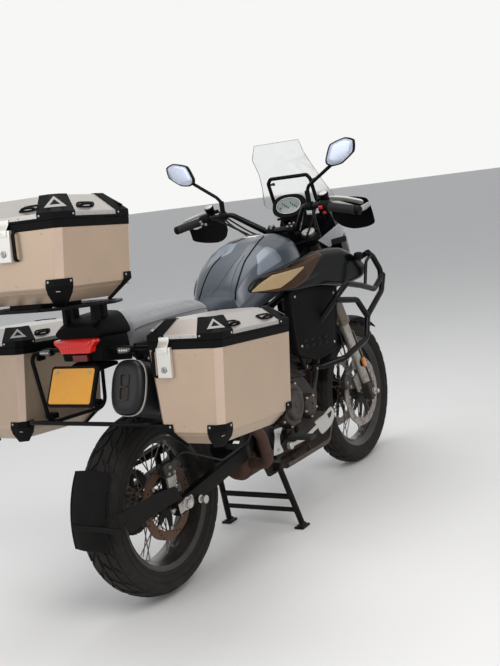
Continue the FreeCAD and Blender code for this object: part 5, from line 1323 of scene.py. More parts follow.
def upholstered(name, patch, finish, replaces):
    """A padded cover: the form is remeshed, swollen as cloth by pressure, held near its place, smoothed."""
    thing = piece(name, "root", finish, [patch], replaces=replaces, crease_angle=70)
    source = thing.data
    remesh = thing.modifiers.new("even mesh", "REMESH")
    remesh.mode = "VOXEL"
    remesh.voxel_size = 0.0055
    depsgraph = bpy.context.evaluated_depsgraph_get()
    even = bpy.data.meshes.new_from_object(thing.evaluated_get(depsgraph))
    thing.modifiers.remove(remesh)
    thing.data = even
    bpy.data.meshes.remove(source)
    count = len(even.vertices)
    before = np.empty(count * 3)
    even.vertices.foreach_get("co", before)
    cloth = thing.modifiers.new("cover", "CLOTH")
    cloth.settings.use_pressure = True
    cloth.settings.uniform_pressure_force = 4
    cloth.settings.effector_weights.gravity = 0
    cloth.point_cache.frame_start = 1
    cloth.point_cache.frame_end = 20
    for step in range(1, 21):
        bpy.context.scene.frame_set(step)
    depsgraph = bpy.context.evaluated_depsgraph_get()
    after = np.empty(count * 3)
    thing.evaluated_get(depsgraph).data.vertices.foreach_get("co", after)
    thing.modifiers.remove(cloth)
    bpy.context.scene.frame_set(1)
    before, after = before.reshape(-1, 3), after.reshape(-1, 3)
    shift = after - before
    far = np.linalg.norm(shift, axis=1)[:, None]
    shift = shift * np.minimum(1, COVER_RISE / np.maximum(far, 1e-9))
    base = before[:, 2:].min()
    hold = np.clip((before[:, 2:] - base) / FIRM_HEIGHT, 0, 1)
    even.vertices.foreach_set("co", (before + shift * hold).ravel())
    even.update()
    even.materials.clear()
    even.materials.append(finish)
    even.polygons.foreach_set("use_smooth", np.ones(len(even.polygons), bool))
    rounded = thing.modifiers.new("rounded", "SUBSURF")
    rounded.levels = 1
    rounded.render_levels = 1


rider = smooth_rings([seat_ring(x, *rest) for x, *rest in (
    (556, 60, 74, 856, 884), (520, 78, 98, 853, 886), (430, 98, 138, 852, 884), (368, 98, 134, 840, 904),
    (338, 96, 122, 838, 944), (332, 92, 114, 840, 950))], 34)
upholstered("rider_seat_cover", grid(rider), RIDER_COVER, ["rider_seat"])
pillion = smooth_rings([seat_ring(x, *rest) for x, *rest in (
    (328, 88, 112, 850, 952), (318, 92, 122, 848, 970), (285, 96, 129, 850, 980), (200, 92, 128, 862, 985),
    (110, 84, 123, 873, 986), (20, 72, 106, 880, 983), (-40, 62, 88, 886, 976), (-56, 54, 74, 890, 962))], 44)
upholstered("pillion_seat_cover", grid(pillion), PILLION_COVER, ["pillion_seat"])


WELT_RADIUS, WELT_LIFT = 1.7, 4.5


def seat_seam(rings, column, low, high):
    """A stitched welt along a seat at one column of its rings."""
    rows = np.linspace(low * (len(rings) - 1), high * (len(rings) - 1), 30)
    line = np.array([surface_point(rings, row, column * rings.shape[1]) for row in rows])
    away = (line - np.array([0, 0, 900.0])) * np.array([0, 1, 1])
    return carried(line + away / np.linalg.norm(away, axis=1)[:, None] * WELT_LIFT, circle(WELT_RADIUS, 8))


piece("seat_welts", "root", SEAM_THREAD,
      [seat_seam(pillion, c, 0.06, 0.94) for c in (0.31, 0.69)] + [seat_seam(rider, c, 0.08, 0.9)
            for c in (0.31, 0.69)])
covers = []
for sign in (1, -1):
    rows = []
    for x, y_in, y_out, low, high in ((340, 112, 128, 790, 862), (200, 108, 122, 812, 880),
                                      (60, 98, 112, 834, 892), (-78, 92, 104, 850, 905)):
        rows.append([(x, sign * y, z)
                     for y, z in round_ring([(y_in, low), (y_out, low + 4), (y_out, high - 6),
                            (y_in, high)], 20, 0.5)])
    patch = grid(smooth_rings(rows, 16))
    covers.append(patch if sign < 0 else inside_out(patch))
piece("tail_side_panels", "root", BLACK_PLASTIC, covers, replaces=["tail_cowl"], crease_angle=45)


# Side wings and shrouds

WING = [(592, 950), (636, 1000), (830, 1028), (1012, 1046), (1120, 1042), (1221, 1032), (1310, 995),
        (1385, 955), (1440, 905), (1392, 872), (1290, 866), (1190, 868), (1000, 902), (800, 916)]
WING_CENTRE = np.array([1060.0, 955.0])


def wing_reach(x):
    """How far out the wing stands along the bike: it starts on the tank's side and swells forward."""
    return np.interp(x, [588, 640, 700, 780, 880, 1440], [0.60, 0.70, 0.86, 0.965, 1.0, 1.0])


def wing_ring(y, share_x, share_z):
    """The wing's outline at one y, drawn toward its middle by shares of its length and height."""
    outline = round_ring(WING, 96, 0.55)
    outline = WING_CENTRE + (outline - WING_CENTRE) * np.array([share_x, share_z])
    return np.stack([outline[:, 0], y * wing_reach(outline[:, 0]), outline[:, 1]], -1)


wing_levels = ((164, 0.985, 0.96), (190, 1, 1), (201, 0.995, 0.975), (209, 0.985, 0.92), (214, 0.97, 0.84),
               (215.2, 0.945, 0.74), (215.5, 0.7, 0.5), (215.5, 0.2, 0.1))
wing = grid([wing_ring(*level) for level in wing_levels])
piece("side_wings", "root", GLOSS_BLACK, both([wing]), replaces=["side_fairings"], crease_angle=50)


def wing_face(points):
    """Outer y of the wing at a place: its full reach near the middle, falling off toward its edge."""
    points = np.asarray(points, float)
    outline = round_ring(WING, 96, 0.55) - WING_CENTRE
    flat = points - WING_CENTRE
    angle = np.arctan2(outline[:, 1], outline[:, 0])
    order = np.argsort(angle)
    far = np.linalg.norm(outline, axis=1)[order]
    limit = np.interp(np.arctan2(flat[:, 1], flat[:, 0]), angle[order], far, period=2 * math.pi)
    share = np.linalg.norm(flat, axis=1) / limit
    steep = np.abs(np.sin(np.arctan2(flat[:, 1] * 4, flat[:, 0])))
    marks = np.array([(0.70, 0.50), (0.945, 0.74), (0.97, 0.84), (0.985, 0.92), (0.995, 0.975), (1.0, 1.0)])
    rises = np.array([215.5, 215.2, 214, 209, 201, 190.0])
    along = np.interp(share, marks[:, 0], rises)
    upward = np.interp(share, marks[:, 1], rises)
    return (along * (1 - steep) + upward * steep) * wing_reach(points[:, 0])


def wing_panel(lower, upper, proud):
    """A panel laid on the wing's face between a lower and an upper line of (x, z) spots."""
    steps = 34
    place = np.linspace(0, 1, steps)
    lines = [np.stack([np.interp(place, np.linspace(0, 1, len(line)), np.array(line, float)[:, axis])
                       for axis in (0, 1)], -1) for line in (lower, upper)]
    across = np.linspace(0, 1, 18)[None, :, None]
    flat = lines[0][:, None] * (1 - across) + lines[1][:, None] * across
    y = (wing_face(flat.reshape(-1, 2)) + proud).reshape(steps, 18)
    rim = np.zeros((steps, 18), bool)
    rim[[0, -1]] = True
    rim[:, [0, -1]] = True
    return grid(np.insert(flat, 1, np.where(rim, y - proud - 1.0, y), axis=2), around=False)


brown = wing_panel([(600, 950), (680, 934), (800, 926), (900, 950), (980, 992), (1044, 1026)],
                   [(604, 954), (650, 1000), (800, 1019), (880, 1029), (960, 1037), (1020, 1040)], 1.2)
piece("side_brown_panels", "root", PANEL_PAINT, both([brown]), crease_angle=60)
sand = wing_panel([(600, 952), (660, 945), (720, 942), (790, 966), (884, 999)],
                  [(603, 955), (640, 978), (690, 1001), (790, 1003), (888, 1002)], 2.0)
piece("side_sand_flashes", "root", SAND_PAINT, both([sand]), crease_angle=60)
shroud_rows = [(800, 919), (1000, 905), (1188, 871), (1178, 820), (1165, 760), (1146, 700), (1124, 622),
               (1040, 608), (960, 606), (880, 630), (800, 664), (790, 780), (790, 885)]


def shroud_ring(y, share):
    """The shroud's outline at one y, drawn toward its middle by a share."""
    centre = np.array([980.0, 770.0])
    outline = centre + (round_ring(shroud_rows, 80, 0.7) - centre) * share
    return np.insert(outline, 1, y, axis=1)


shroud = grid([shroud_ring(153, 0.985), shroud_ring(176, 1), shroud_ring(181, 0.99), shroud_ring(184, 0.965),
               shroud_ring(182, 0.90), shroud_ring(184, 0.86), shroud_ring(183.4, 0.3)])
piece("side_shrouds", "root", BLACK_PLASTIC, both([shroud]), crease_angle=35)
louvres = [brick((850 + k * 55, 180, top - 12 - k * 6), (882 + k * 55, 186, top - k * 6))
           for top in (712, 688) for k in range(4)]
piece("shroud_louvres", "root", BLACK_COAT, both(louvres), bevel=2, slot="black_plastic")
piece("shroud_bolts", "root", BOLT_STEEL,
      both([dome((x, 184, z), (0, 1, 0), 6, 3, 16)
            for x, z in ((830, 890), (1150, 850), (1105, 650), (835, 690))]))


# Nose, lamp and screen

NOSE = ((1330, ((160, 985), (162, 1010), (150, 1080), (122, 1172), (60, 1178))),
        (1362, ((160, 966), (162, 990), (150, 1076), (118, 1174), (58, 1178))),
        (1395, ((158, 950), (160, 975), (146, 1070), (112, 1164), (56, 1169))),
        (1440, ((132, 950), (138, 985), (130, 1058), (100, 1148), (50, 1154))),
        (1480, ((100, 957), (110, 985), (112, 1040), (88, 1122), (44, 1129))))
nose = [body_section(x, ((outline[0][0] * 0.55, outline[0][1] + 1),) + outline, 72, 0.35)
        for x, outline in NOSE]
piece("nose_shell", "root", GLOSS_BLACK, [grid(smooth_rings(nose, 26))], replaces=["nose_cowl"],
      crease_angle=50, slot="black_plastic")
beak = [body_section(x, outline, 40, 0.45)
        for x, outline in ((1440, ((60, 952), (95, 956), (94, 970), (60, 975))),
                           (1560, ((40, 937), (62, 940), (58, 962), (36, 966))),
                           (1660, ((14, 922), (29, 924), (26, 934), (14, 936))))]
piece("nose_beak", "root", BLACK_PLASTIC, [grid(smooth_rings(beak, 20))], crease_angle=45)
lamp_rows = [(1480, 90, 992, 1118), (1494, 88, 994, 1112), (1504, 80, 998, 1106), (1511, 66, 1004, 1096)]
lamp_rings = []
for x, half, low, high in lamp_rows:
    ring = round_ring([(half * 0.5, low), (half, low + 14), (half * 0.92, high - 26), (half * 0.6, high),
                       (-half * 0.6, high), (-half * 0.92, high - 26), (-half, low + 14),
                       (-half * 0.5, low)], 64, 0.4)
    lamp_rings.append(np.insert(ring, 0, x, axis=1))
piece("headlamp_glass", "root", HEADLAMP_LENS, [grid(lamp_rings)], replaces=["headlamp"], crease_angle=40,
      bevel=1)
front_pods, front_lenses = [], []
for sign in (1, -1):
    rings = [[(x, sign * y, z)
              for x, z in round_ring([(1318 - h, 976 - t), (1318 + h, 976 - t), (1318 + h, 976 + t),
                                      (1318 - h, 976 + t)], 28, 0.3)]
             for y, h, t in ((222, 12, 9), (228, 19, 15), (244, 18, 14), (252, 12, 9))]
    patch = grid(smooth_rings(rings, 12))
    front_pods.append(patch if sign < 0 else inside_out(patch))
    front_pods.append(carried([(1318, sign * 200, 961), (1318, sign * 212, 966), (1318, sign * 226, 972)],
                              circle(6.5, 12)))
    front_lenses.append(turned([(0, 10), (3, 9), (5, 5)], (1337 - 2, sign * 238, 976), (1, 0, 0), 24))
piece("front_indicator_pods", "root", BLACK_PLASTIC, front_pods)
piece("front_indicator_lenses", "root", AMBER_LENS, front_lenses)

SCREEN_ROWS = ((1402, 1181, 128, 46), (1369, 1235, 178, 70), (1312, 1316, 150, 60), (1266, 1375, 135, 50),
               (1205, 1440, 127, 40), (1183, 1498, 108, 20))
share = np.linspace(-1, 1, 31)
screen_rows = []
for x, z, half, sag in SCREEN_ROWS:
    front = np.stack([x - sag * share ** 2, half * share, np.full(31, float(z))], -1)
    screen_rows.append(np.concatenate([front, (front - np.array([4.0, 0, 0]))[::-1]]))
screen = 0.35 * smooth_rings(screen_rows, 46)
straight = np.array([[np.interp(place, range(6), [row[k][axis] for row in screen_rows]) for k in range(62)
                      for axis in range(3)] for place in np.linspace(0, 5, 46)]).reshape(46, 62, 3)
piece("windscreen_sheet", "root", SCREEN, [grid(screen + 0.65 * straight)], replaces=["windscreen"],
      crease_angle=40)
edge_line = [screen_rows[k][0] for k in range(6)] + [screen_rows[5][15]] + [screen_rows[k][30]
        for k in range(5, -1, -1)]
piece("windscreen_edge", "root", SCREEN_EDGE,
      [carried(np.array([np.array(p) - np.array([2.0, 0, 0]) for p in edge_line]), circle(1.5, 8))])
deflector = plate([(1114, 1076), (1352, 1132), (1370, 1100), (1330, 1060), (1203, 1036)], "y", 164, 167)
piece("side_deflectors", "root", FROSTED_SCREEN, both([deflector]), bevel=0.8)
piece("deflector_brackets", "root", BLACK_PLASTIC, both([brick((1225, 158, 1040), (1360, 171, 1066))]),
      bevel=4)
piece("screen_hoop", "root", BLACK_COAT,
      [pipe([(1330, 96, 1150), (1316, 96, 1150), (1258, 104, 1242), (1228, 104, 1330), (1226, 90, 1349),
             (1226, 0, 1349), (1226, -90, 1349), (1228, -104, 1330), (1258, -104, 1242), (1316, -96, 1150),
             (1330, -96, 1150)], 8, 14, 16), brick((1238, -90, 1168), (1329.6, 90, 1178)),
       brick((1234, -60, 1168), (1240, 60, 1240)), brick((1205, -40, 1196), (1238, 40, 1222))], bevel=1.2,
      replaces=["screen_frame"])
piece("screen_struts", "root", BLACK_COAT,
      both([barrel((1254, 104, 1252), (1325, 104, 1252), 5, 12),
            barrel((1230, 104, 1325), (1272, 104, 1325), 5, 12)]))
piece("screen_bolts", "root", BOLT_STEEL,
      both([turned([(0, 8), (3, 7), (5, 3)], (x, 104, z), (1, 0, 0.4), 16)
            for x, z in ((1330, 1252), (1272, 1325))]))
piece("nose_carrier", "root", BLACK_COAT, [moved(brick((36, -13, 700), (150, 13, 732)), fork)], bevel=3)


def oval_at(half_x, half_y, level, power=2.6):
    """A flat superellipse in the display's frame."""
    return oval_ring(level, half_x, half_y, 60, power)[:, [1, 2, 0]]


piece("dash_housing", "root", BLACK_PLASTIC,
      [moved(grid([oval_at(38, 64, -30), oval_at(44, 72, -18), oval_at(51, 80, -12), oval_at(52, 81, -4),
                   oval_at(50, 79, 0), oval_at(40, 68, -1)]), at_dash)], replaces=["dashboard"],
      crease_angle=40)
piece("dash_display", "root", DISPLAY,
      [moved(grid([oval_at(32, 56, -2.5, 2.2), oval_at(32, 56, 0.6, 2.2), oval_at(26, 50, 1.6, 2.2)]),
             at_dash)], crease_angle=40)
piece("dash_bezel", "root", CAST_SILVER,
      [moved(grid([oval_at(33, 57, 0.2, 2.2), oval_at(33, 57, 1.8, 2.2), oval_at(35.5, 59.5, 1.6, 2.2),
                   oval_at(35.5, 59.5, 0.2, 2.2)], loop=True), at_dash)])
marks = [brick((-14 + 7 * (k % 4), -44 + 10 * k, 1.7), (-8 + 7 * (k % 4), -38 + 10 * k, 2.1))
         for k in range(9)]
piece("dash_readout", "root", BLACK_COAT, [moved(mark, at_dash) for mark in marks], slot="display")


# Steering: bar, grips, levers, guards, mirrors, clamps and fork. Places here are in the fork frame.

BAR = 905.0
GRIP_START = np.array([-62.0, 262.0, BAR + 136])
GRIP_LINE = np.array([-88.0, 425.0, BAR + 112]) - GRIP_START
GRIP_LINE = unit(GRIP_LINE)


def at_grip(distance, ahead=0.0, above=0.0):
    """A place on the left grip's line, moved ahead and above it."""
    return GRIP_START + GRIP_LINE * distance + np.array([ahead, 0, above])


def forked(patches):
    """Patches of the fork frame in the bike frame."""
    return [moved(patch, fork) for patch in patches]


half_bar = eased([(14, 78, BAR), (-36, 175, BAR + 126), (-62, 262, BAR + 136), (-88, 425, BAR + 112)], 34)
bar_line = np.concatenate([half_bar[::-1] * MIRRORED, [[14, 0, BAR]], half_bar])
bar_radius = np.interp(np.abs(bar_line[:, 1]), [110, 180], [14.0, 11.0])
piece("handlebar_tube", "steering", BAR_COAT,
      forked([carried(bar_line, circle(1, 20)[None] * bar_radius[:, None, None])]), replaces=["handlebar"],
      crease_angle=60)
riser_parts = [brick((-6, 33, 848), (34, 67, 912))]
riser_parts += [carried([(14, 33, BAR + 4), (14, 67, BAR + 4)],
                        [(17 * math.cos(a), 15 * math.sin(a))
                         for a in np.linspace(0, 2 * math.pi, 24, endpoint=False)], (0, 0, 1))]
piece("bar_risers", "steering", BLACK_COAT, forked(both(riser_parts)), bevel=3)
piece("bar_clamp_bolts", "steering", BOLT_STEEL,
      forked(both([turned([(0, 4.5), (5, 4.5), (6, 3.5)], (x, y, BAR + 17), (0, 0, 1), 12) for x in (1, 27)
                   for y in (40, 60)])))
CLAMP = [(-34, -30), (-20, -52), (6, -136), (40, -146), (72, -136), (78, -74), (36, 0), (78, 74), (72, 136),
         (40, 146), (6, 136), (-20, 52), (-34, 30)]
clamp_outline = round_ring([(x, -y) for x, y in CLAMP][::-1], 78, 0.35)
piece("fork_clamps", "steering", BLACK_COAT,
      forked([plate(clamp_outline, "z", low, low + 28) for low in (586, 821)]), bevel=3,
      replaces=["triple_clamps"])
piece("steering_stem", "steering", BARE_STEEL,
      forked([turned([(0, 22), (9, 22), (12, 18), (13, 8)], (0, 0, 849), (0, 0, 1), 30),
              barrel((0, 0, 588), (0, 0, 840), 19.6, 24)]))
caps = [turned([(0, 28.5), (6, 28.5), (8, 26), (8, 20), (5, 19), (5, 9), (9, 8), (9, 2)], (38, 102, 865),
               (0, 0, 1), 32)]
piece("fork_caps", "steering", CAST_SILVER, forked(both(caps)))
upper = [turned([(400, 26), (402, 28), (640, 28), (866, 28), (868, 26)], (38, 102, 0), (0, 0, 1), 36),
         turned([(392, 22.5), (392, 30), (398, 31), (412, 31), (418, 28.3)], (38, 102, 0), (0, 0, 1), 36)]
piece("fork_outer_tubes", "steering", FORK_TUBE, forked(both(upper)), replaces=["fork"])
lower = [turned([(58, 21.5), (60, 22), (400, 22)], (38, 102, 0), (0, 0, 1), 32)]
piece("fork_stanchions", "steering", BARE_STEEL, forked(both(lower)))
lug_outline = [(x + 38, z)
               for x, z in round_ring([(-27, -32), (27, -32), (28, 8), (24, 60), (-24, 60), (-28, 8)], 40,
            0.4)]
guard_rows = []
for z, spread in ((34, 0.8), (60, 0.95), (180, 1.0), (290, 1.0), (326, 0.85)):
    angle = np.radians(np.linspace(-72, 72, 15))
    outer = np.stack([38 + 30 * np.cos(angle * spread) + 4, 102 + 29 * np.sin(angle * spread),
                      np.full(15, float(z))], -1)
    inner = outer - np.stack([2.4 * np.cos(angle), 2.4 * np.sin(angle), np.zeros(15)], -1)
    guard_rows.append(np.concatenate([outer, inner[::-1]]))
piece("fork_lugs", "steering", CASTING, forked(both([plate(lug_outline, "y", 80, 124)])), bevel=5,
      slot="black_metal", crease_angle=50)
piece("fork_guards", "steering", GUARD_SAND, forked(both([grid(smooth_rings(guard_rows, 20))])),
      crease_angle=50)
reflector = [np.stack([38 + 15 * s * np.cos(a), np.full(28, y), 168 + 24 * s * np.sin(a)], -1)
             for a in [np.linspace(0, 2 * math.pi, 28, endpoint=False)]
             for y, s in ((128, 1), (135, 1), (137, 0.8), (137.5, 0.3))]
piece("fork_reflectors", "steering", AMBER_LENS, forked(both([grid(reflector[::-1])])))
piece("fork_reflector_rims", "steering", BLACK_PLASTIC,
      forked(both([turned([(-4, 20), (2, 20), (3, 18)], (38, 126, 168), (0, 1, 0), 24)])))

arch = np.radians(np.linspace(-42, 66, 34))
fender_rows = []
for across in np.linspace(-1, 1, 17):
    drop = 12 * abs(across) ** 3
    fender_rows.append([(38 + (353 - drop) * math.sin(a), across * 66, (353 - drop) * math.cos(a))
                        for a in arch])
outer = np.array(fender_rows).transpose(1, 0, 2)
inner = np.array([38.0, 0, 0]) + (outer - np.array([38.0, 0, 0])) * np.array([0.985, 0.97, 0.985])
piece("front_fender", "steering", BLACK_PLASTIC,
      forked([grid(np.concatenate([outer, inner[:, ::-1]], axis=1))]), bevel=1, replaces=["front_mudguard"],
      crease_angle=50)
stays = [plate(round_ring([(8, 290), (55, 290), (55, 350), (30, 356), (8, 350)], 30, 0.5), "y", 62, 66.5),
         brick((22, 65, 297), (54, 80, 321)), pipe([(48, 66, 300), (58, 69, 190), (40, 79, 90)], 4.5, 20, 12)]
piece("fender_stays", "steering", BLACK_COAT, forked(both(stays)), bevel=1.5)
caliper = round_ring([(-24, 70), (-50, 82), (-84, 110), (-95, 130), (-94, 148), (-72, 168), (-54, 174),
                      (-38, 150), (-22, 118)], 60, 0.35)
piece("front_caliper_bodies", "steering", CALIPER_BLACK, forked(both([plate(caliper, "y", 64.7, 79.5)])),
      bevel=3.5, replaces=["front_calipers"], crease_angle=45)
piece("front_caliper_brackets", "steering", BARE_STEEL, forked(both([
    plate([(-26, 42), (9, 42), (9, 62), (14, 64), (14, 126), (-26, 118)], "y", 80, 91)])), bevel=2)
piece("front_caliper_bolts", "steering", BOLT_STEEL, forked(both([
    turned([(0, 6.5), (6, 6.5), (7.5, 5)], (x, 91, z), (0, 1, 0), 16) for x, z in ((-10, 56), (-14, 112))] + [
    turned([(0, 8), (3, 8), (4, 6)], (x, 79.5, z), (0, 1, 0), 16) for x, z in ((-58, 104), (-74, 138))])))
axle_end = [turned([(0, 10), (0, 16), (14, 17), (15, 14), (15, 9)], (38, 121, 0), (0, 1, 0), 24),
            barrel((38, 60, 0), (38, 81, 0), 14, 24, 1), barrel((38, -150, 0), (38, 136, 0), 9.9, 20)]
piece("front_axle_ends", "steering", CAST_SILVER, forked(both(axle_end[:2]) + axle_end[2:]),
      replaces=["front_axle"])

# Grips, switches, levers and cylinders
grip_profile = [(48, 13)]
for ridge in range(22):
    start = 52 + ridge * 4.8
    grip_profile += [(start, 15.6), (start + 0.9, 17.2), (start + 3.1, 17.2), (start + 4.0, 15.6)]
grip_profile += [(160, 18.5), (163, 18.5), (164, 12)]
grips = [turned(grip_profile, GRIP_START, GRIP_LINE, 32),
         turned([(0, 19), (3, 20.5), (4, 20.5), (6, 18)], at_grip(46), GRIP_LINE, 32)]
piece("grip_rubbers", "steering", GRIP_RUBBER, forked(both(grips)), replaces=["controls"])
switch = [turned([(4, 18), (6, 22), (16, 23.5), (42, 23.5), (49, 21), (50, 18)], GRIP_START, GRIP_LINE, 28),
          brick(at_grip(12, -26, -22), at_grip(44, -4, 4))]
pot = [turned([(0, 15), (2, 18.5), (26, 19), (29, 20.5), (36, 20.5), (38, 18), (38.5, 4)],
              at_grip(14, 34, 0), (0, 0, 1), 28), pipe([at_grip(14, 34, 6), at_grip(14, 12, 8)], 9, 0, 16),
       pipe([at_grip(10, 36, 8), at_grip(-22, 34, 6)], 8, 0, 16)]
piece("switch_housings", "steering", BLACK_PLASTIC, forked(both(switch)), bevel=2)
piece("fluid_reservoirs", "steering", BLACK_COAT, forked(both(pot)), bevel=1, slot="black_plastic")
piece("reservoir_lids", "steering", CAST_SILVER,
      forked(both([turned([(38, 17), (39.6, 16.5), (40.5, 13), (40.8, 3)], at_grip(14, 34, 0), (0, 0, 1),
                          28)])))
blade = [at_grip(6, 34, 5), at_grip(20, 46, 4), at_grip(44, 56, 4), at_grip(90, 62, 4), at_grip(140, 60, 3),
         at_grip(176, 58, 0)]
blade_line = curve(blade, 26)
blade_size = np.interp(np.linspace(0, 1, 26), [0, 0.15, 0.8, 0.95, 1], [7, 11, 10.5, 11, 6])
blade_section = np.array([(0.42 * math.cos(a), math.sin(a))
                          for a in np.linspace(0, 2 * math.pi, 16, endpoint=False)])
piece("hand_levers", "steering", LEVER_SILVER,
      forked(both([carried(blade_line, blade_section[None] * blade_size[:, None, None], (0, 0, 1))])),
      crease_angle=60)
piece("lever_pivots", "steering", BOLT_STEEL,
      forked(both([turned([(-14, 5), (-14, 8), (12, 8), (14, 6), (14, 2)], at_grip(14, 44, 2), (0, 0, 1),
                          18)])))
reds = [brick(at_grip(18, -30, 2) * MIRRORED - np.array([0, 8, 0]),
              at_grip(18, -20, 14) * MIRRORED + np.array([0, 8, 0])),
        brick(at_grip(30, -31, -18) * MIRRORED - np.array([0, 6, 0]),
              at_grip(30, -22, -8) * MIRRORED + np.array([0, 6, 0]))]
piece("right_red_switches", "steering", RED_SWITCH, forked(reds), bevel=2)
rockers = [brick(at_grip(16, -31, -14) - np.array([0, 5, 0]), at_grip(16, -24, -4) + np.array([0, 5, 0])),
           brick(at_grip(32, -31, -6) - np.array([0, 5, 0]), at_grip(32, -24, 4) + np.array([0, 5, 0])),
           brick(at_grip(34, -31, 8) - np.array([0, 5, 0]), at_grip(34, -24, 14) + np.array([0, 5, 0]))]
piece("left_rockers", "steering", GREY_INSET, forked(rockers), bevel=1.5)

# Hand guards
guard_shape = ((258, 30, 96, 6), (285, -6, 118, 8), (330, -26, 118, 10), (390, -22, 116, 6),
               (432, -4, 112, -6), (444, 10, 104, -12))
rows = []
for y, foot, head, x in guard_shape:
    height = np.linspace(0, 1, 12)
    bulge = 5 * np.sin(math.pi * height)
    front = np.stack([x + 4 + bulge + 4 * height, np.full(12, float(y)),
                      BAR + foot + (head - foot) * height], -1)
    back = front - np.array([4.5, 0, 0])
    rows.append(np.concatenate([front, back[::-1]]))
shells = [grid(smooth_rings(rows, 26)[::-1])]
piece("guard_shells", "steering", BLACK_PLASTIC, forked(both(shells)), bevel=1, replaces=["hand_guards"],
      crease_angle=50)
bone = [(-88, 430, BAR + 112), (-66, 446, BAR + 108), (-24, 449, BAR + 96), (-8, 440, BAR + 84),
        (-3, 400, BAR + 66), (2, 350, BAR + 84), (4, 300, BAR + 104), (0, 262, BAR + 112),
        (-40, 238, BAR + 126)]
bone_line = curve(bone, 54)
bone_section = np.array([(-2.5, -9), (2.5, -9), (2.5, 9), (-2.5, 9)])
piece("guard_backbones", "steering", LEVER_SILVER,
      forked(both([carried(bone_line, bone_section, (0, 0, 1))])), bevel=1)
piece("bar_end_weights", "steering", BLACK_COAT,
      forked(both([turned([(166, 11), (168, 17), (182, 18), (186, 15), (187, 5)], GRIP_START, GRIP_LINE,
                          28)])))

# Mirrors, placed from the middle of the bar, in the bike frame
CROWN = fork((14, 0, BAR))
MIRROR = [(318, 264), (345, 320), (412, 338), (449, 324), (442, 279), (385, 240), (345, 234), (320, 244)]


def mirror_ring(x, scale):
    """The mirror's outline at one x, drawn toward its middle by a scale."""
    outline = round_ring(MIRROR, 64, 0.55)
    middle = np.array([385.0, 286.0])
    return CROWN + np.insert(middle + (outline - middle) * scale, 0, x, axis=1)


head_rings = [mirror_ring(x, s)
              for x, s in ((-98, 0.45), (-104, 0.72), (-114, 0.92), (-124, 0.99), (-134, 1.0),
                           (-138, 0.985), (-138, 0.93), (-134.5, 0.92))]
heads = [grid(np.array(head_rings)[:, ::-1])]
piece("mirror_housings", "steering", BLACK_PLASTIC, both(heads), replaces=["mirrors"],
      crease_angle=50)
pane = grid(np.array([mirror_ring(-135.4, 0.925), mirror_ring(-136.6, 0.91),
                      mirror_ring(-137.2, 0.6)])[:, ::-1])
piece("mirror_panes", "steering", MIRROR_GLASS, both([pane]), replaces=["mirror_glass"], crease_angle=60)
clamp_middle = fork(GRIP_START + (np.array([-36.0, 175, BAR + 126]) - GRIP_START) * 0.6)
stem = [pipe([clamp_middle, clamp_middle + np.array([-2, -2, 20])], 9, 0, 16),
        pipe([clamp_middle + np.array([-2, -2, 18]), clamp_middle + np.array([-4, -3, 62])], 10.5, 0, 18),
        pipe([clamp_middle + np.array([-4, -3, 58]), CROWN + np.array([-122, 222, 172]),
              CROWN + np.array([-117, 330, 240]), CROWN + np.array([-110, 366, 268])], 7, 16, 16),
        turned([(-16, 14), (-14, 18), (14, 18), (16, 14)], clamp_middle, fork(GRIP_START) - clamp_middle,
               24)]
piece("mirror_stems", "steering", BLACK_COAT, both(stem), bevel=1)

# Cables and hoses
hoses = [[at_grip(-22, 34, 6), at_grip(-60, 26, -44), (30, 150, 890), (88, 112, 836), (88, 98, 700),
          (70, 70, 520), (38, 72, 380), (-20, 84, 200)],
         [at_grip(-22, 34, 6), at_grip(-56, 22, -60), (20, 166, 880), (92, 116, 800), (84, 92, 640)]]
lines = [carried(curve(route, 40), circle(3.6, 10)) for route in hoses]
throttle_route = ((-60, 240, BAR + 126), (-32, 186, BAR + 56), (2, 112, BAR - 36), (30, 48, 800))
lines.append(carried(curve(throttle_route, 30), circle(4.5, 10)))
piece("control_hoses", "steering", HOSE_RUBBER, forked(both(lines)))

# Crash bars

def crash_tube(points, bend, radius=12.5):
    """One tube of the crash bars along an eased route."""
    return pipe(points, radius, bend, 20)


bars = [crash_tube([(970, 96, 690), (1010, 160, 735), (1070, 245, 850), (1121, 265, 889), (1250, 268, 858),
                    (1372, 265, 822), (1483, 262, 868), (1404, 262, 960), (1370, 257, 984)], 34),
        crash_tube([(1483, 262, 868), (1443, 264, 801), (1275, 265, 722), (1245, 264, 632),
                    (1060, 250, 590), (1000, 165, 568), (925, 128, 584)], 34),
        crash_tube([(1062, 232, 832), (1202, 262, 806), (1275, 265, 722)], 30),
        crash_tube([(1374, 258, 982), (1374, 150, 936)], 0),
        crash_tube([(1288, 267, 854), (1330, 264, 950), (1392, 262, 972)], 30, 7)]
piece("crash_tubes", "root", BAR_COAT, both(bars), replaces=["crash_bars"], crease_angle=50)
welds = [turned([(-4, 12.6), (-2, 14.2), (2, 14.2), (4, 12.6)], place, axis, 20) for place, axis in (
    ((1275, 265, 722), (0.6, 0, 1)), ((1068, 236, 831), (1, 0.3, -0.2)), ((1478, 262, 868), (1, 0, 0.4)),
    ((1374, 254, 980), (0, 1, 0.4)))]
piece("crash_tube_welds", "root", BAR_COAT, both(welds))
piece("crash_tube_clamps", "root", BLACK_COAT, both([
    turned([(-12, 13), (-12, 17), (12, 17), (12, 13)], (1374, 200, 958), (0, 1, 0.43), 24),
    turned([(-11, 13), (-11, 18), (11, 18), (11, 13)], (985, 118, 706), (40, 64, 45), 24),
    turned([(-11, 13), (-11, 18), (11, 18), (11, 13)], (962, 146, 576), (75, 37, -16), 24)]), bevel=1)
piece("crash_tube_bolts", "root", BOLT_STEEL,
      both([turned([(0, 6), (4, 6), (5, 4)], place, (0, 1, 0), 16)
            for place in ((1374, 200, 976), (985, 134, 700), (962, 164, 570))]))


# Frame, engine and the parts below

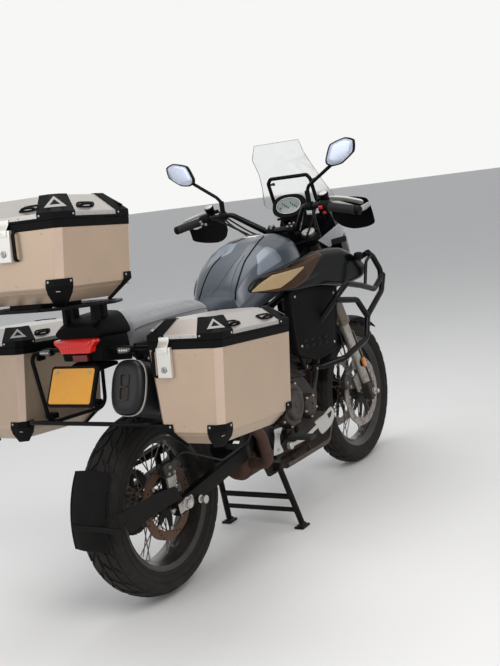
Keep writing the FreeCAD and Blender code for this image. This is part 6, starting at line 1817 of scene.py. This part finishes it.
def bolt(centre, axis, radius=6.0, height=5.0):
    """A flanged hexagon bolt head with an eased top."""
    head = turned([(0, radius), (height - 0.8, radius), (height, radius * 0.86), (height, 0.6)], centre,
                  axis, 6)
    washer = turned([(-0.5, radius * 1.25), (1.2, radius * 1.25), (1.6, radius * 1.15)], centre, axis, 20)
    return [head, washer]


def bolts(spots, axis, radius=6.0, height=5.0):
    """Bolts at several places along one axis."""
    return [patch for spot in spots for patch in bolt(spot, axis, radius, height)]


HEAD_TOP = fork([-26, 20, 786])
HEAD_FOOT = fork([-26, 20, 649])
SHOULDER, KNEE, HEEL, MIDDLE = (950, 138, 884), (640, 130, 690), (590, 120, 540), (860, 134, 742)
HIP, TAIL, HANGER = (300, 99, 838), (-56, 74, 884), (930, 128, 585)
beams = [pipe([HEAD_TOP, SHOULDER, KNEE, HEEL], 16, 26, 20), pipe([HEAD_FOOT, MIDDLE, KNEE], 15.8, 20, 20),
         barrel(SHOULDER, MIDDLE, 12), barrel(MIDDLE, HANGER, 12), pipe([KNEE, HIP, TAIL], 13, 30, 18),
         barrel((590, 120, 560), (104, 90, 846), 11), barrel((505, 108, 716), KNEE, 12),
         barrel((930, 111, 585), (930, 138, 585), 14, 24, 2)]
rods = [barrel((505, -110, 716), (505, 110, 716), 12), barrel((300, -99, 838), (300, 99, 838), 10),
        barrel((0, -77, 876), (0, 77, 876), 10)]
head_tube = [moved(turned([(615, 31), (617, 34), (632, 34), (634, 33), (801, 33), (803, 34), (818, 34),
                           (820, 31)], (0, 0, 0), (0, 0, 1), 32), fork)]
piece("frame_tubes", "root", FRAME_COAT, both(beams) + rods + head_tube, replaces=["frame"])
pivot = [(515, 330), (560, 240), (640, 240), (655, 330), (655, 470), (650, 510), (625, 570), (570, 570),
         (510, 470)]
gusset = [(604, 660), (664, 640), (708, 700), (664, 742), (600, 716)]
piece("frame_plates", "root", FRAME_COAT, both([plate(pivot, "y", 112, 128), plate(gusset, "y", 121, 137)]),
      bevel=3)
collars = []
for spot, toward, radius in ((KNEE, SHOULDER, 17), (KNEE, MIDDLE, 16.8), (MIDDLE, SHOULDER, 13),
                             (MIDDLE, HANGER, 13), (KNEE, HIP, 14), (SHOULDER, KNEE, 17),
                             (HANGER, MIDDLE, 13), (HIP, TAIL, 14)):
    spot, toward = np.array(spot, float), np.array(toward, float)
    way = unit(toward - spot)
    collars.append(turned([(0, radius - 2), (3, radius + 1.2), (6, radius - 1.5)], spot + way * 15, way, 20))
piece("frame_weld_beads", "root", FRAME_COAT, both(collars))
piece("frame_bolts", "root", BOLT_STEEL,
      both(bolts([(930, 137, 585), (HEEL[0], 127, 520)], (0, 1, 0), 8, 6) + bolts([(540, 127, 410)],
                (0, 1, 0), 9, 6)))


def leaning(patches):
    """Patches of the cylinder block's frame, z up the bores, in the bike frame."""
    return [moved(patch, at_cylinders) for patch in patches]


def card_ring(half_x, half_y, corner, level):
    """One rounded rectangle of points at a level."""
    return rounded_card(half_x, half_y, corner, level, level)[0][:24]


case_outline = [(582, 445), (586, 385), (745, 372), (765, 320), (930, 312), (985, 350), (1000, 470),
                (930, 545), (760, 570), (640, 530), (590, 490)]
case_ring = round_ring(case_outline, 88, 0.75)
piece("crankcase_halves", "root", CASTING,
      [plate(case_ring, "y", -111.7, -6), plate(case_ring, "y", -3, 80)], bevel=5, replaces=["engine"])
seam_ring = np.array([820.0, 440.0]) + (case_ring - np.array([820.0, 440.0])) * 0.99
case_ribs = [brick((700 + 44 * k, low, 336 + 8 * k), (705 + 44 * k, high, 398))
             for low, high in ((-113.4, -108), (78, 83)) for k in range(5)]
piece("crankcase_ribs", "root", CASTING, [plate(seam_ring, "y", -7, -2)] + case_ribs, bevel=1.2)
block = [rounded_card(88, 100, 14, -20, 175)]
block += [rounded_card(95, 107, 12, z - 3.4, z + 3.4) for z in (60, 82, 104, 126, 148)]
piece("cylinder_block", "root", CASTING, leaning(block), bevel=1.5)
head_rings = [card_ring(x, y, c, z)
              for x, y, c, z in ((84, 97, 14, 177), (88, 100, 14, 181), (88, 100, 14, 214),
                                 (84, 97, 16, 219))]
cover_rings = [card_ring(x, y, c, z)
               for x, y, c, z in ((84, 98, 16, 221), (87, 100, 18, 225), (84, 98, 20, 240),
                                  (74, 95, 22, 260), (60, 90, 24, 274), (40, 74, 22, 276))]
piece("cylinder_head", "root", COVER_CASTING, leaning([grid(head_rings), grid(cover_rings)]),
      crease_angle=30)
cover_bolts = [patch for x in (-70, 70) for y in (-84, 0, 84) for patch in bolt((x, y, 252), (0, 0, 1), 6, 9)]
piece("head_bolts", "root", BOLT_STEEL, leaning(cover_bolts))


def round_cover(centre, sign, profile, bolt_circle, count, shift=0.3, sides=56):
    """A turned engine cover facing out on one side, with its ring of bosses and their bolts."""
    shell = [turned(profile, centre, (0, sign, 0), sides)]
    heads = []
    for angle in np.linspace(0, 2 * math.pi, count, endpoint=False) + shift:
        spot = np.array(centre, float) + np.array([math.cos(angle), 0, math.sin(angle)]) * bolt_circle
        shell.append(turned([(2, 10), (26, 9), (28, 7.5)], spot, (0, sign, 0), 16))
        heads += bolt(spot + np.array([0, sign * 28, 0]), (0, sign, 0), 5.2, 5)
    return shell, heads


clutch, clutch_bolts = round_cover((765, -111, 470), -1,
        [(0, 86), (30, 86), (38, 82), (41, 76), (41, 64), (49, 61), (54, 55), (55, 44), (53, 40), (53, 12),
         (55, 10), (55, 2)], 87, 9)
pump, pump_bolts = round_cover((915, -111, 425), -1,
                               [(0, 45), (24, 45), (32, 41), (35, 32), (35, 16), (31, 13), (31, 3)], 45, 5,
                               0.9, 40)
dynamo, dynamo_bolts = round_cover((862, 80, 430), 1,
        [(0, 76), (52, 76), (60, 71), (62, 62), (62, 50), (69, 47), (72, 40), (72, 8), (70, 6), (70, 2)],
        76, 8)
piece("engine_covers", "root", COVER_CASTING, clutch + pump + dynamo, crease_angle=30)
piece("engine_cover_bolts", "root", BOLT_STEEL, clutch_bolts + pump_bolts + dynamo_bolts)
filler = turned([(30, 17), (32, 19), (46, 19), (48, 17), (48, 12), (44, 11), (44, 2)], (690, -111, 532),
                (0, -1, 0), 24)
filter_can = turned([(0, 30), (3, 36), (40, 36), (47, 33), (50, 24), (52, 8), (52, 2)], (988, -40, 400),
                    (1, 0, 0), 32)
plugs = [turned([(0, 14), (6, 14), (8, 11), (8, 3)], (820, -112, 350), (0, -1, 0), 6)]
piece("engine_caps", "root", BLACK_COAT, [filler, filter_can] + plugs, slot="engine_metal", crease_angle=30)
mounts = both([barrel((930, 90, 585), (930, 110.8, 585), 14, 24, 1),
               barrel((636, 79, 497), (636, 112, 497), 12, 20, 1)])
bracket_line = [(790, 70, 338), (745, 110, 300), (706, 150, 276)]
mounts.append(carried(eased(bracket_line, 30), [(-5, -12), (5, -12), (5, 12), (-5, 12)], (0, 0, 1)))
mounts.append(turned([(-38, 12), (-38, 15), (-28, 15), (-28, 12)], (690, 190, 270), (0, 1, 0), 24))
mounts.append(barrel((635, 79, 400), (635, 96, 400), 18, 28, 1))
piece("engine_mounts", "root", FRAME_COAT, mounts, bevel=1.5, slot="engine_metal")
intake = []
for y in (-52, 52):
    intake += [turned([(0, 20), (0, 25), (8, 27), (14, 25), (60, 25), (64, 27), (74, 27), (78, 25),
                       (100, 25)], (752, y, 692), (96, 0, -37), 28)]
piece("throttle_bodies", "root", CASTING, intake)
hoses = [pipe([(1108, 84, 660), (1060, 84, 640), (985, 78, 560), (938, 72, 548)], 13, 26, 16),
         pipe([(1150, -84, 622), (1098, -88, 560), (1030, -96, 470), (958, -104, 436)], 12, 26, 16),
         pipe([(700, -60, 560), (650, -88, 600), (600, -92, 640)], 8, 24, 12)]
piece("coolant_hoses", "root", HOSE_RUBBER, hoses)
bands = []
for spot, way, radius in (((1090, 84, 653), (0.9, 0, 0.4), 14.6), ((1122, -86, 590), (0.6, 0.1, 0.9), 13.6),
                          ((975, -102, 440), (1, 0.3, 0.4), 13.6)):
    bands.append(turned([(-4, radius - 1), (-4, radius), (4, radius), (4, radius - 1)], spot, way, 22,
                        loop=True))
piece("hose_clips", "root", BARE_STEEL, bands)


# Exhaust

headers = []
for y in (-52, 52):
    headers.append(pipe([(1000, y, 658), (1085, y, 620), (1090, y, 420), (1040, 0.9 * y - 4, 283),
                         (900, 0.5 * y - 30, 262), (710, 0.35 * y - 50, 285)], 19, 45, 22))
can = turned([(0, 32), (6, 42), (18, 50), (40, 57), (46, 58), (264, 58), (270, 57), (292, 46), (300, 40)],
             (430, -50, 312), (1, 0, 0), 44)
link = pipe([(480, -80, 316), (474, -188, 324), (440, -190, 440), (296.1, -178, 608.8),
             (230.2, -178, 632.2)], 21, 40, 24)
piece("exhaust_tubes", "root", HOT_PIPE, headers + [can, link], replaces=["exhaust_pipes"])
rings = [turned([(-4, radius - 1.5), (-4, radius + 1.6), (4, radius + 1.6), (4, radius - 1.5)], spot, way,
                30, loop=True)
         for spot, way, radius in (((478, -130, 320), (0.05, 1, 0), 21),
            ((462, -189, 372), (0.3, 0, -1), 21), ((250, -178, 625), (1, 0, -0.36), 21),
            ((1090, -52, 500), (0, 0, 1), 19), ((1090, 52, 500), (0, 0, 1), 19),
            ((474, -50, 312), (1, 0, 0), 58), ((692, -50, 312), (1, 0, 0), 58))]
flanges = [turned([(-3, 25), (-3, 30), (5, 30), (5, 25)], (1003, y, 657), (85, 0, -38), 26, loop=True)
           for y in (-52, 52)]
piece("exhaust_clamps", "root", SHADE_DARKENED_CHAIN_STEEL, rings + flanges)


# Radiator and skid plate

piece("radiator_core", "root", FINS,
      [plate([(1132, 610), (1166, 610), (1122, 780), (1088, 780)], "y", -112, 112)], replaces=["radiator"])
tank_outline = [(1126, 602), (1172, 602), (1126, 788), (1082, 788)]
trays = both([plate(tank_outline, "y", 110, 128)])
trays += [plate([(1129, 602), (1170, 602), (1168, 611), (1127, 611)], "y", -112, 112),
          plate([(1086, 779), (1127, 779), (1126, 788), (1082, 788)], "y", -112, 112)]
tabs = both([brick((1090, 40, 770), (1116, 62, 846))])
piece("radiator_tanks", "root", BLACK_COAT, trays + tabs, bevel=2.5)
grille = [carried([(1170, y, 606), (1124, y, 784)], circle(1.6, 8)) for y in range(-104, 105, 13)]
grille += [carried([(x, -110, z), (x, 110, z)], circle(1.6, 8))
           for x, z in ((1166, 624), (1157, 660), (1147, 696), (1138, 732), (1129, 768))]
piece("radiator_grille", "root", BLACK_COAT, grille)
piece("radiator_cap", "root", CAST_SILVER,
      [turned([(0, 10), (0, 17), (6, 18), (9, 16), (10, 4)], (1092, -120, 787), (-0.2, 0, 1), 24)])

skid_rows = []
for x, half, low in ((700, 130, 226), (760, 134, 226), (1020, 140, 226), (1040, 139, 234), (1140, 120, 335)):
    skid_rows.append([(x, y, z)
                      for y, z in ((-half, low + 24), (-half, low + 8), (-half + 12, low), (half - 12, low),
                                   (half, low + 8), (half, low + 24), (half - 3, low + 24),
                                   (half - 3, low + 10), (half - 14, low + 4), (-half + 14, low + 4),
                                   (-half + 3, low + 10), (-half + 3, low + 24))])
piece("skid_sheet", "root", SKID_SHEET, [grid(skid_rows)], replaces=["skid_plate"], bevel=0.8)
beads = [carried([(730, y, 229.5), (1010, y, 229.5)], [(-9, -1), (9, -1), (6, 3.5), (-6, 3.5)], (0, 0, 1))
         for y in (-84, -28, 28, 84)]
beads += [barrel((x, y, 230), (x, y, 258), 7, 16)
          for x, y in ((925, 70), (925, -100), (790, 62), (790, -102))]
piece("skid_beads", "root", SKID_SHEET, beads)
piece("skid_bolts", "root", BOLT_STEEL,
      bolts([(925, 70, 226), (925, -100, 226), (790, 62, 226), (790, -102, 226)], (0, 0, -1), 7, 4))


# Racks

rack_ring = round_ring([(-150, -120), (-110, -180), (70, -203), (205, -120), (205, 120), (70, 203),
                        (-110, 180), (-150, 120)], 72, 0.7)
rim = np.insert(rack_ring, 2, -253.0, axis=1)
rack = [carried(np.concatenate([rim, rim[:1]]), [(-9, -4), (9, -4), (9, 4), (-9, 4)], (0, 0, 1)),
        rounded_card(90, 70, 12, -256, -235.4)]
rack += [brick((-140, y - 11, -257), (196, y + 11, -249)) for y in (-76, 0, 76)]
rack += [brick((x - 9, -188, -257), (x + 9, 188, -249)) for x in (-112, -40, 40, 112)]
rack += [brick((x - 12, y - 9, -256 - down), (x + 12, y + 9, -252)) for x, down in ((150, 112), (190, 111))
         for y in (-60, 60)]
piece("rear_rack_frame", "root", BLACK_COAT, [moved(patch, at_rack) for patch in rack], bevel=2,
      replaces=["rear_rack"])
rack_spots = [(x, y, -249) for x in (-112, 112) for y in (-140, 140)]
piece("rear_rack_bolts", "root", BOLT_STEEL,
      [moved(patch, at_rack) for patch in bolts(rack_spots, (0, 0, 1), 6, 3.5)])
hoop = [(-182, 251, 780), (-200, 251, 905), (150, 251, 878), (125, 251, 640), (-165, 251, 660),
        (-182, 251, 780)]
hoop_line = eased([(-191, 251, 842)] + hoop[1:-1] + [(-182, 251, 780), (-191, 251, 842)], 40)
side_rack = [carried(hoop_line, circle(7, 16)), barrel((-120, 97, 900), (-120, 251, 900), 7, 16),
             barrel((144, 117.5, 834), (144, 251, 834), 7, 16)]
joints = [turned([(-4, 8.5), (-1, 10), (1, 10), (4, 8.5)], (x, 246, z), (0, 1, 0), 18)
          for x, z in ((-120, 900), (144, 834))]
blocks = []
for x, z in ((-145, 883), (110, 866), (-130, 676), (100, 662)):
    wall = 263.4 + 28 * (919 - z) / 274
    blocks.append(brick((x - 14, 251, z - 9), (x + 14, wall, z + 9)))
low_tube = pipe([(-165, 251, 662), (-268, 251, 690), (-268, -251, 690), (-165, -251, 662)], 7, 34, 16)
piece("pannier_rack_tubes", "root", BLACK_COAT, both(side_rack + joints) + [low_tube],
      replaces=["pannier_racks"], crease_angle=50)
piece("pannier_rack_blocks", "root", BLACK_PLASTIC, both(blocks), bevel=2, slot="black_metal")


# Swingarm, drive and rear brake

def beam_rings(rows):
    """Rounded box sections (x, y low, y high, half height) of a beam."""
    return smooth_rings([np.insert(round_ring([(low, -tall), (high, -tall), (high, tall), (low, tall)], 32,
                        0.72), 0, x, axis=1) for x, low, high, tall in rows], 30)


arm_beam = beam_rings([(-45, 113, 141, 21), (-34, 112, 142, 25), (60, 112, 142, 26), (250, 112, 142, 26),
                       (360, 112, 142, 26), (425, 100, 138, 26), (500, 62, 106, 26), (562, 60, 104, 25)])
bridge = beam_rings([(372, -112, 112, 24), (376, -113, 113, 26), (410, -113, 113, 26), (430, -112, 112, 24)])
swing = [moved(patch, at_arm) for patch in both([grid(arm_beam)]) + [grid(bridge)]]
swing += [barrel((560, -104, 405), (560, 104, 405), 24, 28, 2)]
piece("swingarm_beams", "root", BLACK_COAT, swing, replaces=["swingarm"], crease_angle=50)
tip_plates = [plate([(-44, -18), (34, -18), (40, -8), (40, 8), (34, 18), (-44, 18)], "y", 142, 145.5)]
tip_plates += [barrel((-66, 127, 0), (-40, 127, 0), 5, 12),
               turned([(0, 9), (6, 9), (7, 7)], (-56, 127, 0), (-1, 0, 0), 6)]
piece("chain_adjusters", "root", BARE_STEEL, [moved(patch, at_arm) for patch in both(tip_plates)], bevel=1)
marks_at = [moved(brick((x, 145.3, 9), (x + 1.4, 146, 16)), at_arm) for x in range(-24, 28, 5)]
piece("adjuster_marks", "root", BLACK_PLASTIC, both(marks_at))
spool = [(0, 6), (0, 9), (2, 13), (6, 14), (9, 9), (22, 9), (25, 14), (29, 14), (31, 10), (31, 3)]
piece("stand_spools", "root", CAST_SILVER,
      [moved(patch, at_arm) for patch in both([turned(spool, (74, 142, -20), (0, 1, 0), 28)])])
axle = [barrel((0, -165, 336), (0, 165, 336), 10, 24, 1)]
axle += both([turned([(142.2, 14), (142.4, 21), (146, 21), (146.4, 17), (160, 17), (161, 15), (161, 10.5)],
                     (0, 0, 336), (0, 1, 0), 6),
              turned([(142.2, 14), (142.4, 22), (145.6, 22), (146, 18)], (0, 0, 336), (0, 1, 0), 28)])
piece("rear_axle_nuts", "root", CAST_SILVER, axle, replaces=["rear_axle"])

TEETH = 42
round_turn = np.linspace(0, 2 * math.pi, TEETH * 8, endpoint=False)


def toothed(radius_at, y):
    """A ring about the rear axle whose radius follows the given array of radii."""
    level = np.full(len(round_turn), float(y))
    return np.stack([radius_at * np.cos(round_turn), level, 336 + radius_at * np.sin(round_turn)], -1)


teeth = 104.5 + 4 * np.clip(1.6 * np.cos(TEETH * round_turn), -1, 0.85)
inner_edge = np.full(len(round_turn), 74.0)
sprocket = [grid([toothed(teeth, 88.4), toothed(teeth, 95.6), toothed(inner_edge, 95.6),
                  toothed(inner_edge, 88.4)], loop=True)]
arms_at = np.linspace(0, 2 * math.pi, 5, endpoint=False) + 0.2
arm_half = 0.24
for angle in arms_at:
    spots = [(r * math.cos(angle + s), 336 + r * math.sin(angle + s)) for r, s in
             ((40, -arm_half * 1.3), (76, -arm_half * 0.8), (76, arm_half * 0.8), (40, arm_half * 1.3))]
    sprocket.append(plate(spots, "y", 88.4, 95.6))
sprocket.append(turned([(58, 40), (60, 44), (88, 44), (89, 46), (95.6, 46), (95.6, 30)], (0, 0, 336),
                       (0, 1, 0), 40))
# The sprocket is in the darkened steel: painted shade.
piece("rear_sprocket_ring", "rear_wheel", SHADE_DARKENED_CHAIN_STEEL, sprocket, replaces=["rear_sprocket"],
      crease_angle=30)
piece("rear_sprocket_bolts", "rear_wheel", BOLT_STEEL,
      bolts([(60 * math.cos(a), 95.6, 336 + 60 * math.sin(a)) for a in arms_at], (0, 1, 0), 6.5, 5))
CHAIN_PITCH, CHAIN_MIDDLE = 15.875, 92
REAR_HUB, FRONT_HUB = np.array([0.0, 336.0]), np.array([635.0, 400.0])
REAR_PITCH, FRONT_PITCH = 116.0, 41.0
reach = np.linalg.norm(FRONT_HUB - REAR_HUB)
rise = math.atan2(64.0, 635.0)
splay = math.asin((REAR_PITCH - FRONT_PITCH) / reach)
top_angle, foot_angle = rise + math.pi / 2 - splay, rise - math.pi / 2 + splay
rear_arc = np.linspace(top_angle, foot_angle + 2 * math.pi, 60)
front_arc = np.linspace(foot_angle, top_angle, 24)
loop_line = np.concatenate([REAR_HUB + REAR_PITCH * np.stack([np.cos(rear_arc), np.sin(rear_arc)], -1),
                            FRONT_HUB + FRONT_PITCH * np.stack([np.cos(front_arc), np.sin(front_arc)], -1)])
loop_line = np.concatenate([loop_line, loop_line[:1]])
distance = np.concatenate([[0], np.cumsum(np.linalg.norm(np.diff(loop_line, axis=0), axis=1))])
links = int(round(distance[-1] / CHAIN_PITCH / 2)) * 2
pins = np.stack([np.interp(np.linspace(0, distance[-1], links, endpoint=False), distance, loop_line[:, axis])
                 for axis in (0, 1)], -1)
link_half = CHAIN_PITCH / 2
lobe = np.linspace(-math.pi / 2, math.pi / 2, 6)
link_outline = np.concatenate([np.stack([link_half + 6.6 * np.cos(lobe), 6.6 * np.sin(lobe)], -1),
                               [[0, 5.0]],
                               np.stack([-link_half - 6.6 * np.cos(lobe), -6.6 * np.sin(lobe)], -1),
                               [[0, -5.0]]])
chain_links = []
for index in range(links):
    first, second = pins[index], pins[(index + 1) % links]
    middle, way = (first + second) / 2, unit(second - first)
    across = np.array([-way[1], way[0]])
    spots = middle + link_outline[:, :1] * way + link_outline[:, 1:] * across
    outer = 99.6 if index % 2 else 97.4
    inner = outer - 1.9
    chain_links.append(plate(spots, "y", inner, outer))
    chain_links.append(plate(spots, "y", 2 * CHAIN_MIDDLE - outer, 2 * CHAIN_MIDDLE - inner))
rollers = [barrel((x, 84.2, z), (x, 99.9, z), 4.6, 8) for x, z in pins]
# Chain links and rollers in the darkened steel: painted shade.
piece("chain_links", "root", SHADE_DARKENED_CHAIN_STEEL, chain_links + rollers, replaces=["chain"])
guard_line = [(60, 94, 466), (160, 94, 474), (330, 94, 474), (470, 94, 468)]
piece("chain_guard", "root", BLACK_PLASTIC,
      [carried(eased(guard_line, 80), [(-14, -1.5), (14, -1.5), (16, -14), (18, -14), (17, 2), (-14, 2)],
               (0, 0, 1)), brick((180, 100, 384), (204, 112, 474))], bevel=1)
brake = [plate(round_ring([(-20, 428), (30, 428), (54, 472), (30, 478), (-30, 476)], 44, 0.45), "y", -94.5,
               -82), plate(round_ring([(-18, 430), (28, 430), (48, 470), (26, 476), (-26, 474)], 44, 0.45),
                           "y", -76, -64.6)]
brake += [brick((-16, -82.5, 456), (34, -76, 472))]
piece("rear_caliper_body", "root", CALIPER_BLACK, brake, bevel=3, replaces=["rear_caliper"])
piece("rear_caliper_bracket", "root", BARE_STEEL,
      [plate([(-16, 350), (16, 350), (30, 432), (-20, 432)], "y", -94.4, -86)]
      + bolts([(-8, -94.6, 440), (20, -94.6, 440), (0, -94.6, 462)], (0, -1, 0), 5, 5), bevel=1.5)
piece("rear_brake_hose", "root", HOSE_RUBBER,
      [pipe([(10, -94, 476), (60, -112, 500), (240, -144, 410), (420, -144, 425), (560, -128, 520)], 3.6,
            50, 12)])
coils = np.linspace(0, 5 * 2 * math.pi, 160)
foot, top = np.array([396.0, 0.0, 396.0]), np.array([503.0, 0.0, 712.0])
shock_way, shock_side, shock_up = basis(top - foot)
length = np.linalg.norm(top - foot)
helix = (foot + shock_way * (62 + (length - 134) * coils[:, None] / coils[-1])
         + 30 * (np.cos(coils)[:, None] * shock_side + np.sin(coils)[:, None] * shock_up))
piece("shock_spring", "root", CAST_SILVER, [carried(helix, circle(5.6, 12), shock_way)])
damper = [turned([(0, 8), (0, 16), (34, 18), (48, 18), (50, 38), (57, 38), (59, 20), (180, 20), (182, 12),
                  (length - 74, 12), (length - 72, 38), (length - 64, 38), (length - 60, 26),
                  (length - 8, 24), (length, 10)], foot, shock_way, 32),
          barrel((396, -22, 396), (396, 22, 396), 12, 20, 1),
          barrel((503, -22, 712), (503, 22, 712), 12, 20, 1)]
piece("shock_damper", "root", BLACK_COAT, damper, replaces=["shock"])


# Footrests, pedal and stands

hanger = [(600, 330), (655, 345), (745, 368), (752, 340), (650, 300), (600, 295)]
rest_plate = [(228, 640), (300, 660), (330, 560), (300, 540)]
rest_parts = both([plate(hanger, "y", 128.3, 140), plate(rest_plate, "y", 224, 234)])
rest_parts += both([barrel((285, 229, 648), (288, 100, 738), 9, 18)])
piece("footrest_hangers", "root", BLACK_COAT, rest_parts, bevel=2, replaces=["footrests"])
tread = [brick((699, start, 356), (746, start + 5, 360)) for start in range(152, 242, 10)]
pegs = [brick((700, 139, 344), (745, 245, 357))] + tread + [brick((291, 234, 541), (324, 300, 553))]
pegs += [brick((291, start, 551), (324, start + 5, 555.5)) for start in range(240, 296, 10)]
piece("footrest_rubbers", "root", GRIP_RUBBER, both(pegs), bevel=1.5)
guard_outline = [(606, 414), (664, 406), (640, 380), (634, 350), (650, 312), (578, 318), (588, 350),
                 (604, 384)]
piece("heel_guards", "root", LEVER_SILVER, both([plate(round_ring(guard_outline, 48, 0.6), "y", 142, 145)]),
      bevel=1)
piece("heel_guard_bolts", "root", BOLT_STEEL,
      both(bolts([(630, 145, 395), (614, 145, 332)], (0, 1, 0), 5.5,
                 4) + [barrel((630, 127, 395), (630, 143, 395), 7, 14),
                       barrel((614, 127, 332), (614, 143, 332), 7, 14)]))
pedal_loop = [(1026, 390), (1052, 352), (1006, 316), (925, 302), (893, 343), (880, 368), (955, 374)]
pedal_ring = round_ring(pedal_loop, 56, 0.45)
window = np.array([1006.0, 362.0]) + (pedal_ring - pedal_ring.mean(axis=0)) * np.array([0.24, 0.34])
pedal = [grid([np.insert(ring, 1, y, axis=1)
               for ring, y in ((pedal_ring, -165), (pedal_ring, -170), (window, -170), (window, -165))],
              loop=True)]
pedal += [carried([(700, -150, 322), (800, -158, 322), (892, -168, 345)],
                  [(-3, -8), (3, -8), (3, 8), (-3, 8)], (0, 0, 1)),
          turned([(0, 10), (0, 15), (16, 15), (18, 12)], (700, -140, 322), (0, -1, 0), 24)]
piece("brake_pedal", "root", LEVER_SILVER, pedal, bevel=1, crease_angle=50)
shifter = [carried([(700, 150, 330), (800, 158, 338), (880, 168, 366)],
                   [(-3, -8), (3, -8), (3, 8), (-3, 8)], (0, 0, 1)),
           turned([(0, 10), (0, 14), (14, 14), (16, 11)], (700, 140, 330), (0, 1, 0), 24)]
piece("gear_lever", "root", LEVER_SILVER, shifter, bevel=1, crease_angle=50)
piece("gear_lever_rubber", "root", GRIP_RUBBER, [barrel((884, 160, 367), (884, 196, 367), 9, 20, 2)])

stand_legs = [pipe([(600, 146, 265), (664, 172, 20)], 12, 0, 20),
              turned([(128.5, 14), (130, 17), (156, 17), (158, 14)], (600, 0, 265), (0, 1, 0), 28)]
stand_legs += [barrel((642, 172, 8), (688, 172, 8), 8, 16, 1)]
stand_rods = [barrel((632, -158, 136), (632, 158, 136), 11, 20),
              barrel((650, -162, 76), (650, 162, 76), 9.4, 20)]
piece("centre_stand_legs", "centre_stand", BLACK_COAT, both(stand_legs) + stand_rods,
      replaces=["centre_stand"], crease_angle=50)
piece("centre_stand_feet", "centre_stand", BLACK_COAT, both([brick((636, 152, 0), (694, 192, 9))]), bevel=2)
piece("centre_stand_welds", "centre_stand", BLACK_COAT,
      both([turned([(-3, 11), (0, 13.6), (3, 11)], (x, y, z), (0, 1, 0), 20)
            for x, y, z in ((632, 154, 136), (650, 160, 76))]))
side_leg = [pipe([(690, 190, 270), (420, 190, 243)], 10, 0, 20),
            turned([(-16, 14), (-14, 18), (14, 18), (16, 14)], (690, 190, 270), (0, 1, 0), 26)]
side_foot = [brick((386, 177, 233), (417, 215, 240)), brick((398, 182, 238), (414, 200, 250))]
piece("side_stand_leg", "side_stand", BLACK_COAT, side_leg + side_foot, bevel=1.5, replaces=["side_stand"])
piece("side_stand_bolt", "side_stand", BOLT_STEEL, bolts([(690, 206, 270)], (0, 1, 0), 9, 6))


# Camera, floor and light

def look(position, yaw, pitch, roll):
    """The camera's place in the row frame and its axes, from turns in degrees: yaw from +X toward +Y."""
    yaw, pitch, roll = (math.radians(turn) for turn in (yaw, pitch, roll))
    ahead = np.array([math.cos(yaw) * math.cos(pitch), math.sin(yaw) * math.cos(pitch), -math.sin(pitch)])
    right = np.array([math.sin(yaw), -math.cos(yaw), 0])
    up = np.cross(right, ahead)
    across = math.cos(roll) * right + math.sin(roll) * up
    above = -math.sin(roll) * right + math.cos(roll) * up
    matrix = np.eye(4)
    matrix[:3, 0], matrix[:3, 1], matrix[:3, 2], matrix[:3, 3] = across, above, -ahead, bike(position)
    return matrix


FOCAL_LENGTH = 55.61
eye = bpy.data.cameras.new("photograph view")
eye.sensor_width = 36
eye.lens = FOCAL_LENGTH
eye.clip_start = 0.05
eye.clip_end = 200
camera = bpy.data.objects.new("photograph view", eye)
camera.matrix_world = look((-2632.33, -2211.24, 1403.66), 33.13, 8.94, -8.28).T.tolist()
bpy.context.scene.collection.objects.link(camera)
bpy.context.scene.camera = camera


bpy.context.scene.view_settings.view_transform = "Standard"
world = bpy.data.worlds.new("studio")
world.use_nodes = True
studio = Tree(world.node_tree)
soft = studio.node("ShaderNodeBackground", {}, {"Color": (0.86, 0.88, 0.92, 1), "Strength": 0.50})
plain = studio.node("ShaderNodeBackground", {}, {"Color": (0.93, 0.93, 0.92, 1)})
seen, reflected, through = (studio.node("ShaderNodeLightPath", output=f"Is {ray} Ray")
                            for ray in ("Camera", "Glossy", "Transmission"))
shown = studio.node("ShaderNodeMixShader", {}, {0: seen.larger(reflected).larger(through), 1: soft, 2: plain})
studio.node("ShaderNodeOutputWorld", {}, {"Surface": shown})
bpy.context.scene.world = world


def lamp(name, place, toward, size, power, tint):
    """A soft square lamp facing a point, places in bike millimetres."""
    light = bpy.data.lights.new(name, "AREA")
    light.size = size
    light.energy = power
    light.color = tint
    thing = bpy.data.objects.new(name, light)
    start, stop = bike(place), bike(toward)
    away, side, up = basis(start - stop)
    matrix = np.eye(4)
    matrix[:3, 0], matrix[:3, 1], matrix[:3, 2], matrix[:3, 3] = side, up, away, start
    thing.matrix_world = matrix.T.tolist()
    bpy.context.scene.collection.objects.link(thing)


lamp("key light", (-2200, -3600, 4200), (500, 0, 700), 3.2, 165, (1.0, 0.975, 0.94))
lamp("fill light", (-3600, 1800, 2600), (300, 0, 700), 3.0, 45, (0.93, 0.96, 1.0))
lamp("top light", (900, 300, 4800), (600, 0, 800), 3.5, 95, (1.0, 1.0, 1.0))

floor_finish = Finish("pale studio floor")
tone = floor_finish.blend(floor_finish.noise(0.4, 3.0, 0.5), (0.76, 0.755, 0.74), (0.79, 0.785, 0.77))
floor_finish.surface(tone, 0.8)
FLOOR_REACH, FLOOR_LEVEL = 40000, -0.5
floor_mesh = bpy.data.meshes.new("floor")
floor_points = bike([(x * FLOOR_REACH, y * FLOOR_REACH, FLOOR_LEVEL)
                     for x, y in ((-1, -1), (1, -1), (1, 1), (-1, 1))])
floor_mesh.from_pydata(floor_points.tolist(), [], [[0, 1, 2, 3]])
floor_mesh.materials.append(floor_finish.material)
floor = bpy.data.objects.new("floor", floor_mesh)
bpy.context.scene.collection.objects.link(floor)
